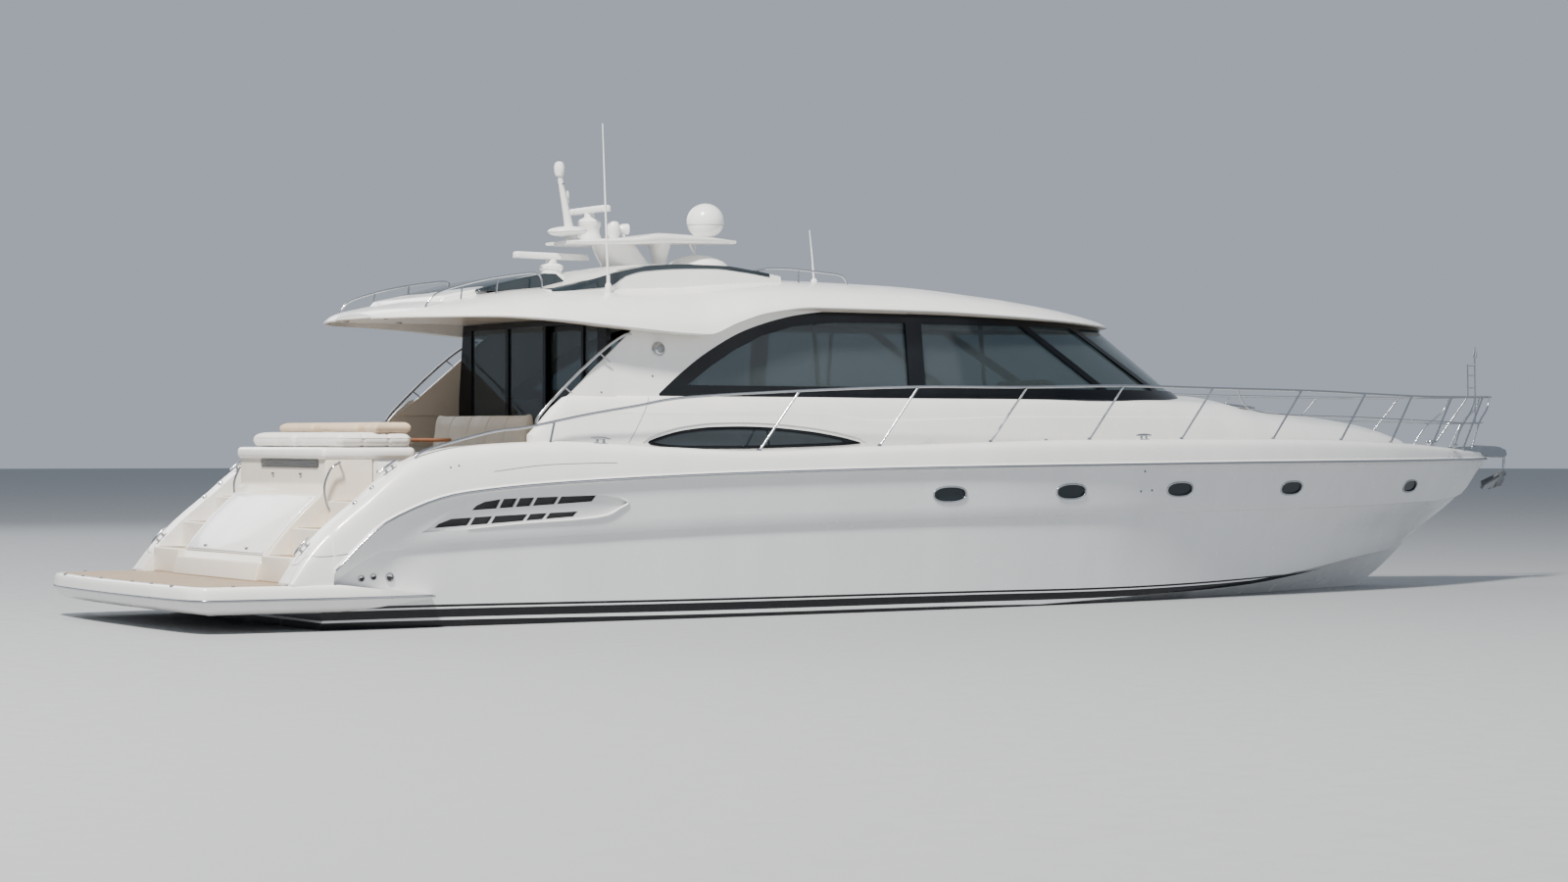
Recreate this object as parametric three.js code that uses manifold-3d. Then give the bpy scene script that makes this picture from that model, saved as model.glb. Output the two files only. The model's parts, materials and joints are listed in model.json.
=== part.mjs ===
// A 20.7 m hardtop motor yacht, afloat: hull and running gear, deck, cabin, roof, mast and deck fittings.
// Millimetres. +X runs forward, +Y to port, +Z up. The origin is on the centreline at the foot of the
// transom, in the plane of the water.
import * as THREE from "three";
import { mergeVertices } from "three/addons/utils/BufferGeometryUtils.js";
import Module from "manifold-3d";

const wasm = await Module();
wasm.setup();

// Driving dimensions
const GAP = 0.4; // clearance between pieces that touch
const BOW = 19110; // tip of the bow
const HULL_WALL = 70;
const KNUCKLE_STEP = 34; // the upper topside stands this far outside the lower one
const PLATFORM_TOP = 500;
const PLATFORM_UNDER = 190;
const PLATFORM_AFT = -1590;
const SOLE = 1380; // walking level of cockpit and saloon
const SOLE_THICKNESS = 60;
const LINER_TOP = 1780; // top of the liner walls beside the sole
const WELL_HALF = 2060; // half width of the cockpit well
const SALOON_HALF = 1780;
const BULKHEAD_X = 3660;
const SILL = 2560; // foot of the saloon windows
const FRAME_THICKNESS = 34;
const GLASS_THICKNESS = 12;
const GARAGE_HALF = 1200;
const RAIL_RADIUS = 17;

// Running gear, one set a side
const DRIVE_Y = 900;
const PROPELLER = { x: 620, z: -885, radius: 310, pitch: 620, blades: 4, hub: 98 };
const SHAFT_END = { x: 2900, z: -560 };
const RUDDER = { x: 170, top: -545, foot: -1230, port: -528 };
const TAB_LENGTH = 320;

// Hull sections. The knuckle is the crease along the topside; the rail line is the widest part.
const HULL = table(
  ["x", "keelZ", "chineY", "chineZ", "kneeY", "kneeZ", "railY", "railZ"],
  [
    [0, -760, 2180, -60, 2330, 470, 2420, 600],
    [700, -790, 2200, -62, 2350, 860, 2440, 1190],
    [1550, -820, 2220, -65, 2375, 925, 2462, 1468],
    [3000, -880, 2250, -65, 2410, 985, 2500, 1588],
    [5200, -950, 2270, -55, 2440, 1060, 2535, 1672],
    [8000, -1000, 2240, -20, 2430, 1110, 2530, 1722],
    [10500, -985, 2080, 50, 2300, 1135, 2440, 1742],
    [12500, -890, 1760, 135, 2040, 1145, 2245, 1756],
    [14500, -660, 1240, 275, 1610, 1150, 1900, 1762],
    [16000, -300, 730, 430, 1160, 1165, 1480, 1764],
    [17000, 180, 330, 520, 790, 1180, 1080, 1766],
    [17800, 760, 60, 800, 460, 1195, 720, 1768],
    [18500, 1180, 44, 1205, 130, 1240, 360, 1770],
    [BOW, 1700, 34, 1715, 38, 1730, 42, 1772],
  ],
);

// Upper edge of the deck moulding, from the foot of the stern quarter to the bow.
const DECK_EDGE = table(
  ["x", "z", "inboard"],
  [
    [-430, 530, 60],
    [-250, 790, 110],
    [0, 1050, 130],
    [200, 1220, 140],
    [460, 1420, 150],
    [800, 1700, 170],
    [1130, 1880, 180],
    [1640, 1985, 190],
    [2800, 2040, 190],
    [4000, 1980, 150],
    [5400, 1930, 130],
    [7100, 1980, 130],
    [10300, 2055, 130],
    [13600, 2065, 130],
    [16300, 2010, 125],
    [18100, 1925, 90],
    [BOW, 1860, 20],
  ],
);

// Deckhouse side and raised foredeck that stand on the deck.
const TRUNK = table(
  ["x", "footY", "topY", "topZ", "crownZ"],
  [
    [2560, 2200, 2150, 2110, 2110],
    [3100, 2245, 2040, SILL, SILL],
    [4200, 2240, 2000, SILL, SILL],
    [6200, 2170, 1955, SILL, SILL],
    [8200, 2100, 1915, SILL, SILL],
    [10000, 2020, 1870, SILL, SILL],
    [11300, 1930, 1700, SILL, 2600],
    [12500, 1790, 1400, SILL, 2640],
    [13250, 1670, 1150, 2545, 2650],
    [13900, 1540, 980, 2440, 2520],
    [15300, 1160, 680, 2320, 2405],
    [16600, 700, 380, 2190, 2255],
    [17300, 400, 160, 2060, 2090],
  ],
);

// Hardtop roof: plan half width, lower edge, flat underside and crown.
const ROOF = table(
  ["x", "half", "edgeZ", "underZ", "crownZ"],
  [
    [1350, 560, 3440, 3455, 3510],
    [1480, 1150, 3435, 3465, 3560],
    [1750, 1650, 3430, 3475, 3620],
    [2150, 1980, 3430, 3480, 3700],
    [2900, 2140, 3400, 3480, 3830],
    [3800, 2185, 3325, 3480, 3920],
    [4860, 2180, 3262, 3520, 3980],
    [5250, 2150, 3400, 3560, 3995],
    [5700, 2110, 3530, 3580, 4010],
    [6400, 2060, 3610, 3585, 4028],
    [8100, 2000, 3605, 3585, 4000],
    [9400, 1900, 3570, 3560, 3900],
    [10400, 1660, 3535, 3535, 3790],
    [11200, 1230, 3510, 3515, 3675],
    [11700, 780, 3500, 3508, 3600],
    [11950, 330, 3500, 3504, 3545],
  ],
);

// Wall of the cabin in plan, at the sill and at the roof: aft half width, where the nose starts, its reach.
const HOUSE = {
  low: { z: SILL + GAP, aft: 2040, side: 1870, noseX: 10000, reach: 3250 },
  high: { z: 3620, aft: 1905, side: 1770, noseX: 8500, reach: 3180 },
};

// Side outlines of the cabin wall, as x and z.
const WING_AFT = [
  [3100, SILL],
  [4330, 3620],
];
const WINDOW_ARCH = [
  [4290, 2590],
  [4600, 2830],
  [4980, 3080],
  [5510, 3340],
  [6210, 3530],
  [7000, 3620],
];
const SIDE_PANE_AFT = [
  [4680, 2690],
  [5000, 2905],
  [5350, 3105],
  [5750, 3285],
  [6250, 3415],
  [6800, 3465],
  [7830, 3475],
  [7830, 2690],
];
const PANE_LOW = 2690;
const PANE_HIGH = 3470;
const FRAME_BARS = [
  // Slanted bars: x at the sill, x at the roof, width
  { low: 11100, high: 9450, width: 150 },
  { low: 12260, high: 10400, width: 150 },
];
const MIDDLE_BAR = [7830, 8070];

// A table of numbers by column name, read between its rows by a smooth curve that never overshoots.
function table(columns, rows) {
  const xs = rows.map((row) => row[0]);
  const curves = {};
  columns.slice(1).forEach((name, k) => {
    curves[name] = smoothCurve(
      xs,
      rows.map((row) => row[k + 1]),
    );
  });
  return { xs, at: (x) => Object.fromEntries(Object.entries(curves).map(([n, f]) => [n, f(x)])) };
}

function smoothCurve(xs, ys) {
  const n = xs.length;
  const slope = [];
  for (let i = 0; i < n - 1; i++) slope.push((ys[i + 1] - ys[i]) / (xs[i + 1] - xs[i]));
  const tangent = xs.map((_, i) => {
    if (i === 0) return slope[0];
    if (i === n - 1) return slope[n - 2];
    const [a, b] = [slope[i - 1], slope[i]];
    return a * b <= 0 ? 0 : (2 * a * b) / (a + b);
  });
  return (x) => {
    if (x <= xs[0]) return ys[0];
    if (x >= xs[n - 1]) return ys[n - 1];
    let i = 0;
    while (x > xs[i + 1]) i++;
    const h = xs[i + 1] - xs[i];
    const t = (x - xs[i]) / h;
    const u = 1 - t;
    return (
      ys[i] * (1 + 2 * t) * u * u +
      ys[i + 1] * t * t * (3 - 2 * t) +
      tangent[i] * h * t * u * u -
      tangent[i + 1] * h * t * t * u
    );
  };
}

// Solid helpers
function solidOf(geometry) {
  const bare = new THREE.BufferGeometry();
  bare.setAttribute("position", geometry.getAttribute("position"));
  if (geometry.index) bare.setIndex(geometry.index);
  const merged = mergeVertices(bare, 1e-3);
  return new wasm.Manifold(
    new wasm.Mesh({
      numProp: 3,
      vertProperties: merged.attributes.position.array,
      triVerts: new Uint32Array(merged.index.array),
    }),
  );
}

function geometryOf(solid) {
  const mesh = solid.getMesh();
  const positions = new Float32Array(mesh.numVert * 3);
  for (let i = 0; i < mesh.numVert; i++) {
    for (let k = 0; k < 3; k++) positions[i * 3 + k] = mesh.vertProperties[i * mesh.numProp + k];
  }
  const geometry = new THREE.BufferGeometry();
  geometry.setAttribute("position", new THREE.BufferAttribute(positions, 3));
  geometry.setIndex(new THREE.BufferAttribute(new Uint32Array(mesh.triVerts), 1));
  return geometry;
}

// A closed solid through rings of equal length, each ring a list of [x, y, z]. flat gives the two
// coordinates in which the end rings are filled.
function loft(rings, flat = [1, 2]) {
  const points = rings.flat();
  const n = rings[0].length;
  const triangles = [];
  for (let i = 0; i < rings.length - 1; i++) {
    for (let k = 0; k < n; k++) {
      const a = i * n + k;
      const b = i * n + ((k + 1) % n);
      triangles.push([a, b, b + n], [a, b + n, a + n]);
    }
  }
  [
    [0, false],
    [rings.length - 1, true],
  ].forEach(([ring, forward]) => {
    const contour = rings[ring].map((p) => new THREE.Vector2(p[flat[0]], p[flat[1]]));
    const turn = Math.sign(THREE.ShapeUtils.area(contour));
    for (const [a, b, c] of THREE.ShapeUtils.triangulateShape(contour, [])) {
      const cross =
        (contour[b].x - contour[a].x) * (contour[c].y - contour[a].y) -
        (contour[b].y - contour[a].y) * (contour[c].x - contour[a].x);
      const same = Math.sign(cross) === turn;
      const [p, q, r] = [a, b, c].map((v) => v + ring * n);
      triangles.push(same === forward ? [p, q, r] : [r, q, p]);
    }
  });
  let volume = 0;
  for (const [a, b, c] of triangles) {
    const [p, q, r] = [points[a], points[b], points[c]];
    volume +=
      p[0] * (q[1] * r[2] - q[2] * r[1]) +
      p[1] * (q[2] * r[0] - q[0] * r[2]) +
      p[2] * (q[0] * r[1] - q[1] * r[0]);
  }
  const index = triangles.flatMap(([a, b, c]) => (volume > 0 ? [a, b, c] : [c, b, a]));
  const geometry = new THREE.BufferGeometry();
  geometry.setAttribute("position", new THREE.BufferAttribute(new Float32Array(points.flat()), 3));
  geometry.setIndex(index);
  return solidOf(geometry);
}

function box(x0, x1, y0, y1, z0, z1) {
  const geometry = new THREE.BoxGeometry(x1 - x0, y1 - y0, z1 - z0);
  geometry.translate((x0 + x1) / 2, (y0 + y1) / 2, (z0 + z1) / 2);
  return solidOf(geometry);
}

// An outline of [x, z] points, extruded across from y0 to y1.
function sidePlate(outline, y0, y1) {
  return loft(
    [y0, y1].map((y) => outline.map(([x, z]) => [x, y, z])),
    [0, 2],
  );
}

// An outline of [x, y] points, extruded up from z0 to z1.
function plate(outline, z0, z1) {
  return loft(
    [z0, z1].map((z) => outline.map(([x, y]) => [x, y, z])),
    [0, 1],
  );
}

function mirrored(half) {
  return [...half, ...half.map(([x, y]) => [x, -y]).reverse()];
}

// As mirrored, for an outline of [y, z] points.
function mirroredAcross(half) {
  return [...half, ...half.map(([y, z]) => [-y, z]).reverse()];
}

// A round bar along a path of points; radius is one number or one for each point.
function tube(path, radius, sides = 6) {
  const rings = [];
  const last = path.length - 1;
  for (let i = 0; i <= last; i++) {
    const here = new THREE.Vector3(...path[i]);
    const before = new THREE.Vector3(...path[Math.max(0, i - 1)]);
    const after = new THREE.Vector3(...path[Math.min(last, i + 1)]);
    const along = after.sub(before).normalize();
    const side = new THREE.Vector3(0, 0, 1).cross(along);
    if (side.length() < 0.2) side.set(0, 1, 0).cross(along);
    side.normalize();
    const up = along.clone().cross(side);
    const size = Array.isArray(radius) ? radius[i] : radius;
    rings.push(
      Array.from({ length: sides }, (_, k) => {
        const turn = (2 * Math.PI * (k + 0.5)) / sides;
        const p = here
          .clone()
          .addScaledVector(side, size * Math.cos(turn))
          .addScaledVector(up, size * Math.sin(turn));
        return [p.x, p.y, p.z];
      }),
    );
  }
  const swept = new THREE.BufferGeometry();
  const n = sides;
  const points = rings.flat();
  const index = [];
  for (let i = 0; i < rings.length - 1; i++) {
    for (let k = 0; k < n; k++) {
      const a = i * n + k;
      const b = i * n + ((k + 1) % n);
      index.push(a, b, b + n, a, b + n, a + n);
    }
  }
  for (let k = 1; k < n - 1; k++) {
    index.push(0, k + 1, k);
    const end = (rings.length - 1) * n;
    index.push(end, end + k, end + k + 1);
  }
  swept.setAttribute("position", new THREE.BufferAttribute(new Float32Array(points.flat()), 3));
  swept.setIndex(index);
  return solidOf(swept);
}

// A profile of [radius, height] points turned about an upright axis at x, y, from height z.
function turned(profile, x, y, z, sides = 16) {
  const geometry = new THREE.LatheGeometry(
    profile.map(([r, h]) => new THREE.Vector2(r, h)),
    sides,
  );
  geometry.rotateX(Math.PI / 2);
  geometry.translate(x, y, z);
  return solidOf(geometry);
}

// An upright round bar.
function post(radius, x, y, z0, z1, sides = 12) {
  return turned([[0, z0], [radius, z0], [radius, z1], [0, z1]], x, y, 0, sides);
}

function joined(solids) {
  return solids.reduce((sum, s) => sum.add(s));
}

// The biggest separate body of a solid: drops the slivers a cut can leave.
function mainBody(solid) {
  return solid.decompose().reduce((best, s) => (s.volume() > best.volume() ? s : best));
}

const UP = [0, 0, GAP];
const DOWN = [0, 0, -GAP];
const AFT = [-GAP, 0, 0];
const FORE = [GAP, 0, 0];
const PORT = [0, GAP, 0];
const STARBOARD = [0, -GAP, 0];
const EVERY_WAY = [UP, DOWN, AFT, FORE, PORT, STARBOARD];

// Cuts a solid clear of its neighbours, each moved a hair's gap along the given directions.
function fitted(solid, neighbours, ways = EVERY_WAY) {
  let result = solid;
  for (const neighbour of neighbours) {
    for (const way of ways) result = result.subtract(neighbour.translate(way));
  }
  return mainBody(result);
}

// Stations along the hull: closer at stern and bow, where the shape changes fast.
const HULL_STATIONS = [
  0, 200, 450, 700, 1100, 1550, 2200, 3000, 4100, 5200, 6600, 8000, 9300, 10500, 11500, 12500, 13500,
  14400, 15100, 15700, 16200, 16600, 16950, 17300, 17650, 18000, 18250, 18500, 18800, BOW,
];

function hullRing(x) {
  const s = HULL.at(x);
  const middleZ = (s.chineZ + s.kneeZ) / 2;
  const flare = Math.max(0, (x - 10000) / 9000) * 90 * (s.railY / 1500 > 1 ? 1 : s.railY / 1500);
  const middleY = (s.chineY + s.kneeY - KNUCKLE_STEP) / 2 - flare;
  const chineFlat = Math.min(110, s.chineY * 0.4);
  const half = [
    [s.railY, s.railZ],
    [s.kneeY, s.kneeZ],
    [Math.max(s.kneeY - KNUCKLE_STEP, 34), s.kneeZ - 12],
    [Math.max(middleY, 32), middleZ],
    [s.chineY, s.chineZ],
    [s.chineY - chineFlat, s.chineZ - 14],
    [28, s.keelZ],
  ];
  return [
    ...half.map(([y, z]) => [x, y, z]),
    ...half.map(([y, z]) => [x, -y, z]).reverse(),
  ];
}

function hullInsideRing(x) {
  const s = HULL.at(x);
  const half = [
    [s.railY - HULL_WALL, s.railZ + 400],
    [s.railY - HULL_WALL, s.railZ - 40],
    [s.kneeY - HULL_WALL - KNUCKLE_STEP, s.kneeZ],
    [s.chineY - HULL_WALL - 60, s.chineZ + HULL_WALL],
    [20, s.keelZ + HULL_WALL + 40],
  ];
  return [
    ...half.map(([y, z]) => [x, y, z]),
    ...half.map(([y, z]) => [x, -y, z]).reverse(),
  ];
}

function makeHull() {
  const outer = loft(HULL_STATIONS.map(hullRing));
  const inside = [HULL_WALL, 700, 1550, 3000, 5200, 8000, 10500, 12500, 14500, 15600];
  const inner = loft(inside.map(hullInsideRing));
  const sternCut = box(-10, 60, -3000, 3000, PLATFORM_TOP, 3000).add(
    box(-10, HULL_WALL + 3, -2300, 2300, PLATFORM_TOP, 3000),
  );
  return [-1, 1]
    .reduce((hull, side) => hull.add(rudderPort(side)), outer)
    .subtract(inner)
    .subtract(sternCut);
}

function rudderPort(side) {
  return turned([[0, 0], [58, 0], [58, 110], [0, 110]], RUDDER.x, side * DRIVE_Y, RUDDER.port, 12);
}

// Rubbing strake: a flattened half round along the rail line, round the bow.
function makeRubRail() {
  const run = HULL_STATIONS.map((x, i) => (i === 0 ? 60 : x)).map((x) => {
    const s = HULL.at(x);
    return [x, s.railY, s.railZ];
  });
  const path = [...run, [BOW + 34, 0, 1772], ...run.map(([x, y, z]) => [x, -y, z]).reverse()];
  const section = [
    [GAP, -34],
    [34, -22],
    [44, 0],
    [34, 22],
    [GAP, 34],
  ];
  const rings = path.map(([x, y, z], i) => {
    const a = path[Math.max(0, i - 1)];
    const b = path[Math.min(path.length - 1, i + 1)];
    const length = Math.hypot(b[0] - a[0], b[1] - a[1]);
    const out = y === 0 ? [1, 0] : [-(b[1] - a[1]) / length, (b[0] - a[0]) / length];
    return section.map(([w, h]) => [x + out[0] * w, y + out[1] * w, z + h]);
  });
  return loft(rings);
}

// A height that is straight between the hull's stations, as the meshes of hull and deck are.
function straightened(height, x) {
  const i = Math.min(HULL_STATIONS.findIndex((s) => s > x) - 1, HULL_STATIONS.length - 2);
  const k = i < 0 ? HULL_STATIONS.length - 2 : i;
  const [a, b] = [HULL_STATIONS[k], HULL_STATIONS[k + 1]];
  return height(a) + ((height(b) - height(a)) * (x - a)) / (b - a);
}

function hullTop(x) {
  return straightened((at) => HULL.at(at).railZ, x);
}

// Walking level of the side decks and the foredeck.
function walkTop(x) {
  return straightened((at) => DECK_EDGE.at(at).z - walkDrop(at), x);
}

function deckBottom(x) {
  return x < 59 ? PLATFORM_TOP + GAP : hullTop(x) + GAP;
}

function deckRing(x) {
  const s = HULL.at(x);
  const e = DECK_EDGE.at(x);
  const low = deckBottom(x);
  const height = e.z - low;
  const half = [
    [s.railY - 1, low],
    [s.railY - 4, low + height * 0.25],
    [s.railY - e.inboard * 0.22, low + height * 0.7],
    [s.railY - e.inboard * 0.55, low + height * 0.92],
    [Math.max(s.railY - e.inboard, 12), e.z],
    [Math.max(s.railY - e.inboard - 34, 9), e.z],
    [Math.max(s.railY - e.inboard - 48, 7), e.z - walkDrop(x)],
  ];
  return [
    ...half.map(([y, z]) => [x, y, z]),
    ...half.map(([y, z]) => [x, -y, z]).reverse(),
  ];
}

// How far the side deck lies below the outer lip of the deck moulding.
function walkDrop(x) {
  return 4 + 76 * Math.min(1, Math.max(0, (x - 2600) / 900)) * Math.min(1, Math.max(0, (18300 - x) / 900));
}

// Space under the side decks and the foredeck.
function deckHollow() {
  return loft(
    [1150, 1640, 2800, 4000, 5400, 7100, 10300, 13600, 15000, 16300, 17300].map((x) => {
      const s = HULL.at(x);
      const top = Math.min(DECK_EDGE.at(x).z - walkDrop(x), DECK_EDGE.at(x).z) - 60;
      const wide = s.railY - 130;
      return [
        [x, wide, s.railZ - 60],
        [x, wide, s.railZ + (top - s.railZ) * 0.4],
        [x, wide - 110, top],
        [x, -wide + 110, top],
        [x, -wide, s.railZ + (top - s.railZ) * 0.4],
        [x, -wide, s.railZ - 60],
      ];
    }),
  );
}

// Plan of the opening for cockpit and saloon, one side of it, grown by a margin.
function wellOutline(margin) {
  return [
    [-2000, WELL_HALF + margin],
    [3500 + margin, WELL_HALF + margin],
    [3700 + margin, SALOON_HALF + margin],
    [10000, SALOON_HALF + margin],
    [12000 + margin, 1300 + margin],
  ];
}

function makeDeck() {
  const stations = [-430, -340, -250, -120, 0, 57, 59.5, ...HULL_STATIONS.slice(1)];
  const well = plate(mirrored(wellOutline(0)), 0, 4000);
  const besideWell = plate(mirrored(wellOutline(50)), 0, 4000);
  return loft(stations.map(deckRing)).subtract(well).subtract(deckHollow().subtract(besideWell));
}

function trunkRing(x) {
  const t = TRUNK.at(x);
  const foot = walkTop(x) + GAP;
  const half = [
    [t.footY, foot],
    [t.footY - (t.footY - t.topY) * 0.12, foot + (t.topZ - foot) * 0.35],
    [t.footY - (t.footY - t.topY) * 0.4, foot + (t.topZ - foot) * 0.72],
    [t.footY - (t.footY - t.topY) * 0.72, foot + (t.topZ - foot) * 0.93],
    [t.topY, t.topZ],
    [t.topY * 0.5, t.topZ + (t.crownZ - t.topZ) * 0.78],
  ];
  return [
    ...half.map(([y, z]) => [x, y, z]),
    [x, 0, t.crownZ],
    ...half.map(([y, z]) => [x, -y, z]).reverse(),
  ];
}

// Crescent window low in the deckhouse side, as x and z.
const DECK_WINDOW = [
  [3950, 2015],
  [4180, 2100],
  [4500, 2175],
  [4880, 2212],
  [5290, 2222],
  [5800, 2192],
  [6370, 2130],
  [7030, 2025],
  [6640, 1990],
  [6000, 1968],
  [5200, 1950],
  [4370, 1950],
];

const PANE_PROUD = 12; // the crescent panes are bonded on the deckhouse side and stand this far out

function makeDeckWindow(trunkBody, side) {
  const outward = (by) => trunkBody.translate([0, side * by, 0]);
  const ends = [side * 1500, side * 3000].sort((a, b) => a - b);
  return mainBody(sidePlate(DECK_WINDOW, ...ends).intersect(outward(PANE_PROUD)).subtract(outward(GAP)));
}

function makeTrunk() {
  const own = [2560, 2800, 3100, 3550, 5900, 7300, 8700, 9900, 11000, 11900, 12900, 13250, 13900, 17100];
  const shared = HULL_STATIONS.filter((x) => x > 2900 && x < 17400);
  const stations = [...own, ...shared].sort((a, b) => a - b);
  const room = plate(
    mirrored([
      [0, SALOON_HALF],
      [10000, SALOON_HALF],
      [11400, 1420],
      [12000, 900],
    ]),
    0,
    4000,
  );
  const cockpit = box(0, BULKHEAD_X + 60, -2040, 2040, 0, 4000);
  const hollow = loft(
    [11560, 12500, 13250, 13900, 15300, 16550].map((x) => {
      const t = TRUNK.at(x);
      const foot = DECK_EDGE.at(x).z - 200;
      return [
        [x, t.footY - 90, foot],
        [x, (t.footY + t.topY) / 2 - 90, foot + (t.topZ - foot) * 0.75],
        [x, t.topY - 70, t.topZ - 60],
        [x, -t.topY + 70, t.topZ - 60],
        [x, -(t.footY + t.topY) / 2 + 90, foot + (t.topZ - foot) * 0.75],
        [x, -t.footY + 90, foot],
      ];
    }),
  );
  const solid = loft(stations.map(trunkRing));
  return {
    trunk: mainBody(solid.subtract(room).subtract(cockpit).subtract(hollow)),
    panes: { port: makeDeckWindow(solid, 1), stbd: makeDeckWindow(solid, -1) },
  };
}

// One ring of the cabin wall in plan, from the aft port corner round the nose to starboard.
function houseLine(level, inset) {
  const line = [];
  const aftX = 2400;
  const sides = 4;
  for (let i = 0; i < sides; i++) {
    const t = i / sides;
    line.push([aftX + (level.noseX - aftX) * t, level.aft + (level.side - level.aft) * t - inset]);
  }
  const turns = 10;
  for (let i = 0; i <= turns; i++) {
    const angle = (Math.PI / 2) * (1 - i / turns);
    const x = level.noseX + (level.reach - inset) * Math.cos(angle);
    line.push([x, (level.side - inset) * Math.sin(angle)]);
  }
  return [...line, ...line.slice(0, -1).map(([x, y]) => [x, -y]).reverse()];
}

// A shell of the cabin wall: its outside face lies this far inside the wall's own face.
function houseShell(outside, thickness) {
  const stretch = 0.2;
  const rise = HOUSE.high.z - HOUSE.low.z;
  const at = (inset) =>
    [-stretch, 1 + stretch].map((lean) => {
      const between = (name) => HOUSE.low[name] + (HOUSE.high[name] - HOUSE.low[name]) * lean;
      const ring = {
        aft: between("aft"),
        side: between("side"),
        noseX: between("noseX"),
        reach: between("reach"),
      };
      return houseLine(ring, inset).map(([x, y]) => [x, y, HOUSE.low.z + rise * lean]);
    });
  return loft(at(outside), [0, 1])
    .subtract(loft(at(outside + thickness), [0, 1]))
    .subtract(box(0, 3000, -1800, 1800, 0, 9000))
    .intersect(box(0, 15000, -3000, 3000, HOUSE.low.z, HOUSE.high.z));
}

// Everything above the roof's underside is cut off the cabin wall.
function roofCutter() {
  const line = [];
  for (let x = 2000; x <= 11950; x += 500) line.push([x, ROOF.at(x).underZ - GAP]);
  line.push([14000, ROOF.at(11950).underZ - GAP]);
  return sidePlate([...line, [14000, 6000], [2000, 6000]], -3000, 3000);
}

const PANES = {
  aft: SIDE_PANE_AFT,
  middle: [
    [MIDDLE_BAR[1], PANE_LOW],
    [MIDDLE_BAR[1], PANE_HIGH],
    [barAt(0, PANE_HIGH) - FRAME_BARS[0].width / 2, PANE_HIGH],
    [barAt(0, PANE_LOW) - FRAME_BARS[0].width / 2, PANE_LOW],
  ],
  quarter: [
    [barAt(0, PANE_LOW) + FRAME_BARS[0].width / 2, PANE_LOW],
    [barAt(0, PANE_HIGH) + FRAME_BARS[0].width / 2, PANE_HIGH],
    [barAt(1, PANE_HIGH) - FRAME_BARS[1].width / 2, PANE_HIGH],
    [barAt(1, PANE_LOW) - FRAME_BARS[1].width / 2, PANE_LOW],
  ],
  front: [
    [barAt(1, PANE_LOW) + FRAME_BARS[1].width / 2, PANE_LOW],
    [barAt(1, PANE_HIGH) + FRAME_BARS[1].width / 2, PANE_HIGH],
    [14000, PANE_HIGH],
    [14000, PANE_LOW],
  ],
};

function barAt(i, z) {
  const t = (z - SILL) / (3620 - SILL);
  return FRAME_BARS[i].low + (FRAME_BARS[i].high - FRAME_BARS[i].low) * t;
}

function makeHouse(trunk, roof) {
  const wall = houseShell(0, FRAME_THICKNESS).subtract(roofCutter());
  const glass = houseShell(FRAME_THICKNESS + GAP, GLASS_THICKNESS).subtract(roofCutter());
  const across = (outline) => sidePlate(outline, -3000, 3000);
  const half = { port: box(0, 15000, 0.2, 3000, 0, 5000), stbd: box(0, 15000, -3000, -0.2, 0, 5000) };
  const arch = across([
    ...WINDOW_ARCH,
    [7000, 5000],
    [2000, 5000],
    [2000, 2000],
    [4000, 2000],
    [4290, SILL - 40],
  ]);
  const openings = joined(Object.values(PANES).map(across)).subtract(box(12300, 14000, -45, 45, 0, 5000));
  const behindWing = across([
    [1000, 2000],
    [WING_AFT[0][0] - 800, 2000],
    ...WING_AFT,
    [WING_AFT[1][0], 5000],
    [1000, 5000],
  ]);
  const body = wall.subtract(behindWing);
  const beside = [trunk, roof];
  const parts = { window_frame: fitted(body.subtract(arch).subtract(openings), beside, [UP, DOWN]) };
  const glassZone = across([
    [4640, PANE_LOW - 40],
    [5100, 3050],
    [5700, 3330],
    [6200, 3450],
    [6700, PANE_HIGH + 40],
    [14000, PANE_HIGH + 40],
    [14000, PANE_LOW - 40],
  ]);
  const fore = across([
    [barAt(0, 2000) - 0.2, 2000],
    [barAt(0, 4000) - 0.2, 4000],
    [14000, 4000],
    [14000, 2000],
  ]);
  const band = glass.intersect(glassZone);
  for (const [side, cut] of Object.entries(half)) {
    const wing = body.intersect(arch).intersect(cut).translate(AFT);
    const pane = band.subtract(fore.translate(AFT)).intersect(cut);
    parts[`side_wing_${side}`] = fitted(wing, beside, [UP, DOWN]);
    parts[`side_glass_${side}`] = fitted(pane, beside, [UP, DOWN]);
  }
  parts.windscreen = fitted(band.intersect(fore), beside, [UP, DOWN]);
  return parts;
}

// Outer half width of the cabin wall at a station and height.
function wallHalf(x, z) {
  const lean = (z - HOUSE.low.z) / (HOUSE.high.z - HOUSE.low.z);
  const at = (name) => HOUSE.low[name] + (HOUSE.high[name] - HOUSE.low[name]) * lean;
  if (x < at("noseX")) return at("aft") + ((at("side") - at("aft")) * (x - 2400)) / (at("noseX") - 2400);
  const t = Math.min(1, (x - at("noseX")) / at("reach"));
  return at("side") * Math.sqrt(1 - t * t);
}

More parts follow.
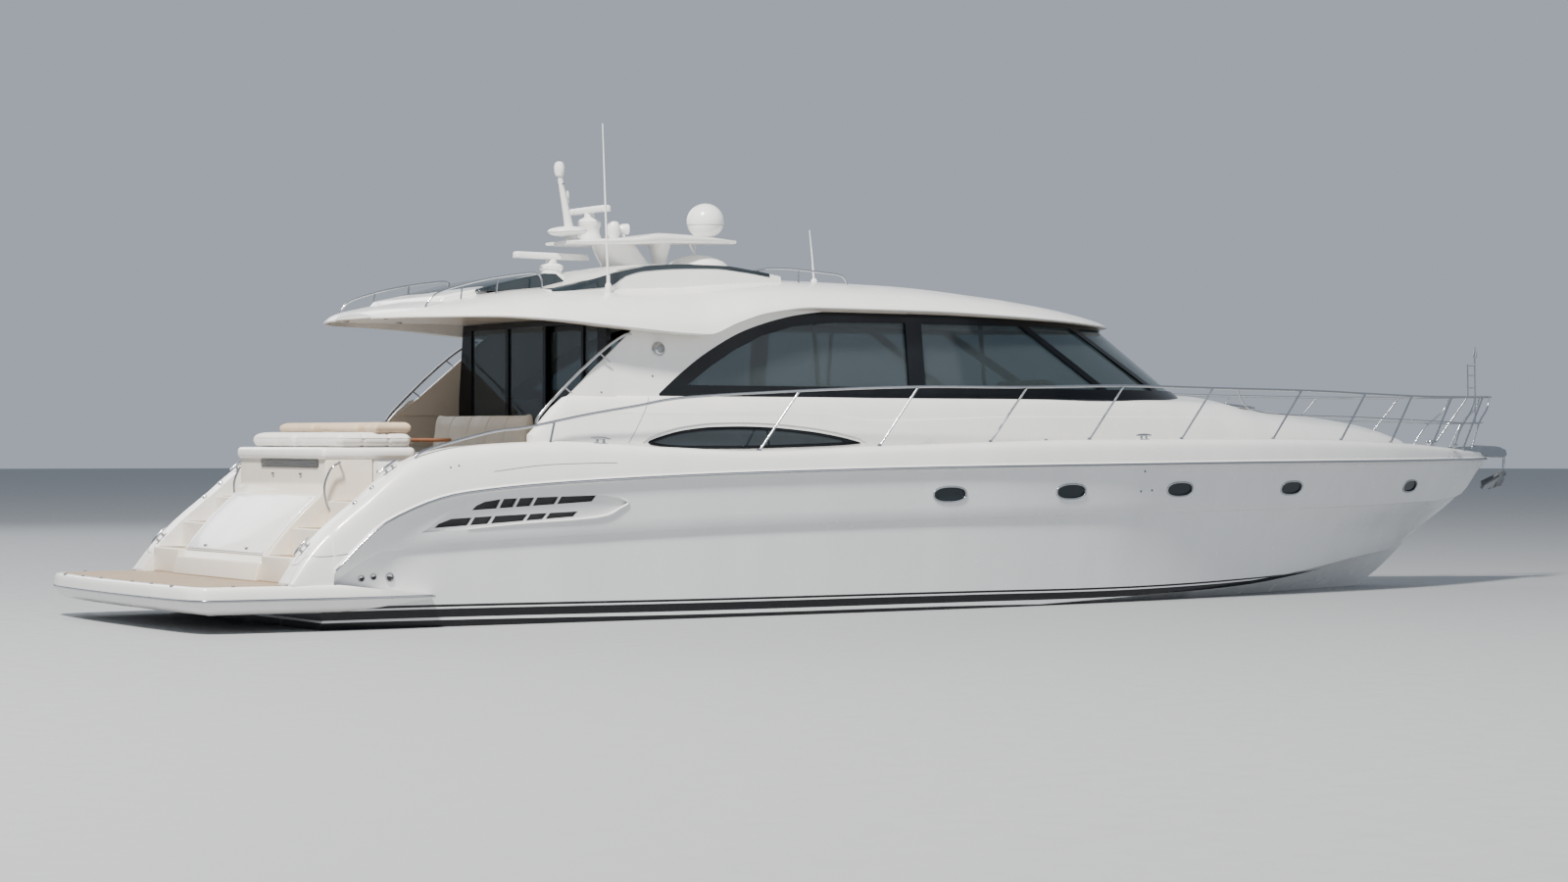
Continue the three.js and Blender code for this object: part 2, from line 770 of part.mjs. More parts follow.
function roofRing(x) {
  const r = ROOF.at(x);
  const skirtZ = Math.min(r.edgeZ, r.underZ);
  const skirtIn = (z) => Math.max(20, Math.min(r.half - 60, wallHalf(x, z) + 3));
  const half = [
    [r.half * 0.36, r.crownZ - (r.crownZ - r.edgeZ) * 0.05],
    [r.half * 0.64, r.crownZ - (r.crownZ - r.edgeZ) * 0.18],
    [r.half * 0.84, r.crownZ - (r.crownZ - r.edgeZ) * 0.42],
    [r.half * 0.96, r.edgeZ + (r.crownZ - r.edgeZ) * 0.25],
    [r.half, r.edgeZ + 18],
    [r.half - 30, r.edgeZ],
    [skirtIn(skirtZ), skirtZ],
    [skirtIn(r.underZ) - 2, r.underZ],
  ];
  return [
    [x, 0, r.crownZ],
    ...half.map(([y, z]) => [x, y, z]),
    ...half.map(([y, z]) => [x, -y, z]).reverse(),
  ];
}

function makeRoof() {
  const stations = [
    1350, 1480, 1750, 2150, 2500, 2900, 3350, 3800, 4400, 4860, 5050, 5250, 5450, 5700, 6000, 6400, 7200,
    8100, 8800, 9400, 9900, 10400, 10800, 11200, 11500, 11700, 11950,
  ];
  const headliner = loft(
    [4300, 5500, 7000, 8500, 9600].map((x) => {
      const r = ROOF.at(x);
      const wide = Math.min(1480, r.half * 0.72);
      const high = r.crownZ - 190;
      return [
        [x, wide, 3000],
        [x, wide, r.underZ + 60],
        [x, wide * 0.7, high],
        [x, -wide * 0.7, high],
        [x, -wide, r.underZ + 60],
        [x, -wide, 3000],
      ];
    }),
  );
  return loft(stations.map(roofRing)).subtract(headliner);
}

// Raised pod on the roof, whose tinted sides show as a dark arch.
function makeRoofPod(roof) {
  const rows = [
    [3150, 1500, 3800],
    [3650, 1480, 3905],
    [4200, 1450, 4040],
    [4650, 1420, 4110],
    [5400, 1400, 4130],
    [5900, 1380, 4090],
    [6350, 1340, 4035],
  ];
  const body = loft(
    rows.map(([x, half, top]) => {
      const r = ROOF.at(x);
      const low = r.crownZ - (r.crownZ - r.edgeZ) * 0.3;
      return [
        [x, half, low],
        [x, half * 0.985, top - 25],
        [x, half * 0.93, top],
        [x, 0, top + 45],
        [x, -half * 0.93, top],
        [x, -half * 0.985, top - 25],
        [x, -half, low],
      ];
    }),
  ).subtract(roof.translate(UP));
  const dome = turned([[0, 0], [420, 0], [400, 70], [300, 140], [160, 185], [0, 200]], 0, 0, 0, 20)
    .scale([1, 0.8, 1])
    .translate([5960, 0, 4130]);
  return mainBody(body.add(dome));
}

// The platform behind the transom, with ears that run forward along the hull.
function makePlatform() {
  const outline = mirrored([
    [PLATFORM_AFT, 0.5],
    [PLATFORM_AFT + 15, 1000],
    [PLATFORM_AFT + 60, 1900],
    [PLATFORM_AFT + 130, 2230],
    [PLATFORM_AFT + 300, 2370],
    [-600, 2440],
    [60, 2490],
    [700, 2480],
    [1280, 2425],
  ]);
  const body = plate(outline, PLATFORM_UNDER, PLATFORM_TOP);
  const earTop = sidePlate(
    [
      [-200, PLATFORM_TOP],
      [1400, 300],
      [1400, 1000],
      [-200, 1000],
    ],
    -3000,
    3000,
  );
  const underCut = sidePlate(
    [
      [PLATFORM_AFT - 10, 0],
      [PLATFORM_AFT - 10, 250],
      [PLATFORM_AFT + 120, PLATFORM_UNDER],
      [-100, PLATFORM_UNDER],
      [1400, 280],
      [1400, 0],
    ],
    -3000,
    3000,
  );
  const hullSpace = loft([-GAP, 0, 200, 450, 700, 1100, 1550].map((x) => {
    const s = HULL.at(Math.max(x, 0));
    const grow = 2;
    const half = [
      [s.railY + grow, 3000],
      [s.railY + grow, s.railZ],
      [s.kneeY + grow, s.kneeZ],
      [s.kneeY - KNUCKLE_STEP + grow, s.kneeZ - 12],
      [(s.chineY + s.kneeY - KNUCKLE_STEP) / 2 + grow, (s.chineZ + s.kneeZ) / 2],
      [s.chineY + grow, s.chineZ],
    ];
    return [...half.map(([y, z]) => [x, y, z]), ...half.map(([y, z]) => [x, -y, z]).reverse()];
  }));
  const teakBed = plate(teakOutline(0), PLATFORM_TOP - 14, PLATFORM_TOP + 50);
  return body.subtract(underCut).subtract(earTop).subtract(hullSpace).subtract(teakBed);
}

function teakOutline(inset) {
  return mirrored([
    [PLATFORM_AFT + 150 + inset, 0.5],
    [PLATFORM_AFT + 165 + inset, 1000],
    [PLATFORM_AFT + 215 + inset, 1850 - inset],
    [PLATFORM_AFT + 420 + inset, 2150 - inset],
    [-480 - inset, 2200 - inset],
    [-480 - inset, 1950],
    [-30 - inset, 1950],
    [-30 - inset, 1300],
    [-420 - inset, 1300],
    [-450 - inset, 0.5],
  ]);
}

// Side profile of the boat garage between the stern stairs, aft face first.
const GARAGE_PROFILE = [
  [-380, PLATFORM_TOP + GAP],
  [-330, 700],
  [-235, 775],
  [-120, 925],
  [60, 1125],
  [230, 1290],
  [390, 1430],
  [470, 1560],
  [470, SOLE + 500],
  [1040, SOLE + 500],
  [1040, PLATFORM_TOP + GAP],
];
const LID_PROFILE = GARAGE_PROFILE.slice(2, 7);

function makeGarage() {
  const outer = sidePlate(GARAGE_PROFILE, -GARAGE_HALF - 50, GARAGE_HALF + 50);
  const bay = sidePlate(
    [
      [-180, PLATFORM_TOP + 60],
      [-180, 700],
      [-225, 770],
      ...LID_PROFILE.slice(1, -1),
      [382, 1437],
      [470, 1420],
      [900, 1400],
      [900, PLATFORM_TOP + 60],
    ],
    -GARAGE_HALF + 60,
    GARAGE_HALF - 60,
  );
  const lidBed = sidePlate(shiftedLid(-46, 90), -GARAGE_HALF - 6, GARAGE_HALF + 6);
  return outer.subtract(bay).subtract(lidBed);
}

// The lid's outline between two offsets from the garage's sloping face.
function shiftedLid(from, to) {
  const along = [LID_PROFILE[0], LID_PROFILE.at(-1)];
  const length = Math.hypot(along[1][0] - along[0][0], along[1][1] - along[0][1]);
  const out = [-(along[1][1] - along[0][1]) / length, (along[1][0] - along[0][0]) / length];
  const moved = (d) => LID_PROFILE.map(([x, z]) => [x + out[0] * d, z + out[1] * d]);
  return [...moved(from), ...moved(to).reverse()];
}

function makeGarageLid() {
  const ends = shiftedLid(-45 + GAP, 12);
  const middle = [
    (LID_PROFILE[0][0] + LID_PROFILE.at(-1)[0]) / 2,
    (LID_PROFILE[0][1] + LID_PROFILE.at(-1)[1]) / 2,
  ];
  const slope = [LID_PROFILE.at(-1)[0] - LID_PROFILE[0][0], LID_PROFILE.at(-1)[1] - LID_PROFILE[0][1]];
  const length = Math.hypot(...slope);
  const unit = slope.map((v) => v / length);
  const shrunk = ends.map(([x, z]) => {
    const t = (x - middle[0]) * unit[0] + (z - middle[1]) * unit[1];
    const k = (6 * Math.sign(t) * Math.min(1, Math.abs(t) / 200));
    return [x - unit[0] * k, z - unit[1] * k];
  });
  const [hingeX, hingeZ] = shrunk[shrunk.length / 2];
  const hinge = [-1, 1].map((side) => [hingeX, side * (GARAGE_HALF - 60), hingeZ]);
  return sidePlate(shrunk, -GARAGE_HALF + 2, GARAGE_HALF - 2).add(tube(hinge, 5.5, 10));
}

// Stairs from the platform to the cockpit, on each side of the garage.
function makeStairs(side) {
  const outline = [
    [-300, PLATFORM_TOP + GAP],
    [-300, 790],
    [60, 790],
    [60, 1085],
    [480, 1085],
    [480, SOLE],
    [1040, SOLE],
    [1040, PLATFORM_TOP + GAP],
  ];
  const [inner, outer] = [GARAGE_HALF + 50 + GAP, WELL_HALF - GAP];
  return sidePlate(outline, ...(side > 0 ? [inner, outer] : [-outer, -inner]));
}

// Cockpit and saloon floor, with the liner walls that rise to the deck.
function makeSole() {
  const wall = 40;
  const outline = mirrored(wellOutline(-GAP).map(([x, y], i) => [i ? x : 1040 + GAP, y]));
  const inside = mirrored(wellOutline(-wall).map(([x, y], i) => [i ? x : 900, y]));
  return plate(outline, SOLE - SOLE_THICKNESS, LINER_TOP).subtract(plate(inside, SOLE, LINER_TOP + 500));
}

// Framed glass wall between cockpit and saloon, with one sliding leaf.
const DOOR = { left: -330, right: -1290, low: SOLE + 14, high: 3400, travel: 900 };
function makeBulkhead(neighbours) {
  const half = (z) => wallHalf(BULKHEAD_X, z) - FRAME_THICKNESS - 4;
  const outline = [
    [1990, SOLE + GAP],
    [half(SILL), SILL],
    [half(3470), 3470],
  ];
  const frame = loft(
    [BULKHEAD_X, BULKHEAD_X + 56].map((x) => mirroredAcross(outline).map(([y, z]) => [x, y, z])),
  );
  const bays = [
    [690, 1620],
    [-290, 610],
    [DOOR.right + 30, DOOR.left - 40],
    [-1660, DOOR.right - 30],
  ];
  const open = bays.map(([y0, y1]) => box(BULKHEAD_X - 10, BULKHEAD_X + 90, y0, y1, SOLE + 70, 3400));
  const runnerY = [DOOR.right - 10, DOOR.left + DOOR.travel + 20];
  const runner = box(BULKHEAD_X + 40, BULKHEAD_X + 104, ...runnerY, SOLE + GAP, DOOR.low - GAP);
  return fitted(frame.subtract(joined(open)).add(runner), neighbours);
}

function makeDoorLeaf() {
  const x = BULKHEAD_X + 56 + 8;
  const leaf = box(x, x + 34, DOOR.right, DOOR.left, DOOR.low, DOOR.high);
  return leaf.subtract(box(x - 1, x + 12, DOOR.right + 60, DOOR.left - 60, DOOR.low + 90, DOOR.high - 70));
}

// Engine block on two bearers that reach down to the hull's bottom.
function makeEngine(side, hull) {
  const y = side * 800;
  const block = box(2700, 4300, y - 350, y + 350, -190, 620);
  const sump = box(2900, 4100, y - 180, y + 180, -330, -190);
  const gearbox = box(2450, 2700, y - 190, y + 190, -260, 250);
  const bearers = [-260, 260].map((d) => box(2600, 4400, y + d - 35, y + d + 35, -720, -190));
  return fitted(joined([block, sump, gearbox, ...bearers]), [hull]);
}

function shaftZ(x) {
  const t = (x - PROPELLER.x) / (SHAFT_END.x - PROPELLER.x);
  return PROPELLER.z + (SHAFT_END.z - PROPELLER.z) * t;
}

// Propeller shaft in its tube, carried by a strut forward of the propeller.
function makeShaft(side, hull) {
  const y = side * DRIVE_Y;
  const rake = Math.atan2(SHAFT_END.z - PROPELLER.z, SHAFT_END.x - PROPELLER.x);
  const from = PROPELLER.x + (PROPELLER.hub + GAP) * Math.cos(rake);
  const rod = tube([[from, y, shaftZ(from)], [SHAFT_END.x, y, SHAFT_END.z]], 38, 10);
  const bearing = tube([[from, y, shaftZ(from)], [from + 230, y, shaftZ(from + 230)]], 62, 10);
  const strut = plate(
    [
      [from + 20, y],
      [from + 90, y - 16 ],
      [from + 200, y],
      [from + 90, y + 16],
    ],
    shaftZ(from + 100),
    -440,
  );
  const tubeEnd = tube([[2250, y, shaftZ(2250)], [2800, y, shaftZ(2800)]], 70, 10);
  return fitted(joined([rod, bearing, strut, tubeEnd]), [hull]);
}

function makePropeller(side) {
  const hub = turned(
    [[0, -100], [34, -94], [56, -60], [62, 60], [50, PROPELLER.hub], [0, PROPELLER.hub]],
    0,
    0,
    0,
    16,
  );
  const blades = Array.from({ length: PROPELLER.blades }, (_, i) =>
    makeBlade(side).rotate([0, 0, (360 * i) / PROPELLER.blades]),
  );
  const slope = Math.atan2(SHAFT_END.z - PROPELLER.z, SHAFT_END.x - PROPELLER.x);
  return joined([hub, ...blades])
    .rotate([0, 90 - THREE.MathUtils.radToDeg(slope), 0])
    .translate([PROPELLER.x, side * DRIVE_Y, PROPELLER.z]);
}

// A twisted blade along +X for a propeller whose axis is Z.
function makeBlade(side) {
  const rows = [
    [40, 120, 30],
    [110, 200, 22],
    [190, 250, 16],
    [260, 205, 11],
    [PROPELLER.radius, 70, 6],
  ];
  return loft(
    rows.map(([r, chord, thick]) => {
      const angle = Math.atan(PROPELLER.pitch / (2 * Math.PI * Math.max(r, 70))) * side;
      const [c, q] = [Math.cos(angle), Math.sin(angle)];
      const skew = (r / PROPELLER.radius) ** 2 * 34 * side;
      return [
        [-chord / 2, 0],
        [-chord / 6, thick / 2],
        [chord / 3, thick / 2],
        [chord / 2, 0],
        [chord / 4, -thick / 2],
        [-chord / 4, -thick / 2],
      ].map(([u, v]) => [r, skew + u * c - v * q, u * q + v * c]);
    }),
    [1, 2],
  );
}

function makeRudder(side) {
  const y = side * DRIVE_Y;
  const ring = (z, fore, aft, thick) =>
    [
      [fore, 0],
      [fore - (fore - aft) * 0.3, thick],
      [aft, 3],
      [aft, -3],
      [fore - (fore - aft) * 0.3, -thick],
    ].map(([x, w]) => [RUDDER.x + x, y + w, z]);
  const blade = loft(
    [ring(RUDDER.foot, 70, -190, 14), ring(-900, 110, -250, 20), ring(RUDDER.top - 28, 130, -275, 24)],
    [0, 1],
  );
  const stockFoot = RUDDER.top - 300;
  return blade.add(post(30, RUDDER.x, y, stockFoot, RUDDER.port - GAP));
}

// A trim tab lies along the hull's bottom line behind the transom and swings down.
function makeTrimTab(side) {
  const s = HULL.at(0);
  const slope = (s.chineZ - 14 - s.keelZ) / (s.chineY - 110 - 28);
  const floor = (y) => s.keelZ + (y - 28) * slope;
  const ring = (x) =>
    [
      [1280, 6],
      [1960, 6],
      [1960, 22],
      [1280, 22],
    ].map(([y, up]) => [x, side * y, floor(y) + up]);
  const knuckle = [1300, 1940].map((y) => [-12, side * y, floor(y) + 14]);
  return loft([ring(-12), ring(-TAB_LENGTH)]).add(tube(knuckle, 12 - GAP, 12));
}

// Gate at the head of each stair.
const GATE = { x: 1070, thick: 36, low: SOLE + 14, high: 1810, inner: 1262, outer: 2004, pivot: 1990 };
function makeGate(side) {
  const [y0, y1] = side > 0 ? [GATE.inner, GATE.outer] : [-GATE.outer, -GATE.inner];
  const panel = box(GATE.x - GATE.thick / 2, GATE.x + GATE.thick / 2, y0, y1, GATE.low, GATE.high);
  return panel.add(post(18, GATE.x, side * GATE.pivot, SOLE + GAP, GATE.high));
}

// Bench over the garage and in front of it.
function makeLoungeBase() {
  const over = box(560, 1560, -1330, 1330, 1880 + GAP, 1975);
  const front = box(1040 + 8, 1560, -1240, 1240, SOLE + GAP, 1900);
  return over.add(front);
}

function makeSettee() {
  const seat = box(2520, 3130, -1140, 1380, SOLE + GAP, 1790);
  const cushion = box(2480, 3010, -1140, 1380, 1790, 1900);
  const back = sidePlate([[2960, 1850], [3020, 2390], [3150, 2390], [3130, 1700], [2960, 1700]], -1140, 1380);
  return joined([seat, cushion, back]);
}

function makeTable() {
  const top = box(1800, 2350, -560, 760, 2030, 2075);
  const leg = turned([[0, 0], [190, 0], [190, 14], [50, 40], [50, 660], [0, 660]], 2075, 100, SOLE + GAP, 16);
  return top.add(leg);
}

function makeHelm() {
  const console = sidePlate(
    [[9650, SOLE + GAP], [9650, 2120], [9900, 2380], [10350, 2480], [10900, 2480], [10900, SOLE + GAP]],
    -1300,
    -250,
  );
  const wheel = new THREE.TorusGeometry(190, 18, 6, 20);
  wheel.rotateY(Math.PI / 2 - 0.5);
  wheel.translate(9640, -800, 2300);
  const column = tube([[9800, -800, 2200], [9640, -800, 2300]], 40, 8);
  const bar = tube([[9640, -990, 2300], [9640, -610, 2300]], 14, 6);
  return joined([console, solidOf(wheel), column, bar]);
}

function makeHelmSeat() {
  const base = box(8850, 9150, -1150, -450, SOLE + GAP, 1750);
  const seat = box(8780, 9250, -1280, -320, 1740, 1900);
  const back = sidePlate([[8780, 1800], [8680, 2560], [8800, 2580], [8900, 1800]], -1280, -320);
  return joined([base, seat, back]);
}

function makeSofa() {
  const seat = box(4600, 7600, 1000, 1700, SOLE + GAP, 1830);
  const back = box(4600, 7600, 1520, 1700, 1820, 2280);
  const end = box(7440, 7600, 1000, 1700, 1820, 2280);
  return joined([seat, back, end]);
}

function makeGalley() {
  return box(4300, 6500, -1700, -1060, SOLE + GAP, 2300).subtract(box(4700, 5400, -1600, -1200, 2150, 2400));
}

// Mast: a wing on a leaning trunk, with a raked pole and the beds of radars and dome.
const POLE = { x: 4046, y: -120 };
function makeMast(pod) {
  const wing = (x, half, low, high) => [
    [x, half, (low + high) / 2 + 6],
    [x, half * 0.9, high - 8],
    [x, 0, high],
    [x, -half * 0.9, high - 8],
    [x, -half, (low + high) / 2 + 6],
    [x, -half * 0.85, low + 10],
    [x, 0, low],
    [x, half * 0.85, low + 10],
  ];
  const top = loft([
    wing(4020, 330, 4395, 4440),
    wing(4300, 430, 4390, 4460),
    wing(4900, 440, 4410, 4510),
    wing(5200, 420, 4430, 4560),
    wing(5900, 330, 4455, 4545),
    wing(6430, 150, 4475, 4520),
  ]);
  const trunk = loft(
    [
      [4450, 5010, 230, 4470],
      [4540, 5130, 260, 4330],
      [4620, 5250, 285, 4190],
      [4660, 5260, 270, 4060],
    ].map(([aft, fore, half, z]) =>
      Array.from({ length: 14 }, (_, i) => {
        const a = (2 * Math.PI * i) / 14;
        return [(aft + fore) / 2 + ((fore - aft) / 2) * Math.cos(a), half * Math.sin(a), z];
      }),
    ),
    [0, 1],
  );
  const prop = turned([[0, 0], [120, 0], [85, 120], [150, 400], [0, 400]], 5420, 0, 4080, 14);
  const pole = tube(
    [
      [POLE.x + 110, POLE.y, 4420],
      [POLE.x + 70, POLE.y, 4560],
      [POLE.x, POLE.y, 4900],
      [POLE.x - 70, POLE.y, 5250],
    ],
    [110, 60, 40, 30],
    8,
  );
  const lamp = turned([[0, 0], [50, 8], [62, 60], [56, 130], [20, 166], [0, 170]], POLE.x - 70, POLE.y, 5230, 12);
  return fitted(joined([top, trunk, prop, pole, lamp]), [pod], [UP]);
}

// An open radar scanner: pedestal and turning bar are separate pieces. turn is the bar's rest angle.
const RADARS = {
  upper: { x: 4514, y: 120, foot: 4440, bed: 4760, half: 470, turn: 0 },
  aft: { x: 3930, y: 0, foot: 4000, bed: 4180, half: 550, turn: -80 },
};
function radarPedestal({ x, y, foot, bed }, neighbours) {
  const height = bed - foot;
  const body = turned(
    [[0, -60], [150, -60], [150, height * 0.2], [120, height * 0.6], [140, height * 0.85], [60, height], [0, height]],
    x,
    y,
    foot,
    14,
  );
  return fitted(body, neighbours);
}

function radarBar({ x, y, bed, half, turn }) {
  const bar = loft(
    [
      [-half, 38],
      [-half + 60, 52],
      [half - 60, 52],
      [half, 38],
    ].map(([along, tall]) => [
      [-50, along, 40],
      [-34, along, 40 + tall * 1.5],
      [34, along, 40 + tall * 1.5],
      [50, along, 40],
    ]),
    [0, 2],
  );
  const neck = turned([[0, GAP], [70, GAP], [60, 60], [0, 60]], 0, 0, 0, 14);
  return bar.rotate([0, 0, turn]).add(neck).translate([x, y, bed]);
}

function makeDome(mast) {
  const profile = [[0, 0], [70, 0], [80, 60]];
  for (let i = 1; i <= 8; i++) {
    const a = -0.95 + (i / 8) * (Math.PI / 2 + 0.95);
    profile.push([Math.max(0, 232 * Math.cos(a)), 250 + 222 * Math.sin(a)]);
  }
  return fitted(turned(profile, 6070, 0, 4500, 20), [mast], [UP]);
}

function makeWhip(x, y, foot, top, roof) {
  const rod = tube([[x, y, foot], [x + top.lean, y, foot + top.height]], [15, 7], 6);
  const bed = turned([[0, -60], [46, -60], [40, 60], [0, 60]], x, y, foot, 10);
  return fitted(rod.add(bed), roof, [UP]);
}

// Guard rail from the cockpit to the bow and back along the other side.
const RAIL_TOP = [
  [1140, 2300, 1985],
  [1420, 2300, 2030],
  [2020, 2310, 2150],
  [2440, 2320, 2200],
  [3170, 2340, 2340],
  [3790, 2360, 2440],
  [4430, 2375, 2540],
  [5970, 2380, 2630],
  [7590, 2375, 2690],
  [9200, 2350, 2700],
  [10810, 2270, 2730],
  [12430, 2090, 2715],
  [14360, 1740, 2700],
  [15660, 1390, 2675],
  [17080, 900, 2655],
  [18300, 430, 2660],
  [19000, 150, 2668],
];
const STANCHION_FEET = [
  [5400, 2385],
  [7080, 2375],
  [8710, 2350],
  [10260, 2290],
  [11840, 2140],
  [13590, 1865],
  [15050, 1540],
  [16280, 1170],
  [17450, 730],
  [18420, 330],
];
const PULPIT_X = 15400; // side rails end and the pulpit begins here
function makeRails(deck) {
  const across = (sign) => ([x, y, z]) => [x, sign * y, z];
  const top = tube([...RAIL_TOP, [19290, 0, 2670], ...RAIL_TOP.map(across(-1)).reverse()], RAIL_RADIUS, 6);
  const stanchion = ([x, y]) => [[x, y, DECK_EDGE.at(x).z - 30], railPoint(x + 560)];
  const uprights = [
    ...STANCHION_FEET.map(stanchion),
    [[1160, 2300, 1700], [1160, 2300, 1985]],
    [[2700, 2330, 1960], [2760, 2330, 2262]],
  ];
  const posts = [-1, 1].flatMap((sign) => uprights.map((ends) => tube(ends.map(across(sign)), 14, 6)));
  const middles = STANCHION_FEET.slice(5)
    .map(stanchion)
    .map(([foot, head]) => foot.map((v, k) => (v + head[k]) / 2));
  const rise = [railPoint(12850), [13150, 1905, 2460]];
  const run = [...rise, ...middles];
  const middle = tube([...run, [19130, 0, 2300], ...run.map(across(-1)).reverse()], 10, 6);
  const whole = fitted(joined([top, ...posts, middle]), [deck], [UP, FORE, AFT]);
  return {
    side_rail_port: whole.intersect(box(0, PULPIT_X - GAP, 0, 3000, 0, 5000)),
    side_rail_stbd: whole.intersect(box(0, PULPIT_X - GAP, -3000, 0, 0, 5000)),
    pulpit: whole.intersect(box(PULPIT_X, 21000, -3000, 3000, 0, 5000)),
  };
}

function railPoint(x) {
  const i = Math.max(0, RAIL_TOP.findIndex((p) => p[0] >= x) - 1);
  const [a, b] = [RAIL_TOP[i], RAIL_TOP[i + 1]];
  const t = (x - a[0]) / (b[0] - a[0]);
  return a.map((v, j) => v + (b[j] - v) * t);
}

// Bow fitting with the anchor's roller.
function makeBowRoller(deck, rub) {
  const cheek = (y) =>
    sidePlate([[18500, 1940], [19180, 1960], [19520, 1900], [19540, 1830], [19400, 1790], [18500, 1880]], y - 7, y + 7);
  const floor = box(18400, 19300, -70, 70, 1905, 1925);
  const roller = tube([[19440, -66, 1850], [19440, 66, 1850]], 40, 12);
  return fitted(joined([cheek(-70), cheek(70), floor, roller]), [deck, rub]);
}

function makeAnchor(neighbours) {
  const shank = tube([[18900, 0, 1960], [19440, 0, 1930], [19560, 0, 1800], [19520, 0, 1560]], [16, 18, 20, 22], 8);
  const fluke = (sign) =>
    loft(
      [
        [[19560, 0, 1560], [19480, 0, 1560], [19500, 0, 1600]],
        [[19330, sign * 170, 1380], [19200, sign * 130, 1340], [19240, sign * 160, 1460]],
        [[19190, sign * 60, 1330], [19170, sign * 40, 1320], [19180, sign * 60, 1345]],
      ],
      [0, 2],
    );
  const crown = box(19440, 19580, -30, 30, 1520, 1600);
  return fitted(joined([shank, crown, fluke(1), fluke(-1)]), neighbours);
}

function makeWindlass(deck) {
  const base = box(17900, 18250, -110, 110, 1830, 1900);
  const drum = turned([[0, 0], [70, 0], [80, 30], [46, 60], [60, 110], [80, 130], [74, 160], [0, 160]], 18120, 0, 1890, 14);
  return fitted(base.add(drum), [deck], [UP]);
}

// Hatch in the foredeck: a low lid on the coachroof.
const HATCH = { x0: 14050, x1: 14620, half: 290, angle: 0 };
function makeHatch(trunk) {
  const coaming = TRUNK.at(HATCH.x0).crownZ;
  const fall = TRUNK.at(HATCH.x1).crownZ;
  const hinge = tube([-1, 1].map((side) => [HATCH.x1, side * 120, fall + 8]), 7.5, 10);
  return sidePlate(
    [
      [HATCH.x0, coaming + 8],
      [HATCH.x0, coaming + 46],
      [HATCH.x1, fall + 46],
      [HATCH.x1, fall + 8],
    ],
    -HATCH.half,
    HATCH.half,
  ).add(hinge);
}

const group = new THREE.Group();
const MATERIALS = {
  gelcoat: { color: 0xf1efea, roughness: 0.25, metalness: 0 },
  cream: { color: 0xe9dfcb, roughness: 0.45, metalness: 0 },
  teak: { color: 0xb4936f, roughness: 0.7, metalness: 0 },
  black: { color: 0x15181c, roughness: 0.3, metalness: 0 },
  glass: { color: 0x24333c, roughness: 0.05, metalness: 0 },
  steel: { color: 0xc9ccd0, roughness: 0.15, metalness: 1 },
  bronze: { color: 0xa9823f, roughness: 0.35, metalness: 1 },
  fabric: { color: 0xe6dcc6, roughness: 0.8, metalness: 0 },
  grey: { color: 0x70767c, roughness: 0.6, metalness: 0.2 },
};

function add(name, solid, material) {
  const mesh = new THREE.Mesh(geometryOf(solid), new THREE.MeshStandardMaterial(MATERIALS[material]));
  mesh.name = name;
  group.add(mesh);
}

const hull = makeHull();
const rub = makeRubRail();
const deck = makeDeck();
const { trunk, panes } = makeTrunk();
const roof = makeRoof();
const pod = makeRoofPod(roof);
const cabin = makeHouse(trunk, roof);
const sole = makeSole();
const mast = makeMast(pod);
const roller = makeBowRoller(deck, rub);

add("hull", hull, "gelcoat");
add("rub_rail", rub, "steel");
add("deck", deck, "gelcoat");
add("deckhouse", trunk, "gelcoat");
for (const [name, solid] of Object.entries(cabin)) {
  add(name, solid, name.startsWith("side_wing") ? "gelcoat" : name === "window_frame" ? "black" : "glass");
}
add("hardtop", roof, "gelcoat");
add("roof_pod", pod, "black");
add("swim_platform", makePlatform(), "gelcoat");
add("platform_teak", plate(teakOutline(3), PLATFORM_TOP - 14 + GAP, PLATFORM_TOP), "teak");
add("garage", makeGarage(), "gelcoat");
add("garage_lid", makeGarageLid(), "gelcoat");
add("sole", sole, "cream");
add("bulkhead", makeBulkhead([sole, deck, trunk, roof, ...Object.values(cabin)]), "black");
add("saloon_door", makeDoorLeaf(), "glass");
add("lounge_base", makeLoungeBase(), "gelcoat");
add("sunpad", box(590, 1540, -1300, 1300, 1975 + GAP, 2130), "fabric");
add("settee", makeSettee(), "fabric");
add("cockpit_table", makeTable(), "teak");
add("helm_console", makeHelm(), "grey");
add("helm_seat", makeHelmSeat(), "fabric");
add("saloon_sofa", makeSofa(), "fabric");
add("galley", makeGalley(), "cream");
add("mast", mast, "gelcoat");
for (const [name, radar] of Object.entries(RADARS)) {
  add(`radar_pedestal_${name}`, radarPedestal(radar, [pod, roof, mast]), "gelcoat");
  add(`radar_bar_${name}`, radarBar(radar), "gelcoat");
}
add("satellite_dome", makeDome(mast), "gelcoat");
add("whip_antenna", makeWhip(3840, -1600, 3800, { lean: -76, height: 1910 }, [pod, roof]), "gelcoat");
for (const [name, solid] of Object.entries(makeRails(deck))) add(name, solid, "steel");
add("bow_roller", roller, "steel");
add("anchor", makeAnchor([roller]), "steel");
add("windlass", makeWindlass(deck), "steel");
add("foredeck_hatch", makeHatch(trunk), "glass");
for (const [name, side] of [["port", 1], ["stbd", -1]]) {
  add(`deck_window_${name}`, panes[name], "glass");
  add(`stairs_${name}`, makeStairs(side), "gelcoat");
  add(`gate_${name}`, makeGate(side), "gelcoat");
  add(`engine_${name}`, makeEngine(side, hull), "grey");
  add(`shaft_${name}`, makeShaft(side, hull), "steel");
  add(`propeller_${name}`, makePropeller(side), "bronze");
  add(`rudder_${name}`, makeRudder(side), "bronze");
  add(`trim_tab_${name}`, makeTrimTab(side), "steel");
}

export default group;
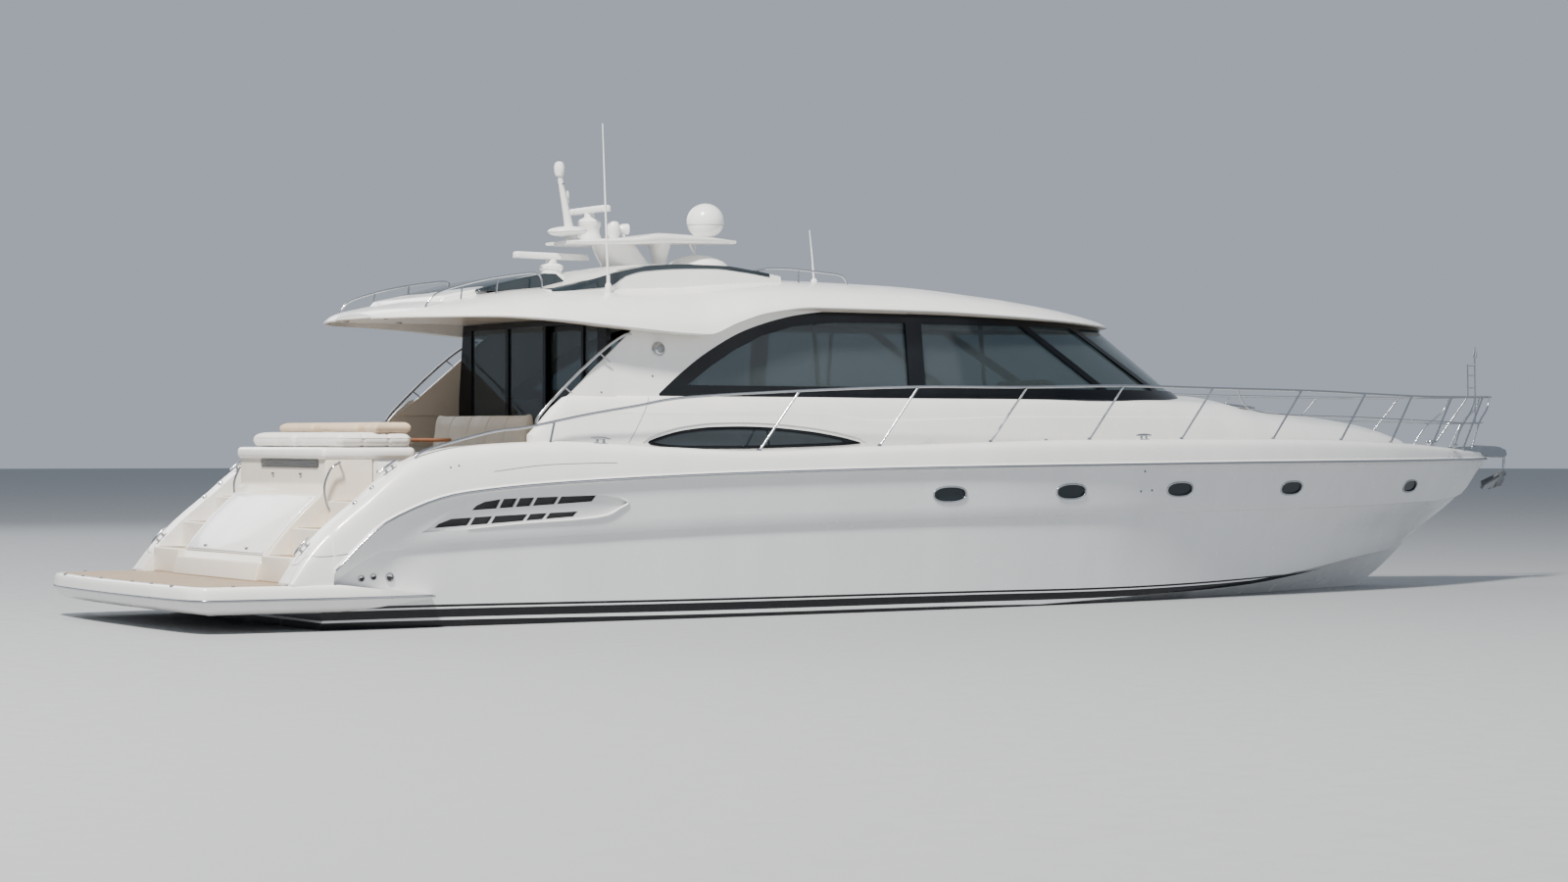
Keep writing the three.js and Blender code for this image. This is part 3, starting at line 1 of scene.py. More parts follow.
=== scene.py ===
"""Looks of a 20.7 m hardtop motor yacht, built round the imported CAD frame.

Metres, with +X to the bow, +Y to port and +Z up. The origin is on the centreline at the foot of the
transom, in the plane of the water. Tables taken over from the part's source are in millimetres.
"""

from __future__ import annotations

import json
import logging
import math
import sys
from dataclasses import dataclass, field
from enum import Enum
from typing import Callable, Iterable, Sequence

import bmesh
import bpy
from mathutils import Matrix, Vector

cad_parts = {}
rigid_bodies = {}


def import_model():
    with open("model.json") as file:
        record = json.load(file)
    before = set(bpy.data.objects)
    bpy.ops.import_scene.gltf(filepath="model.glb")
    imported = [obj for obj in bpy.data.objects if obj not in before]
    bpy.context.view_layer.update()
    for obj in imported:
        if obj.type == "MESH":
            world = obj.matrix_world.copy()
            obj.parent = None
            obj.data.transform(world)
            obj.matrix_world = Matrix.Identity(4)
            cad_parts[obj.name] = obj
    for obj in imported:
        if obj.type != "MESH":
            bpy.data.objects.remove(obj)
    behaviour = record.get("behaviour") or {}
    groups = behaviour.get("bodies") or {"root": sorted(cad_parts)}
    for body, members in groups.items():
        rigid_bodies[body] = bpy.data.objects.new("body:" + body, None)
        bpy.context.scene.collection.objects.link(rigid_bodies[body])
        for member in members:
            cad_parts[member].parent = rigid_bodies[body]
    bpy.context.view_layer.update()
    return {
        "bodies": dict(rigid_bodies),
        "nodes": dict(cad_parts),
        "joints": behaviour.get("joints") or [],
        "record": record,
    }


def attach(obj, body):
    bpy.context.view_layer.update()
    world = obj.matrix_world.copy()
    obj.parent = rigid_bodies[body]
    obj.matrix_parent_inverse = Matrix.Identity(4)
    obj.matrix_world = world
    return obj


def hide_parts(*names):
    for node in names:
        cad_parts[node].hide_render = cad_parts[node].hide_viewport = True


LOG = logging.getLogger("yacht")
MM = 0.001
Object = bpy.types.Object
Material = bpy.types.Material
Point = Sequence[float]
Ring = list[Point]
SIDES = {"port": 1.0, "stbd": -1.0}


# Lines of the boat
class SmoothLine:
    """A curve through points that never overshoots them, as in the part's source."""

    def __init__(self, xs: Sequence[float], ys: Sequence[float]) -> None:
        """Keeps the points and works out the slope at each.

        Args:
            xs: Places along the line, rising.
            ys: The value at each place.
        """
        self.xs, self.ys = list(xs), list(ys)
        slopes = [(b - a) / (q - p) for p, q, a, b in zip(xs, xs[1:], ys, ys[1:])]
        inner = [0.0 if a * b <= 0 else 2 * a * b / (a + b) for a, b in zip(slopes, slopes[1:])]
        self.tangents = [slopes[0], *inner, slopes[-1]]

    def __call__(self, x: float) -> float:
        """Reads the curve.

        Args:
            x: A place along the line.

        Returns:
            The value there, or the nearest end's value outside the line.
        """
        if x <= self.xs[0]:
            return self.ys[0]
        if x >= self.xs[-1]:
            return self.ys[-1]
        i = max(k for k, start in enumerate(self.xs) if start < x)
        span = self.xs[i + 1] - self.xs[i]
        t = (x - self.xs[i]) / span
        u = 1 - t
        return (self.ys[i] * (1 + 2 * t) * u * u + self.ys[i + 1] * t * t * (3 - 2 * t)
            + self.tangents[i] * span * t * u * u - self.tangents[i + 1] * span * t * t * u)


class Lines:
    """A table of smooth lines by column name, given in millimetres and read in metres."""

    def __init__(self, columns: str, rows: Sequence[Sequence[float]]) -> None:
        """Makes one smooth line of each column.

        Args:
            columns: Names of the columns after the first, which is the place along the boat.
            rows: The table's rows, in millimetres.
        """
        xs = [row[0] * MM for row in rows]
        names = columns.split()
        self.lines = {n: SmoothLine(xs, [row[k + 1] * MM for row in rows]) for k, n in enumerate(names)}

    def at(self, x: float) -> dict[str, float]:
        """Returns every column's value at a place x along the boat."""
        return {name: line(x) for name, line in self.lines.items()}


HULL = Lines("keel_z chine_y chine_z knee_y knee_z rail_y rail_z",
    [[0, -760, 2180, -60, 2330, 470, 2420, 600], [700, -790, 2200, -62, 2350, 860, 2440, 1190],
    [1550, -820, 2220, -65, 2375, 925, 2462, 1468], [3000, -880, 2250, -65, 2410, 985, 2500, 1588],
    [5200, -950, 2270, -55, 2440, 1060, 2535, 1672], [8000, -1000, 2240, -20, 2430, 1110, 2530, 1722],
    [10500, -985, 2080, 50, 2300, 1135, 2440, 1742], [12500, -890, 1760, 135, 2040, 1145, 2245, 1756],
    [14500, -660, 1240, 275, 1610, 1150, 1900, 1762], [16000, -300, 730, 430, 1160, 1165, 1480, 1764],
    [17000, 180, 330, 520, 790, 1180, 1080, 1766], [17800, 760, 60, 800, 460, 1195, 720, 1768],
    [18500, 1180, 44, 1205, 130, 1240, 360, 1770], [19110, 1700, 34, 1715, 38, 1730, 42, 1772]])
DECK = Lines("z inboard", [[-430, 530, 60], [-250, 790, 110], [0, 1050, 130], [200, 1220, 140],
    [460, 1420, 150], [800, 1700, 170], [1130, 1880, 180], [1640, 1985, 190], [2800, 2040, 190],
    [4000, 1980, 150], [5400, 1930, 130], [7100, 1980, 130], [10300, 2055, 130], [13600, 2065, 130],
    [16300, 2010, 125], [18100, 1925, 90], [19110, 1860, 20]])
TRUNK = Lines("foot_y top_y top_z crown_z",
    [[2560, 2200, 2150, 2110, 2110], [3100, 2245, 2040, 2560, 2560], [4200, 2240, 2000, 2560, 2560],
    [6200, 2170, 1955, 2560, 2560], [8200, 2100, 1915, 2560, 2560], [10000, 2020, 1870, 2560, 2560],
    [11300, 1930, 1700, 2560, 2600], [12500, 1790, 1400, 2560, 2640], [13250, 1670, 1150, 2545, 2650],
    [13900, 1540, 980, 2440, 2520], [15300, 1160, 680, 2320, 2405], [16600, 700, 380, 2190, 2255],
    [17300, 400, 160, 2060, 2090]])
ROOF = Lines("half edge_z under_z crown_z", [[1350, 560, 3440, 3455, 3510], [1480, 1150, 3435, 3465, 3560],
    [1750, 1650, 3430, 3475, 3620], [2150, 1980, 3430, 3480, 3700], [2900, 2140, 3400, 3480, 3830],
    [3800, 2185, 3325, 3480, 3920], [4860, 2180, 3262, 3520, 3980], [5250, 2150, 3400, 3560, 3995],
    [5700, 2110, 3530, 3580, 4010], [6400, 2060, 3610, 3585, 4028], [8100, 2000, 3605, 3585, 4000],
    [9400, 1900, 3570, 3560, 3900], [10400, 1660, 3535, 3535, 3790], [11200, 1230, 3510, 3515, 3675],
    [11700, 780, 3500, 3508, 3600], [11950, 330, 3500, 3504, 3545]])
KNUCKLE = 0.034
SOLE = 1.38
ON_SOLE = SOLE + 0.0004
SILL = 2.56
HOUSE_TOP = 3.62
BOW = 19.11


def spaced(start: float, end: float, step: float) -> list[float]:
    """Returns places from start to end, both included, about step apart."""
    count = max(1, round((end - start) / step))
    return [start + (end - start) * i / count for i in range(count + 1)]


def turns(count: int) -> list[float]:
    """Returns the angles of so many equal steps round a circle."""
    return [2 * math.pi * k / count for k in range(count)]


def on_side(side: float, path: Iterable[Point]) -> Ring:
    """Returns a path that is given on the port side, on the side wanted."""
    return [(x, side * y, z) for x, y, z in path]


def fair(points: Sequence[Point], steps: int) -> Ring:
    """Runs a smooth line through points.

    Args:
        points: The points it passes, in two or three coordinates.
        steps: How many pieces each span is divided into.

    Returns:
        The points of the smooth line, first and last included.
    """
    padded = [points[0], *points, points[-1]]
    line: Ring = []
    for a, b, c, d in zip(padded, padded[1:], padded[2:], padded[3:]):
        for i in range(steps):
            t = i / steps
            line.append(tuple(0.5 * (2 * q + (r - p) * t + (2 * p - 5 * q + 4 * r - s) * t**2
                + (3 * q - p - 3 * r + s) * t**3) for p, q, r, s in zip(a, b, c, d)))
    return [*line, tuple(points[-1])]


def both_sides(half: Sequence[Point], x: float) -> Ring:
    """Mirrors one side's section.

    Args:
        half: The port side's (y, z) points.
        x: The section's place along the boat.

    Returns:
        The full ring, first port and then starboard, with points on the centreline only once.
    """
    return [(x, y, z) for y, z in half] + [(x, -y, z) for y, z in reversed(half) if y]


def hull_half(x: float) -> Ring:
    """Returns the hull's section at x from rail to keel, as (y, z) on the port side.

    Args:
        x: A place along the boat.

    Returns:
        The section's points.
    """
    s = HULL.at(x)
    flare = max(0.0, (x - 10) / 9) * 0.09 * min(1.0, s["rail_y"] / 1.5)
    low_knee = max(s["knee_y"] - KNUCKLE, 0.034)
    middle = (max((s["chine_y"] + s["knee_y"] - KNUCKLE) / 2 - flare, 0.032),
        (s["chine_z"] + s["knee_z"]) / 2)
    flat = min(0.11, s["chine_y"] * 0.4)
    topside = [(s["rail_y"] + (s["knee_y"] - s["rail_y"]) * t, s["rail_z"]
        + (s["knee_z"] - s["rail_z"]) * t) for t in (0, 0.25, 0.5, 0.75)]
    side = fair([(low_knee, s["knee_z"] - 0.012), middle, (s["chine_y"], s["chine_z"])], 4)
    inner = (s["chine_y"] - flat, s["chine_z"] - 0.014)
    bottom = [(inner[0] + (0.028 - inner[0]) * t, inner[1] + (s["keel_z"] - inner[1]) * t)
        for t in (0, 0.35, 0.7, 1)]
    return [*topside, (s["knee_y"], s["knee_z"] + 0.006), (s["knee_y"] - 0.006, s["knee_z"] - 0.004),
        *side, *bottom]


def hull_side(x: float, z: float) -> float:
    """Returns the hull's half breadth at x and height z, above the chine.

    Args:
        x: A place along the boat.
        z: A height over the water.

    Returns:
        The half breadth.
    """
    half = hull_half(x)
    for (y0, z0), (y1, z1) in zip(half, half[1:]):
        if z1 <= z <= z0:
            return y0 + (y1 - y0) * ((z0 - z) / max(z0 - z1, 1e-6))
    return half[0][0]


def walk_drop(x: float) -> float:
    """Returns how far the side deck lies below the deck moulding's outer lip at x."""
    return MM * (4 + 76 * min(1, max(0, (x - 2.6) / 0.9)) * min(1, max(0, (18.3 - x) / 0.9)))


def house_lines(z: float) -> tuple[float, float, float, float]:
    """Returns the cabin's half breadth aft and forward, and its nose's start and reach, at height z."""
    lean = (z - SILL) / (HOUSE_TOP - SILL)
    return 2.04 - 0.135 * lean, 1.87 - 0.1 * lean, 10.0 - 1.5 * lean, 3.25 - 0.07 * lean


def house_half(x: float, z: float) -> float:
    """Returns the outer half breadth of the cabin wall at x and height z.

    Args:
        x: A place along the boat.
        z: A height over the water.

    Returns:
        The half breadth.
    """
    aft, side, nose, reach = house_lines(z)
    if x < nose:
        return aft + (side - aft) * (x - 2.4) / (nose - 2.4)
    t = min(1.0, (x - nose) / reach)
    return side * math.sqrt(1 - t * t)


# Hand tools
def deselect() -> None:
    """Leaves object mode and deselects everything."""
    if bpy.context.object and bpy.context.object.mode != "OBJECT":
        bpy.ops.object.mode_set(mode="OBJECT")
    bpy.ops.object.select_all(action="DESELECT")


def pick(piece: Object) -> None:
    """Makes a piece the only selected and active object.

    Args:
        piece: The piece to work on.
    """
    deselect()
    piece.select_set(True)
    bpy.context.view_layer.objects.active = piece


def named(name: str) -> Object:
    """Returns the object just added, with its name set.

    Args:
        name: The piece's name.

    Returns:
        The object.
    """
    piece = bpy.context.object
    piece.name = piece.data.name = name
    return piece


def lay_ring(piece: Object, ring: Ring, row: int) -> None:
    """Puts the selected ring of points in its place.

    Args:
        piece: The piece being shaped, in edit mode.
        ring: Where each point goes, by its number round the ring.
        row: The ring's number along the piece.
    """
    mesh = bmesh.from_edit_mesh(piece.data)
    turn, rows = mesh.verts.layers.int["turn"], mesh.verts.layers.int["row"]
    for vertex in mesh.verts:
        if vertex.select:
            vertex.co = ring[vertex[turn]]
            vertex[rows] = row
    bmesh.update_edit_mesh(piece.data)


def select_points(piece: Object, wanted: Callable[[bmesh.types.BMVert, dict], bool]) -> None:
    """Selects the points of a piece in edit mode that a rule wants.

    Args:
        piece: The piece being shaped, in edit mode.
        wanted: Says of a point and its row and turn numbers whether it is selected.
    """
    bpy.ops.mesh.select_all(action="DESELECT")
    bpy.ops.mesh.select_mode(type="VERT")
    mesh = bmesh.from_edit_mesh(piece.data)
    turn, rows = mesh.verts.layers.int.get("turn"), mesh.verts.layers.int.get("row")
    for vertex in mesh.verts:
        numbers = {"turn": vertex[turn], "row": vertex[rows]} if turn else {}
        vertex.select = wanted(vertex, numbers)
    mesh.select_flush_mode()
    bmesh.update_edit_mesh(piece.data)


def skin(name: str, rings: Sequence[Ring], closed: bool = True, ends: bool = True,
        looped: bool = False) -> Object:
    """Extrudes a ring of points from station to station along a piece.

    Args:
        name: The piece's name.
        rings: The stations, all with the same number of points.
        closed: Whether each ring closes on itself.
        ends: Whether the first and last ring are filled.
        looped: Whether the last ring runs on into the first.

    Returns:
        The piece, in object mode, with its normals outwards.
    """
    deselect()
    bpy.ops.mesh.primitive_circle_add(vertices=len(rings[0]), radius=1.0)
    piece = named(name)
    bpy.ops.object.mode_set(mode="EDIT")
    bpy.ops.mesh.select_all(action="SELECT")
    mesh = bmesh.from_edit_mesh(piece.data)
    turn = mesh.verts.layers.int.new("turn")
    mesh.verts.layers.int.new("row")
    for k, vertex in enumerate(mesh.verts):
        vertex[turn] = k
    if not closed:
        mesh.verts.ensure_lookup_table()
        seam = mesh.edges.get((mesh.verts[0], mesh.verts[-1]))
        mesh.edges.remove(seam)
    bmesh.update_edit_mesh(piece.data)
    lay_ring(piece, rings[0], 0)
    run = [*rings[1:], rings[0]] if looped else rings[1:]
    for row, ring in enumerate(run):
        bpy.ops.mesh.extrude_region_move()
        lay_ring(piece, ring, row + 1)
    if ends and not looped:
        bpy.ops.mesh.edge_face_add()
        select_points(piece, lambda vertex, numbers: numbers["row"] == 0)
        bpy.ops.mesh.edge_face_add()
    finish_shape(piece)
    return piece


def finish_shape(piece: Object, join: float = 1e-5) -> None:
    """Merges doubled points, turns the normals outwards and goes back to object mode.

    Args:
        piece: The piece.
        join: How near to each other points are merged.
    """
    if piece.mode != "EDIT":
        pick(piece)
        bpy.ops.object.mode_set(mode="EDIT")
    bpy.ops.mesh.select_all(action="SELECT")
    bpy.ops.mesh.remove_doubles(threshold=join)
    bpy.ops.mesh.normals_make_consistent(inside=False)
    bpy.ops.object.mode_set(mode="OBJECT")


def apply(piece: Object, kind: str, **settings: object) -> Object:
    """Adds a modifier with its settings, applies it and returns the piece.

    Args:
        piece: The piece.
        kind: The modifier's type.
        settings: Values of its properties.

    Returns:
        The piece.
    """
    pick(piece)
    modifier = piece.modifiers.new(kind.lower(), kind)
    for name, value in settings.items():
        setattr(modifier, name, value)
    bpy.ops.object.modifier_apply(modifier=modifier.name)
    return piece


def soften(piece: Object, width: float, segments: int = 3, angle: float = 30) -> Object:
    """Rounds the edges of a piece that turn by more than an angle in degrees."""
    return apply(piece, "BEVEL", width=width, segments=segments, limit_method="ANGLE",
        angle_limit=math.radians(angle), use_clamp_overlap=True)


def smooth(piece: Object, angle: float = 32) -> Object:
    """Shades a piece smooth where its faces meet at less than an angle in degrees.

    Args:
        piece: The piece.
        angle: The largest angle that looks round.

    Returns:
        The piece.
    """
    pick(piece)
    bpy.ops.object.shade_smooth_by_angle(angle=math.radians(angle))
    return piece


def carve(piece: Object, tools: Iterable[Object], operation: str = "DIFFERENCE") -> Object:
    """Cuts a piece with other pieces, which are used up.

    Args:
        piece: The piece that is cut.
        tools: The cutting pieces.
        operation: DIFFERENCE takes them away, INTERSECT keeps what they share, UNION joins them.

    Returns:
        The piece.
    """
    for tool in tools:
        apply(piece, "BOOLEAN", operation=operation, object=tool, solver="EXACT")
        bpy.data.objects.remove(tool)
    return piece


def block(name: str, low: Point, high: Point, edge: float = 0.0, segments: int = 3) -> Object:
    """Makes a box between two corners with rounded edges.

    Args:
        name: The piece's name.
        low: Its lowest corner.
        high: Its highest corner.
        edge: The radius its edges are rounded to.
        segments: How many faces round each edge.

    Returns:
        The box.
    """
    deselect()
    centre = [(a + b) / 2 for a, b in zip(low, high)]
    bpy.ops.mesh.primitive_cube_add(size=1, location=centre, scale=[b - a for a, b in zip(low, high)])
    bpy.ops.object.transform_apply(location=True, rotation=True, scale=True)
    piece = named(name)
    return soften(piece, edge, segments) if edge else piece


class Plane(Enum):
    """The plane an outline is drawn in, and the axis it is extruded along."""

    XY = "z"
    XZ = "y"
    YZ = "x"

    def lift(self, point: Sequence[float], height: float) -> Point:
        """Returns an outline point's place at a height along the plane's own axis."""
        a, b = point
        return {"z": (a, b, height), "y": (a, height, b), "x": (height, a, b)}[self.value]


def slab(name: str, outline: Sequence[Point], start: float, end: float, plane: Plane = Plane.XY,
        edge: float = 0.0, segments: int = 3) -> Object:
    """Extrudes a flat outline between two heights and rounds its edges.

    Args:
        name: The piece's name.
        outline: The outline, as points in a plane.
        start: The first height along the plane's own axis.
        end: The second height.
        plane: The plane the outline lies in.
        edge: The radius its edges are rounded to.
        segments: How many faces round each edge.

    Returns:
        The solid.
    """
    rings = [[plane.lift(p, height) for p in outline] for height in (start, end)]
    piece = skin(name, rings)
    return soften(piece, edge, segments) if edge else piece


def side_cut(name: str, outline: Sequence[Point], low: float = -3, high: float = 3) -> Object:
    """Makes a tool that cuts through the boat from side to side, from its outline as (x, z)."""
    return slab(name, outline, low, high, Plane.XZ)


def turned(name: str, profile: Sequence[Point], centre: Point, axis: Point = (0, 0, 1),
        sides: int = 40) -> Object:
    """Turns a profile of (radius, height) points about an axis through a centre.

    Args:
        name: The piece's name.
        profile: The (radius, height) points.
        centre: Where the axis starts.
        axis: The way the axis points.
        sides: How many faces round it.

    Returns:
        The turned piece.
    """
    along = Vector(axis).normalized()
    across = along.orthogonal().normalized()
    third = along.cross(across)
    rings = []
    for radius, height in profile:
        middle = Vector(centre) + along * height
        rings.append([tuple(middle + (across * math.cos(a) + third * math.sin(a)) * radius)
            for a in turns(sides)])
    return skin(name, rings)


def pipe(name: str, path: Sequence[Point], radius: float | Sequence[float], looped: bool = False,
        detail: int = 3) -> Object:
    """Bends a round bar along a path.

    Args:
        name: The piece's name.
        path: The points it runs through.
        radius: Its radius, or one for each point.
        looped: Whether it closes on itself.
        detail: How round its section is.

    Returns:
        The bar, as a mesh.
    """
    deselect()
    bpy.ops.curve.primitive_bezier_curve_add(location=(0, 0, 0))
    piece = named(name)
    curve = piece.data
    curve.splines.clear()
    spline = curve.splines.new("POLY")
    spline.points.add(len(path) - 1)
    radii = list(radius) if isinstance(radius, (list, tuple)) else [radius] * len(path)
    for point, place, size in zip(spline.points, path, radii):
        point.co = (*place, 1.0)
        point.radius = size
    spline.use_cyclic_u = looped
    curve.dimensions = "3D"
    curve.bevel_depth = 1.0
    curve.bevel_resolution = detail
    curve.use_fill_caps = not looped
    bpy.ops.object.convert(target="MESH")
    piece = named(name)
    finish_shape(piece)
    return smooth(piece, 40)


def copied(piece: Object, name: str, move: Point = (0, 0, 0), scale: Point = (1, 1, 1), turn: float = 0.0,
        tilt: float = 0.0, centre: Point = (0, 0, 0)) -> Object:
    """Copies a piece with its own mesh, scaled and turned about a centre, and then moved.

    Args:
        piece: The piece to copy.
        name: The copy's name.
        move: How far the copy is moved.
        scale: Its scale; one negative number mirrors it.
        turn: Its turn about the upright axis, in degrees.
        tilt: How far its fore end is lifted, in degrees.
        centre: The point it is scaled and turned about.

    Returns:
        The copy.
    """
    pick(piece)
    bpy.ops.object.duplicate()
    copy = named(name)
    bpy.ops.object.mode_set(mode="EDIT")
    bpy.ops.mesh.select_all(action="SELECT")
    bpy.ops.transform.resize(value=scale, center_override=centre)
    for angle, axis in ((turn, "Z"), (-tilt, "Y")):
        if angle:
            bpy.ops.transform.rotate(value=math.radians(-angle), orient_axis=axis, center_override=centre)
    bpy.ops.transform.translate(value=move)
    if scale[0] * scale[1] * scale[2] < 0:
        bpy.ops.mesh.flip_normals()
    bpy.ops.object.mode_set(mode="OBJECT")
    return copy


def joined(name: str, pieces: Sequence[Object]) -> Object:
    """Joins pieces into one object.

    Args:
        name: The whole's name.
        pieces: The pieces, which are used up.

    Returns:
        The one object.
    """
    deselect()
    for piece in pieces:
        piece.select_set(True)
    bpy.context.view_layer.objects.active = pieces[0]
    bpy.ops.object.join()
    return named(name)


def dress(piece: Object, *finishes: Finish,
        rule: Callable[[bpy.types.MeshPolygon], int] | None = None) -> Object:
    """Gives a piece its finishes.

    Args:
        piece: The piece.
        finishes: Its finishes, whose materials are made at their first use.
        rule: Returns the number of a face's finish; without it, all faces take the first.

    Returns:
        The piece.
    """
    piece.data.materials.clear()
    for finish in finishes:
        piece.data.materials.append(bpy.data.materials.get(finish.name) or finish.made())
    for face in piece.data.polygons:
        face.material_index = rule(face) if rule else 0
    return piece


def fit(piece: Object, finish: Finish | None, *nodes: str, body: str = "yacht") -> Object:
    """Dresses a finished piece, puts it on its body and hides the CAD nodes it stands for.

    Args:
        piece: The piece.
        finish: Its finish, or None where it is dressed already.
        nodes: The CAD nodes it stands for.
        body: The body it rides on.

    Returns:
        The piece.
    """
    if finish:
        dress(piece, finish)
    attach(piece, body)
    if nodes:
        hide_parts(*nodes)
    LOG.info("%s: %d faces on %s%s", piece.name, len(piece.data.polygons), body,
        f", for {', '.join(nodes)}" if nodes else "")
    return piece


class Paintwork:
    """A procedural material while it is put together."""

    def __init__(self, name: str) -> None:
        """Starts a material with a shader and the piece's own coordinates.

        Args:
            name: The material's name.
        """
        self.material = bpy.data.materials.new(name)
        self.material.use_nodes = True
        self.tree = self.material.node_tree
        self.tree.nodes.clear()
        self.shader = self.node("ShaderNodeBsdfPrincipled")
        out = self.node("ShaderNodeOutputMaterial")
        self.link(self.shader, "BSDF", out, "Surface")
        self.place = self.node("ShaderNodeTexCoord")

    def node(self, kind: str, settings: dict | None = None, **inputs: object) -> bpy.types.Node:
        """Adds a node.

        Args:
            kind: The node's type.
            settings: Values of its properties.
            inputs: Values of its sockets, with underscores for spaces.

        Returns:
            The node.
        """
        made = self.tree.nodes.new(kind)
        for name, value in (settings or {}).items():
            setattr(made, name, value)
        for name, value in inputs.items():
            made.inputs[name.replace("_", " ")].default_value = value
        return made

    def link(self, source: bpy.types.Node, output: str | int, target: bpy.types.Node,
            socket: str | int) -> None:
        """Joins an output to an input."""
        self.tree.links.new(source.outputs[output], target.inputs[socket])

    def set(self, **values: object) -> None:
        """Sets the shader's own sockets, with underscores for spaces."""
        for name, value in values.items():
            self.shader.inputs[name.replace("_", " ")].default_value = value

    def scaled(self, scale: Point, turn: Point = (0, 0, 0)) -> bpy.types.Node:
        """Returns the piece's coordinates, scaled and turned.

        Args:
            scale: The scale along each axis.
            turn: The turn about each axis, in degrees.

        Returns:
            The node, whose output is a vector.
        """
        mapping = self.node("ShaderNodeMapping", Scale=scale, Rotation=[math.radians(t) for t in turn])
        self.link(self.place, "Object", mapping, "Vector")
        return mapping

    def noise(self, scale: float, detail: float = 3, stretch: Point = (1, 1, 1)) -> bpy.types.Node:
        """Returns a cloudy pattern of so many cells a metre, stretched along the axes.

        Args:
            scale: Cells a metre.
            detail: How many finer layers it has.
            stretch: The scale along each axis.

        Returns:
            The pattern's node.
        """
        pattern = self.node("ShaderNodeTexNoise", Scale=scale, Detail=detail)
        self.link(self.scaled(stretch), "Vector", pattern, "Vector")
        return pattern

    def span(self, source: bpy.types.Node, output: str | int, low: float, high: float, start: float = 0.3,
            end: float = 0.7) -> bpy.types.Node:
        """Returns a pattern's value, stretched from start..end to low..high.

        Args:
            source: The pattern.
            output: The output that is read.
            low: The lowest result.
            high: The highest result.
            start: The value that gives the lowest.
            end: The value that gives the highest.

        Returns:
            The node.
        """
        ramp = self.node("ShaderNodeMapRange", From_Min=start, From_Max=end, To_Min=low, To_Max=high)
        self.link(source, output, ramp, "Value")
        return ramp

    def blend(self, pattern: bpy.types.Node, output: str | int, first: Point,
            second: Point) -> bpy.types.Node:
        """Returns a colour between two, by a pattern.

        Args:
            pattern: The pattern.
            output: The output that is read.
            first: The colour at 0.
            second: The colour at 1.

        Returns:
            The mixing node.
        """
        mix = self.node("ShaderNodeMix", {"data_type": "RGBA"})
        mix.inputs[6].default_value = (*first, 1)
        mix.inputs[7].default_value = (*second, 1)
        self.link(pattern, output, mix, 0)
        return mix

    def bump(self, pattern: bpy.types.Node, output: str | int, height: float,
            under: bpy.types.Node | None = None) -> bpy.types.Node:
        """Returns a bump so many metres high, over another where there is one, and puts it on the shader.

        Args:
            pattern: The pattern.
            output: The output that is read.
            height: Its height.
            under: The bump it lies on.

        Returns:
            The bump's node.
        """
        made = self.node("ShaderNodeBump", Strength=1.0, Distance=height)
        self.link(pattern, output, made, "Height")
        if under:
            self.link(under, "Normal", made, "Normal")
        self.link(made, "Normal", self.shader, "Normal")
        return made

    def cloudy(self, cloud: bpy.types.Node, colour: Point, dark: float, low: float, high: float) -> None:
        """Clouds the colour towards a darker one, and the roughness between two values, by one pattern."""
        self.link(self.blend(cloud, "Fac", colour, shade(colour, dark)), 2, self.shader, "Base Color")
        self.link(self.span(cloud, "Fac", low, high), "Result", self.shader, "Roughness")


def shade(colour: Point, by: float) -> Point:
    """Returns a colour made lighter or darker."""
    return tuple(min(1.0, c * by) for c in colour)


@dataclass(frozen=True)
class Finish:
    """A finish by its name and colour, whose material is made when a piece first takes it."""

    name: str
    colour: Point

    def made(self) -> Material:
        """Returns the material, which each kind of finish makes in its own way."""
        return Paintwork(self.name).material


@dataclass(frozen=True)
class Gelcoat(Finish):
    """Polished moulding: a faint cloud of colour, orange peel and dust, under a clear gloss."""

    colour: Point = (0.87, 0.865, 0.845)
    gloss: float = 0.2
    streak: float = 0.94
    fine: float = 0.00004
    coat: float = 0.35
    shine: float = 0.5

    def start(self) -> Paintwork:
        """Returns the paintwork with gloss and bump, and its colour still open.

        Returns:
            The paintwork.
        """
        work = Paintwork(self.name)
        work.set(Coat_Weight=self.coat, Coat_Roughness=0.05, Specular_IOR_Level=self.shine)
        dull = work.span(work.noise(3.1, 5), "Fac", self.gloss * 0.75, self.gloss * 1.5)
        work.link(dull, "Result", work.shader, "Roughness")
        peel = work.bump(work.noise(55, 2), "Fac", self.fine)
        work.bump(work.noise(1.4, 2), "Fac", 0.0018, peel)
        return work

    def runs(self, work: Paintwork, scale: float, stretch: Point) -> bpy.types.Node:
        """Returns the colour with the faint runs that rain leaves."""
        cloud = work.span(work.noise(scale, 6, stretch), "Fac", 0, 1, 0.35, 0.75)
        return work.blend(cloud, "Result", self.colour, shade(self.colour, self.streak))

    def made(self) -> Material:
        """Returns the finished material.

        Returns:
            The material.
        """
        work = self.start()
        work.link(self.runs(work, 1.0, (2.5, 2.5, 0.55)), 2, work.shader, "Base Color")
        return work.material


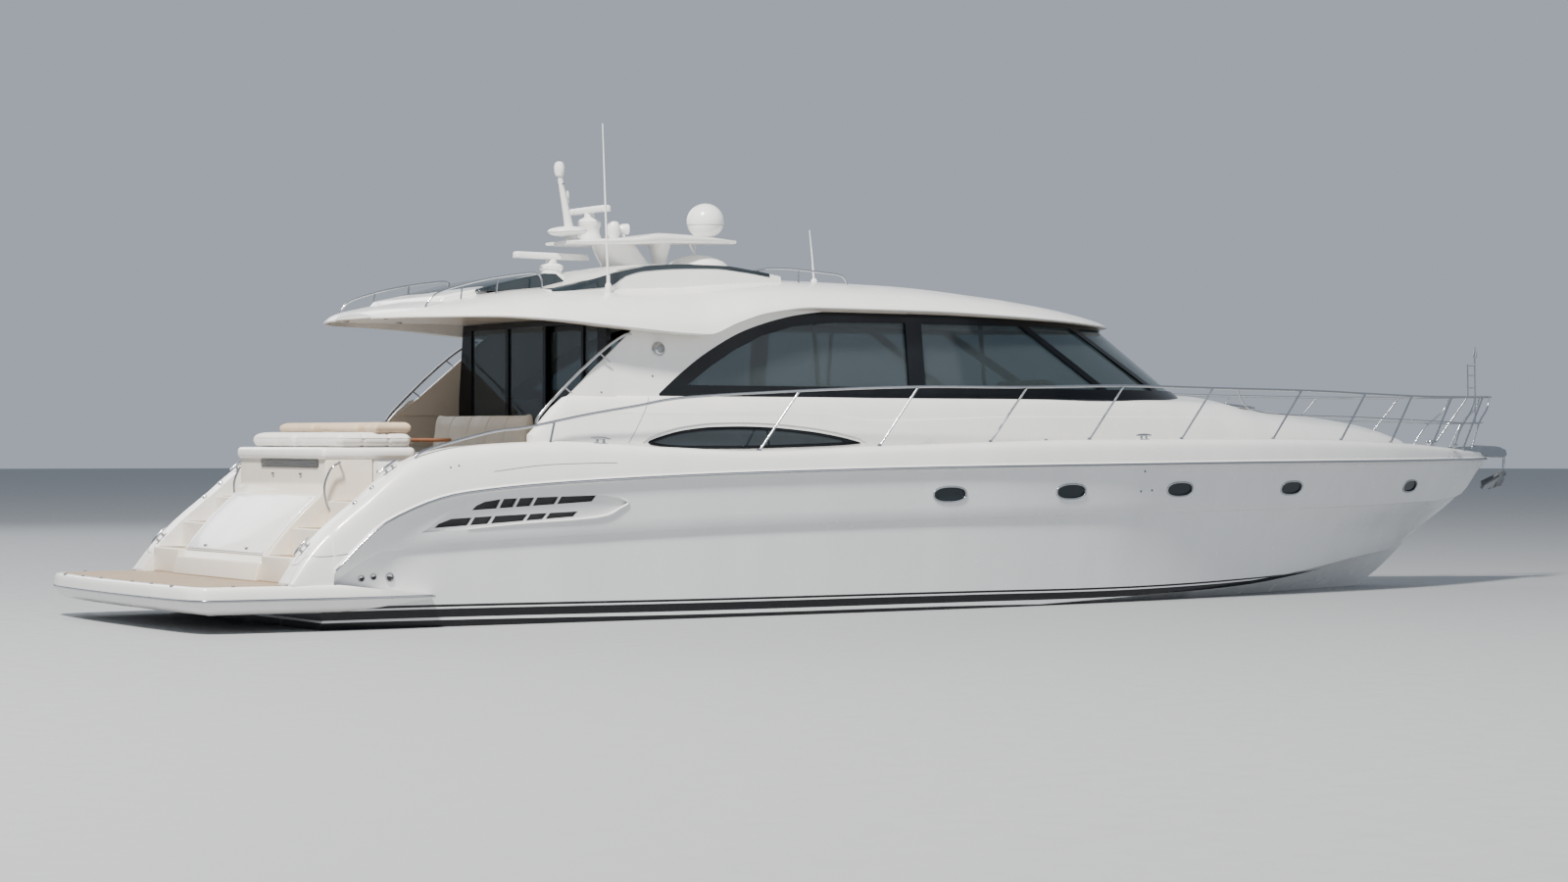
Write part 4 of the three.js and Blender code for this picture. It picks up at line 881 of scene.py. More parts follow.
@dataclass(frozen=True)
class HullPaint(Gelcoat):
    """Hull gelcoat with the boot stripe's bands and dark bottom paint below them."""

    coat: float = 0.08
    shine: float = 0.35
    dark: Point = (0.004, 0.005, 0.007)
    band_foot: tuple[Point, ...] = ((0.0, 0.105), (1.5, 0.105), (4.7, 0.087), (8.6, 0.081), (10.3, 0.072),
        (11.8, 0.083), (13.4, 0.123), (14.5, 0.203), (15.4, 0.297), (20.0, 0.7))
    band_height: tuple[Point, ...] = ((0.0, 0.145), (1.5, 0.143), (8.6, 0.136), (11.8, 0.123),
        (13.4, 0.111), (14.5, 0.062), (15.4, 0.0), (20.0, 0.0))
    bottom_line: tuple[Point, ...] = ((0.0, 0.18), (1.5, 0.176), (4.7, 0.148), (8.6, 0.136), (10.4, 0.105),
        (12.5, 0.085), (20.0, 0.06))
    edges: tuple[tuple[float, float], ...] = ((0.25, 0.0), (0.58, 1.0), (0.65, 0.0), (0.75, 1.0))
    reach: float = 20.0

    def line(self, work: Paintwork, along: bpy.types.Node, points: Sequence[Point]) -> bpy.types.Node:
        """Returns a line's height at each place along the hull.

        Args:
            work: The paintwork.
            along: The place along the hull, from 0 to 1.
            points: The line's (x, height) points.

        Returns:
            The curve's node.
        """
        made = work.node("ShaderNodeFloatCurve")
        curve = made.mapping.curves[0].points
        while len(curve) < len(points):
            curve.new(0.5, 0.5)
        for point, (x, height) in zip(curve, points):
            point.location = (x / self.reach, height)
        made.mapping.update()
        work.link(along, "Result", made, "Value")
        return made

    def sum(self, work: Paintwork, kind: str, first: tuple, second: tuple) -> bpy.types.Node:
        """Returns a sum on two values, each a node with its output or a number.

        Args:
            work: The paintwork.
            kind: The operation.
            first: The first value.
            second: The second value.

        Returns:
            The sum's node.
        """
        made = work.node("ShaderNodeMath", {"operation": kind})
        for socket, value in enumerate((first, second)):
            if isinstance(value, tuple):
                work.link(*value, made, socket)
            else:
                made.inputs[socket].default_value = value
        return made

    def made(self) -> Material:
        """Returns the finished material.

        Returns:
            The material.
        """
        work = self.start()
        split = work.node("ShaderNodeSeparateXYZ")
        work.link(work.place, "Object", split, "Vector")
        along = work.node("ShaderNodeMapRange", From_Min=0.0, From_Max=self.reach)
        work.link(split, "X", along, "Value")
        foot, tall, bottom = (self.line(work, along, points)
            for points in (self.band_foot, self.band_height, self.bottom_line))
        above = self.sum(work, "SUBTRACT", (split, "Z"), (foot, "Value"))
        wide = self.sum(work, "MAXIMUM", (tall, "Value"), 0.0004)
        share = self.sum(work, "DIVIDE", (above, "Value"), (wide, "Value"))
        level = work.node("ShaderNodeMapRange", From_Min=-0.5, From_Max=1.5)
        work.link(share, "Value", level, "Value")
        ramp = work.node("ShaderNodeValToRGB")
        ramp.color_ramp.interpolation = "CONSTANT"
        stripes = ramp.color_ramp.elements
        stripes.remove(stripes[1])
        stripes[0].color = (1, 1, 1, 1)
        for edge, tone in self.edges:
            stripes.new(edge).color = (tone, tone, tone, 1)
        work.link(level, "Result", ramp, "Fac")
        lifted = self.sum(work, "ADD", (split, "Z"), 0.1)
        dry = self.sum(work, "GREATER_THAN", (lifted, "Value"), (bottom, "Value"))
        clear = self.sum(work, "MULTIPLY", (ramp, "Color"), (dry, "Value"))
        whole = work.node("ShaderNodeMix", {"data_type": "RGBA"})
        whole.inputs[6].default_value = (*self.dark, 1)
        work.link(clear, "Value", whole, 0)
        work.link(self.runs(work, 0.8, (2.2, 2.2, 0.4)), 2, whole, 7)
        work.link(whole, 2, work.shader, "Base Color")
        return work.material


@dataclass(frozen=True)
class Polish(Finish):
    """Bright metal, with the faint cloud and hairlines that polishing leaves."""

    rough: float = 0.13
    grain: float = 0.00003

    def made(self) -> Material:
        """Returns the finished material.

        Returns:
            The material.
        """
        work = Paintwork(self.name)
        work.set(Metallic=1.0)
        work.cloudy(work.noise(9, 4), self.colour, 0.82, self.rough * 0.6, self.rough * 1.7)
        work.bump(work.noise(90, 2, (1, 1, 0.2)), "Fac", self.grain)
        return work.material


@dataclass(frozen=True)
class Tint(Finish):
    """Tinted glass that is seen through, with a faint film on it."""

    through: float = 0.9

    def made(self) -> Material:
        """Returns the finished material.

        Returns:
            The material.
        """
        work = Paintwork(self.name)
        work.set(Transmission_Weight=self.through, IOR=1.3)
        work.cloudy(work.noise(1.3, 5), self.colour, 0.86, 0.0, 0.05)
        work.bump(work.noise(0.8, 1), "Fac", 0.0001)
        return work.material


@dataclass(frozen=True)
class Moulding(Finish):
    """A satin or matt surface: plastic, rubber, paint, with a mottled colour and a fine grain."""

    rough: float = 0.45
    grain: float = 0.0001
    cells: float = 140
    mottle: float = 0.85

    def made(self) -> Material:
        """Returns the finished material.

        Returns:
            The material.
        """
        work = Paintwork(self.name)
        work.cloudy(work.noise(4, 5), self.colour, self.mottle, self.rough * 0.8, self.rough * 1.2)
        work.bump(work.noise(self.cells, 2), "Fac", self.grain)
        return work.material


@dataclass(frozen=True)
class NonSkid(Moulding):
    """Deck moulding with a pressed pattern of small raised diamonds."""

    pitch: float = 110

    def made(self) -> Material:
        """Returns the finished material.

        Returns:
            The material.
        """
        work = Paintwork(self.name)
        cloud = work.noise(2.2, 5)
        colour = work.blend(cloud, "Fac", self.colour, shade(self.colour, self.mottle))
        work.link(colour, 2, work.shader, "Base Color")
        work.set(Roughness=self.rough)
        diamonds = work.node("ShaderNodeTexVoronoi", {"distance": "CHEBYCHEV"}, Scale=self.pitch,
            Randomness=0.0)
        work.link(work.scaled((1, 1, 0.001), (0, 0, 45)), "Vector", diamonds, "Vector")
        work.bump(diamonds, "Distance", -0.0009)
        return work.material


@dataclass(frozen=True)
class Planking(Finish):
    """Weathered teak laid fore and aft: boards of slightly different brown with dark seams between."""

    colour: Point = (0.42, 0.31, 0.21)
    seam: Point = (0.05, 0.045, 0.04)
    board: float = 0.055
    length: float = 1.9

    def made(self) -> Material:
        """Returns the finished material.

        Returns:
            The material.
        """
        work = Paintwork(self.name)
        boards = work.node("ShaderNodeTexBrick", {"offset": 0.37, "offset_frequency": 2}, Scale=1.0,
            Brick_Width=self.length, Row_Height=self.board, Mortar_Size=0.0028, Mortar_Smooth=0.2, Bias=0.0)
        boards.inputs["Color1"].default_value = (*self.colour, 1)
        boards.inputs["Color2"].default_value = (*shade(self.colour, 0.78), 1)
        boards.inputs["Mortar"].default_value = (*self.seam, 1)
        work.link(work.place, "Object", boards, "Vector")
        grain = work.noise(26, 6, (0.12, 1.6, 1))
        tone = work.node("ShaderNodeMix", {"data_type": "RGBA", "blend_type": "MULTIPLY"})
        tone.inputs[0].default_value = 0.8
        work.link(boards, "Color", tone, 6)
        work.link(work.blend(grain, "Fac", (1.1, 1.07, 1.02), (0.68, 0.66, 0.64)), 2, tone, 7)
        work.link(tone, 2, work.shader, "Base Color")
        work.link(work.span(grain, "Fac", 0.5, 0.75), "Result", work.shader, "Roughness")
        fibres = work.bump(grain, "Fac", 0.0004)
        work.bump(boards, "Fac", -0.0016, fibres)
        return work.material


@dataclass(frozen=True)
class Hide(Finish):
    """Marine vinyl or cloth: a fine pebbled grain, softly soiled, with a slight sheen."""

    rough: float = 0.55
    pebble: float = 420

    def made(self) -> Material:
        """Returns the finished material.

        Returns:
            The material.
        """
        work = Paintwork(self.name)
        work.set(Sheen_Weight=0.15, Sheen_Roughness=0.5)
        soil = work.noise(2.6, 6)
        colour = work.blend(work.span(soil, "Fac", 0, 1, 0.35, 0.8), "Result", self.colour,
            shade(self.colour, 0.86))
        work.link(colour, 2, work.shader, "Base Color")
        work.link(work.span(soil, "Fac", self.rough * 0.85, self.rough * 1.15), "Result", work.shader,
            "Roughness")
        cells = work.node("ShaderNodeTexVoronoi", Scale=self.pebble)
        work.link(work.place, "Object", cells, "Vector")
        grain = work.bump(cells, "Distance", 0.0004)
        work.bump(work.noise(11, 3), "Fac", 0.0025, grain)
        return work.material


# Finishes of the boat and the floor
# The hull's white is greyer and bluer than the deck's white gelcoat: painted shade and painted water
# reflection on the topsides.
HULL_PAINT = HullPaint("hull_paint", (0.77, 0.78, 0.785))
WHITE = Gelcoat("white_gelcoat")
CREAM = Gelcoat("cream_gelcoat", (0.8, 0.73, 0.63), gloss=0.34)
PLASTIC = Gelcoat("white_plastic", (0.85, 0.85, 0.84), gloss=0.28)
BLACK = Gelcoat("black_glaze", (0.003, 0.004, 0.006), 0.18, streak=0.6, fine=0.00002, coat=0.0, shine=0.2)
DARK_GLASS = Gelcoat("dark_pane", (0.022, 0.031, 0.037), 0.05, streak=0.8, fine=0.0, coat=0.0, shine=0.3)
SKID = NonSkid("deck_nonskid", (0.78, 0.76, 0.71), 0.6)
TEAK = Planking("teak_planks")
JOINERY = Planking("cherry_joinery", (0.26, 0.11, 0.05), seam=(0.2, 0.09, 0.04), board=0.4, length=3.0)
STEEL = Polish("stainless_tube", (0.5, 0.515, 0.54))
BRONZE = Polish("cast_bronze", (0.62, 0.43, 0.2), 0.3, grain=0.0001)
GLASS = Tint("tinted_pane", (0.27, 0.335, 0.355))
LENS = Tint("lamp_lens", (0.92, 0.93, 0.95), through=0.8)
RUBBER = Moulding("black_rubber", (0.02, 0.02, 0.022), 0.6)
GREY = Moulding("grey_panel", (0.09, 0.1, 0.11), 0.4)
MACHINE = Moulding("engine_paint", (0.55, 0.57, 0.58), 0.4, grain=0.0003)
CARPET = Moulding("saloon_carpet", (0.3, 0.26, 0.21), 0.9, grain=0.002, cells=260, mottle=0.6)
FLOOR_PAINT = Moulding("floor_paint", (0.33, 0.34, 0.35), 0.75, grain=0.0002, cells=60, mottle=0.985)
WHITE_VINYL = Hide("white_vinyl", (0.82, 0.8, 0.76))
CREAM_VINYL = Hide("cream_vinyl", (0.79, 0.74, 0.64))
TAN = Hide("tan_cloth", (0.63, 0.48, 0.335), 0.8, pebble=620)


def facing_up(face: bpy.types.MeshPolygon) -> bool:
    """Tells whether a face looks up."""
    return face.normal.z > 0.9


def facing_in(face: bpy.types.MeshPolygon) -> int:
    """Tells as 0 or 1 whether a face looks towards the centreline."""
    return int(face.normal.y * math.copysign(1, face.center.y) < -0.5)


Surface = Callable[[float, float], float]


def let_in(name: str, outline: Sequence[Point], surface: Surface, inner: float, outer: float,
        side: float) -> Object:
    """Makes a prism that follows a side of the boat.

    Args:
        name: The piece's name.
        outline: Its outline seen from the side, as (x, z).
        surface: The half breadth of the boat's side at x and z.
        inner: How far outside that side its inner face lies; a negative number lies within.
        outer: How far outside that side its outer face lies.
        side: 1 for port and -1 for starboard.

    Returns:
        The prism.
    """
    rings = [[(x, side * (surface(x, z) + out), z) for x, z in outline] for out in (inner, outer)]
    return skin(name, rings)


def oval(x: float, z: float, wide: float, high: float) -> Ring:
    """Returns a slightly squared oval round a place on the boat's side, as (x, z).

    Args:
        x: The middle's place along the boat.
        z: The middle's height.
        wide: Half its width.
        high: Half its height.

    Returns:
        The oval's points.
    """
    line = []
    for angle in turns(40):
        c, s = math.cos(angle), math.sin(angle)
        line.append((x + wide * math.copysign(abs(c) ** 0.85, c),
            z + high * math.copysign(abs(s) ** 0.85, s)))
    return line


def across(half: Sequence[Point]) -> Ring:
    """Returns a plan outline from its port half, given from aft to fore."""
    return [*half, *[(x, -y) for x, y in reversed(half)]]


def inset(outline: Sequence[Point], by: float) -> Ring:
    """Returns a closed outline moved inwards by a distance.

    Args:
        outline: The outline.
        by: The distance.

    Returns:
        The new outline.
    """
    area = sum(a[0] * b[1] - b[0] * a[1] for a, b in zip(outline, [*outline[1:], outline[0]]))
    turn = 1.0 if area > 0 else -1.0
    line = []
    for k, (a, b) in enumerate(outline):
        before, after = outline[k - 1], outline[(k + 1) % len(outline)]
        first, second = (Vector((a - before[0], b - before[1])), Vector((after[0] - a, after[1] - b)))
        way = (first.normalized() + second.normalized()) if first.length > 1e-6 else second.normalized()
        way = way.normalized()
        slack = max(0.45, way.dot(second.normalized()))
        line.append((a - way.y * turn * by / slack, b + way.x * turn * by / slack))
    return line


# Hull
@dataclass
class HullShell:
    """The hull with its knuckle, engine-room vents, portholes, exhausts and boot stripe."""

    wall: float = 0.06
    spacing: float = 0.26
    recess: float = 0.034
    port_lights: tuple[tuple[float, float, float, float], ...] = ((8.03, 1.4, 0.235, 0.088),
        (9.9, 1.415, 0.23, 0.088), (11.74, 1.425, 0.225, 0.086), (13.9, 1.42, 0.215, 0.084),
        (16.81, 1.41, 0.19, 0.078))
    exhausts: tuple[tuple[float, float, float], ...] = ((0.432, 0.556, 0.04), (0.574, 0.569, 0.038),
        (0.769, 0.562, 0.052))
    vent_field: tuple[Point, ...] = ((1.1, 1.045), (1.28, 1.165), (1.47, 1.292), (1.78, 1.378),
        (2.14, 1.425), (2.6, 1.437), (3.25, 1.44), (3.52, 1.4), (3.62, 1.345), (3.52, 1.285),
        (3.35, 1.205), (3.0, 1.165), (2.26, 1.125), (1.65, 1.075))
    upper_row: tuple[tuple[float, float], ...] = ((1.7, 2.0), (2.03, 2.2), (2.23, 2.41), (2.44, 2.71),
        (2.74, 3.18))
    lower_row: tuple[tuple[float, float], ...] = ((1.26, 1.66), (1.69, 1.91), (1.94, 2.34), (2.37, 2.58),
        (2.61, 2.96))

    def stations(self) -> list[float]:
        """Returns the hull's stations, closer at the bow."""
        return [*spaced(0, 1.6, 0.16), *spaced(1.6, 15.4, self.spacing)[1:], *spaced(15.4, BOW, 0.13)[1:]]

    def walled(self, x: float) -> Ring:
        """Returns the ring at x, down one face of the wall and back up the other.

        Args:
            x: A place along the boat.

        Returns:
            The ring's points.
        """
        outer = both_sides(hull_half(x), x)
        top = HULL.at(x)["rail_z"]
        inner = []
        for _, y, z in reversed(outer):
            share = min(self.wall / max(math.hypot(y, top - z), 1e-4), 0.35)
            inner.append((x, y * (1 - share), z + (top - z) * share))
        return [*outer, *inner]

    def shell(self) -> Object:
        """Returns the bare hull, open on top, with its transom.

        Returns:
            The hull.
        """
        piece = skin("hull_shell", [self.walled(x) for x in self.stations()])
        low = [(y, z) for y, z in hull_half(0.0) if z < 0.47]
        edge = hull_side(0.0, 0.49) - 0.001
        half = [(edge, 0.49), *[(y - 0.001, z + 0.001) for y, z in low]]
        plate = slab("transom", half + [(-y, z) for y, z in reversed(half)], 0.0005, self.wall, Plane.YZ)
        carve(piece, [plate], "UNION")
        return carve(piece, [block("stern_step", (-0.02, -3, 0.5), (0.06, 3, 3))])

    def louvres(self) -> list[Ring]:
        """Returns the outlines of the vent's slots, as (x, z).

        Returns:
            One outline for each slot.
        """
        upper_low = SmoothLine([1.6, 3.3], [1.276, 1.37])
        upper_high = SmoothLine([1.7, 1.83, 2.01, 3.3], [1.305, 1.368, 1.4, 1.434])
        lower_low = SmoothLine([1.2, 1.71, 3.1], [1.088, 1.117, 1.205])
        lower_high = SmoothLine([1.26, 1.42, 1.65, 3.1], [1.11, 1.186, 1.2, 1.258])
        slots = []
        for row, low, high in ((self.upper_row, upper_low, upper_high),
                (self.lower_row, lower_low, lower_high)):
            for a, b in row:
                over = 0.05
                slots.append([(a, low(a)), (b, low(b)), (b + over, high(b + over)),
                    ((a + b) / 2, high((a + b) / 2)), (a + over, high(a + over))])
        return slots

    def cut_sides(self, piece: Object) -> None:
        """Cuts the vents and portholes into both sides.

        Args:
            piece: The hull.
        """
        for side in SIDES.values():
            carve(piece, [let_in("vent_recess", self.vent_field, hull_side, -self.recess, 0.2, side)])
            slots = [let_in("slot", slot, hull_side, -0.15, 0.2, side) for slot in self.louvres()]
            lights = [let_in("light", oval(x, z, w, h), hull_side, -0.03, 0.2, side)
                for x, z, w, h in self.port_lights]
            carve(piece, [joined("slots", slots + lights)])

    def vent_boxes(self, name: str, side: float) -> None:
        """Puts the dark boxes behind one side's vents, and the lip of the scoop below them.

        Args:
            name: The side's name.
            side: 1 for port and -1 for starboard.
        """
        back = let_in(f"vent_box_{name}", inset(self.vent_field, -0.01), hull_side, -0.16, -self.wall
            - 0.006, side)
        fit(back, RUBBER)
        lip = [self.vent_field[k] for k in (13, 12, 11, 10, 9, 8, 7)]
        path = [(x, side * (hull_side(x, z) + 0.004), z) for x, z in fair(lip, 6)]
        radii = [0.005 + 0.013 * math.sin(math.pi * k / (len(path) - 1)) for k in range(len(path))]
        fit(pipe(f"vent_lip_{name}", path, radii), WHITE)

    def port_light(self, name: str, place: tuple[float, float, float, float], side: float) -> None:
        """Fits one porthole: a bright rim and a dark pane set in it.

        Args:
            name: The piece's name.
            place: Its x and z, and half its width and height.
            side: 1 for port and -1 for starboard.
        """
        x, z, wide, high = place
        pane = let_in(f"{name}_pane", oval(x, z, wide - 0.004, high - 0.004), hull_side, -0.032, -0.016,
            side)
        fit(smooth(pane), DARK_GLASS)
        rim = [(a, side * (hull_side(a, b) + 0.001), b) for a, b in oval(x, z, wide + 0.004, high + 0.004)]
        fit(pipe(f"{name}_rim", rim, 0.0125, looped=True), STEEL)

    def exhaust(self, name: str, x: float, z: float, radius: float, side: float) -> None:
        """Fits one round outlet in the hull's side.

        Args:
            name: The piece's name.
            x: A place along the boat.
            z: A height over the water.
            radius: Its outer radius.
            side: 1 for port and -1 for starboard.
        """
        y = hull_side(x, z)
        profile = [(0, 0.0015), (radius * 0.62, 0.0015), (radius * 0.66, 0.004), (radius * 0.74, 0.014),
            (radius * 0.92, 0.014), (radius, 0.006), (radius, -0.006)]
        piece = smooth(turned(name, profile, (x, side * y, z), (0, side, 0)))
        inner = radius * 0.62
        dress(piece, STEEL, RUBBER,
            rule=lambda face: int(math.hypot(face.center.x - x, face.center.z - z) < inner))
        fit(piece, None)

    def build(self) -> None:
        """Builds the hull and all that is let into its sides."""
        piece = self.shell()
        self.cut_sides(piece)
        fit(smooth(piece, 24), HULL_PAINT, "hull")
        for name, side in SIDES.items():
            self.vent_boxes(name, side)
            for k, place in enumerate(self.port_lights):
                self.port_light(f"porthole_{name}_{k + 1}", place, side)
            for k, (x, z, radius) in enumerate(self.exhausts):
                self.exhaust(f"outlet_{name}_{k + 1}", x, z, radius, side)


@dataclass
class RubRail:
    """The rubbing strake along the rail line: a white base with a bright half round on it."""

    base: tuple[Point, ...] = ((-0.004, -0.032), (0.016, -0.03), (0.03, -0.02), (0.033, 0.0), (0.03, 0.02),
        (0.016, 0.03), (-0.004, 0.032))
    bead: tuple[Point, ...] = ((0.028, -0.018), (0.038, -0.014), (0.043, -0.006), (0.044, 0.0),
        (0.043, 0.006), (0.038, 0.014), (0.028, 0.018))

    def swept(self, name: str, section: Sequence[Point]) -> Object:
        """Sweeps a section of (outward, up) points along the rail line and round the bow.

        Args:
            name: The piece's name.
            section: The section's points.

        Returns:
            The swept piece.
        """
        xs = [0.06, *HullShell().stations()[1:]]
        run = [(x, HULL.at(x)["rail_y"], HULL.at(x)["rail_z"]) for x in xs]
        bend = [(BOW + 0.022, 0.03, 1.772), (BOW + 0.034, 0.0, 1.772), (BOW + 0.022, -0.03, 1.772)]
        path = [*run, *bend, *[(x, -y, z) for x, y, z in reversed(run)]]
        rings = []
        for k, (x, y, z) in enumerate(path):
            (x0, y0, _), (x1, y1, _) = path[max(0, k - 1)], path[min(len(path) - 1, k + 1)]
            length = math.hypot(x1 - x0, y1 - y0)
            out = (-(y1 - y0) / length, (x1 - x0) / length)
            rings.append([(x + out[0] * w, y + out[1] * w, z + h) for w, h in section])
        return smooth(skin(name, rings), 50)

    def build(self) -> None:
        """Builds the strake and its bead."""
        fit(self.swept("rub_rail_base", self.base), WHITE, "rub_rail")
        fit(self.swept("rub_rail_bead", self.bead), STEEL)


# Deck and deckhouse
@dataclass
class DeckMoulding:
    """The deck with its rounded quarter, side decks and foredeck, round the well of cockpit and saloon."""

    well_half: float = 2.06
    saloon_half: float = 1.78

    def half(self, x: float) -> Ring:
        """Returns one side's section at x, as (y, z).

        Args:
            x: A place along the boat.

        Returns:
            The section's points.
        """
        rail, edge = HULL.at(x), DECK.at(x)
        low = 0.5 if x < 0.06 else rail["rail_z"]
        tall = edge["z"] - low
        y, inboard = rail["rail_y"], edge["inboard"]
        outer = fair([(y - 0.001, low), (y - 0.004, low + tall * 0.25),
            (y - inboard * 0.22, low + tall * 0.7), (y - inboard * 0.55, low + tall * 0.92),
            (max(y - inboard, 0.012), edge["z"])], 4)
        lip = [(max(y - inboard - 0.03, 0.01), edge["z"] - 0.001),
            (max(y - inboard - 0.038, 0.009), edge["z"] - 0.006)]
        foot = [(max(y - inboard - 0.048, 0.007), edge["z"] - walk_drop(x))]
        return [*outer, *lip, *foot]

    def build(self) -> None:
        """Builds the deck moulding."""
        xs = [-0.43, -0.38, -0.34, -0.3, -0.25, -0.19, -0.12, -0.06, 0.0, 0.05, 0.061,
            *HullShell().stations()[1:]]
        piece = skin("deck_moulding", [both_sides(self.half(x), x) for x in xs])
        wide, narrow = self.well_half, self.saloon_half
        half = [(-2.0, wide), (3.5, wide), (3.7, narrow), (10.0, narrow), (12.0, 1.3)]
        carve(piece, [slab("well", across(half), 0, 4)])
        smooth(piece, 28)
        dress(piece, WHITE, SKID, rule=lambda face: int(facing_up(face) and face.center.x > 2.9
            and face.center.z < DECK.at(face.center.x)["z"] - 0.03))
        fit(piece, None, "deck")


def trunk_half(x: float) -> Ring:
    """Returns the deckhouse's side at x, from foot to top edge, as (y, z).

    Args:
        x: A place along the boat.

    Returns:
        The side's points.
    """
    t = TRUNK.at(x)
    foot, tall = DECK.at(x)["z"] - walk_drop(x), t["top_z"] - DECK.at(x)["z"] + walk_drop(x)
    lean = t["foot_y"] - t["top_y"]
    points = [(t["foot_y"] + 0.004, foot - 0.004), (t["foot_y"] - lean * 0.12, foot + tall * 0.35),
        (t["foot_y"] - lean * 0.4, foot + tall * 0.72), (t["foot_y"] - lean * 0.72, foot + tall * 0.93),
        (t["top_y"], t["top_z"])]
    return fair(points, 5)


def breadth(half: Sequence[Point], z: float) -> float:
    """Returns the breadth at height z of one side's section, whose (y, z) points rise.

    Args:
        half: The section's points.
        z: The height.

    Returns:
        The breadth, or the nearer end's outside it.
    """
    for (y0, z0), (y1, z1) in zip(half, half[1:]):
        if z0 <= z <= z1:
            return y0 + (y1 - y0) * ((z - z0) / max(z1 - z0, 1e-6))
    return half[0][0] if z < half[0][1] else half[-1][0]


def trunk_side(x: float, z: float) -> float:
    """Returns the deckhouse's half breadth at x and height z."""
    return breadth(trunk_half(x), z)


@dataclass
class Deckhouse:
    """The deckhouse side and raised foredeck, with a moulded ledge and a crescent window each side."""

    ledge: SmoothLine = field(default_factory=lambda: SmoothLine([6.6, 7.2, 8.35, 9.3, 11.1, 13.0, 14.4,
        15.2, 16.4], [2.36, 2.29, 2.309, 2.336, 2.34, 2.335, 2.31, 2.27, 2.16]))
    step: float = 0.014
    eye_top: SmoothLine = field(default_factory=lambda: SmoothLine([3.965, 4.18, 4.5, 4.9, 5.29, 5.68,
        6.24, 6.7, 7.03], [2.02, 2.092, 2.165, 2.205, 2.213, 2.203, 2.158, 2.088, 2.012]))
    eye_foot: SmoothLine = field(default_factory=lambda: SmoothLine([3.965, 4.25, 4.6, 5.2, 6.0, 6.64,
        7.03], [2.02, 1.966, 1.95, 1.95, 1.965, 1.985, 2.012]))
    divider: float = 5.66

    def section(self, x: float) -> Ring:
        """Returns one side's section at x up to the crown, with the ledge pressed in.

        Args:
            x: A place along the boat.

        Returns:
            The section's points.
        """
        t = TRUNK.at(x)
        side = trunk_half(x)
        line, fade = self.ledge(x), self.step * min(1.0, max(0.0, (x - 6.5) / 0.8)) * min(1.0,
            max(0.0, (16.3 - x)))
        line = min(line, t["top_z"] - 0.012)
        low = [p for p in side if p[1] < line]
        at = trunk_side(x, line)
        high = [p for p in side if p[1] > line + 0.006]
        pressed = [(max(y - fade, 0.02), z) for y, z in high]
        while len(low) + len(pressed) < len(side):
            low.append(low[-1])
        crown = fair([(t["top_y"] - fade, t["top_z"]),
            (t["top_y"] * 0.5, t["top_z"] + (t["crown_z"] - t["top_z"]) * 0.78), (0.01, t["crown_z"])], 6)
        return [*low[: len(side)], (at, line - 0.002), (max(at - fade, 0.02), line + 0.005),
            *pressed[len(low) + len(pressed) - len(side):], *crown[1:]]

    def build(self) -> None:
        """Builds the deckhouse and its windows."""
        xs = [2.56, 2.7, 2.85, 3.0, *spaced(3.1, 11.0, 0.2), *spaced(11.0, 17.3, 0.15)[1:]]
        rings = [both_sides(self.section(x), x) for x in xs]
        count = max(len(r) for r in rings)
        rings = [self.even(ring, count) for ring in rings]
        piece = skin("deckhouse_moulding", rings)
        half = [(0, 1.78), (10.0, 1.78), (11.4, 1.42), (12.0, 0.9)]
        room = slab("room", across(half), 0, 4)
        carve(piece, [room, block("cockpit_room", (0, -2.04, 0), (3.72, 2.04, 4)),
            block("hatch_shaft", (14.1, -0.24, 2.15), (14.57, 0.24, 2.8))])
        for side in SIDES.values():
            carve(piece, [let_in("halo", self.eye(-0.045), trunk_side, -0.014, 0.3, side),
                let_in("pocket", self.eye(0.0), trunk_side, -0.05, 0.3, side)])
        dress(smooth(piece, 26), WHITE, CREAM,
            rule=lambda face: int(face.center.x < 3.72 and bool(facing_in(face))))
        fit(piece, None, "deckhouse")
        for name, side in SIDES.items():
            self.window(name, side)

    def even(self, ring: Ring, count: int) -> Ring:
        """Returns a ring brought to a number of points by repeating one at its middle."""
        middle = len(ring) // 2
        return [*ring[:middle], *[ring[middle]] * (count - len(ring)), *ring[middle:]]

    def eye(self, by: float) -> Ring:
        """Returns the crescent's outline, drawn in by a distance, as (x, z).

        Args:
            by: The distance.

        Returns:
            The outline.
        """
        xs = [x for x in spaced(3.965, 7.03, 0.08) if self.eye_top(x) - self.eye_foot(x) > max(0.0, 2 * by)
            + 0.008]
        reach = 0.03 + max(0.0, -by) * 1.6
        tips = [(end + way * reach, (self.eye_top(end) + self.eye_foot(end)) / 2)
            for end, way in ((xs[0], -1), (xs[-1], 1))]
        return [tips[0], *[(x, self.eye_foot(x) + by) for x in xs], tips[1],
            *[(x, self.eye_top(x) - by) for x in reversed(xs)]]

    def window(self, name: str, side: float) -> None:
        """Fits one crescent window: black frame, dark pane and a slim divider.

        Args:
            name: The side's name.
            side: 1 for port and -1 for starboard.
        """
        frame = let_in(f"deck_window_frame_{name}", self.eye(0.001), trunk_side, -0.046, -0.003, side)
        carve(frame, [let_in("opening", self.eye(0.036), trunk_side, -0.1, 0.1, side)])
        fit(smooth(soften(frame, 0.003, 2)), BLACK, f"deck_window_{name}")
        pane = let_in(f"deck_window_pane_{name}", self.eye(0.032), trunk_side, -0.04, -0.014, side)
        fit(smooth(pane), DARK_GLASS)
        low, high, x = 1.975, 2.185, self.divider
        bar = [(x, low), (x + 0.022, low), (x + 0.012, high), (x - 0.01, high)]
        fit(let_in(f"deck_window_bar_{name}", bar, trunk_side, -0.03, -0.01, side), BLACK)


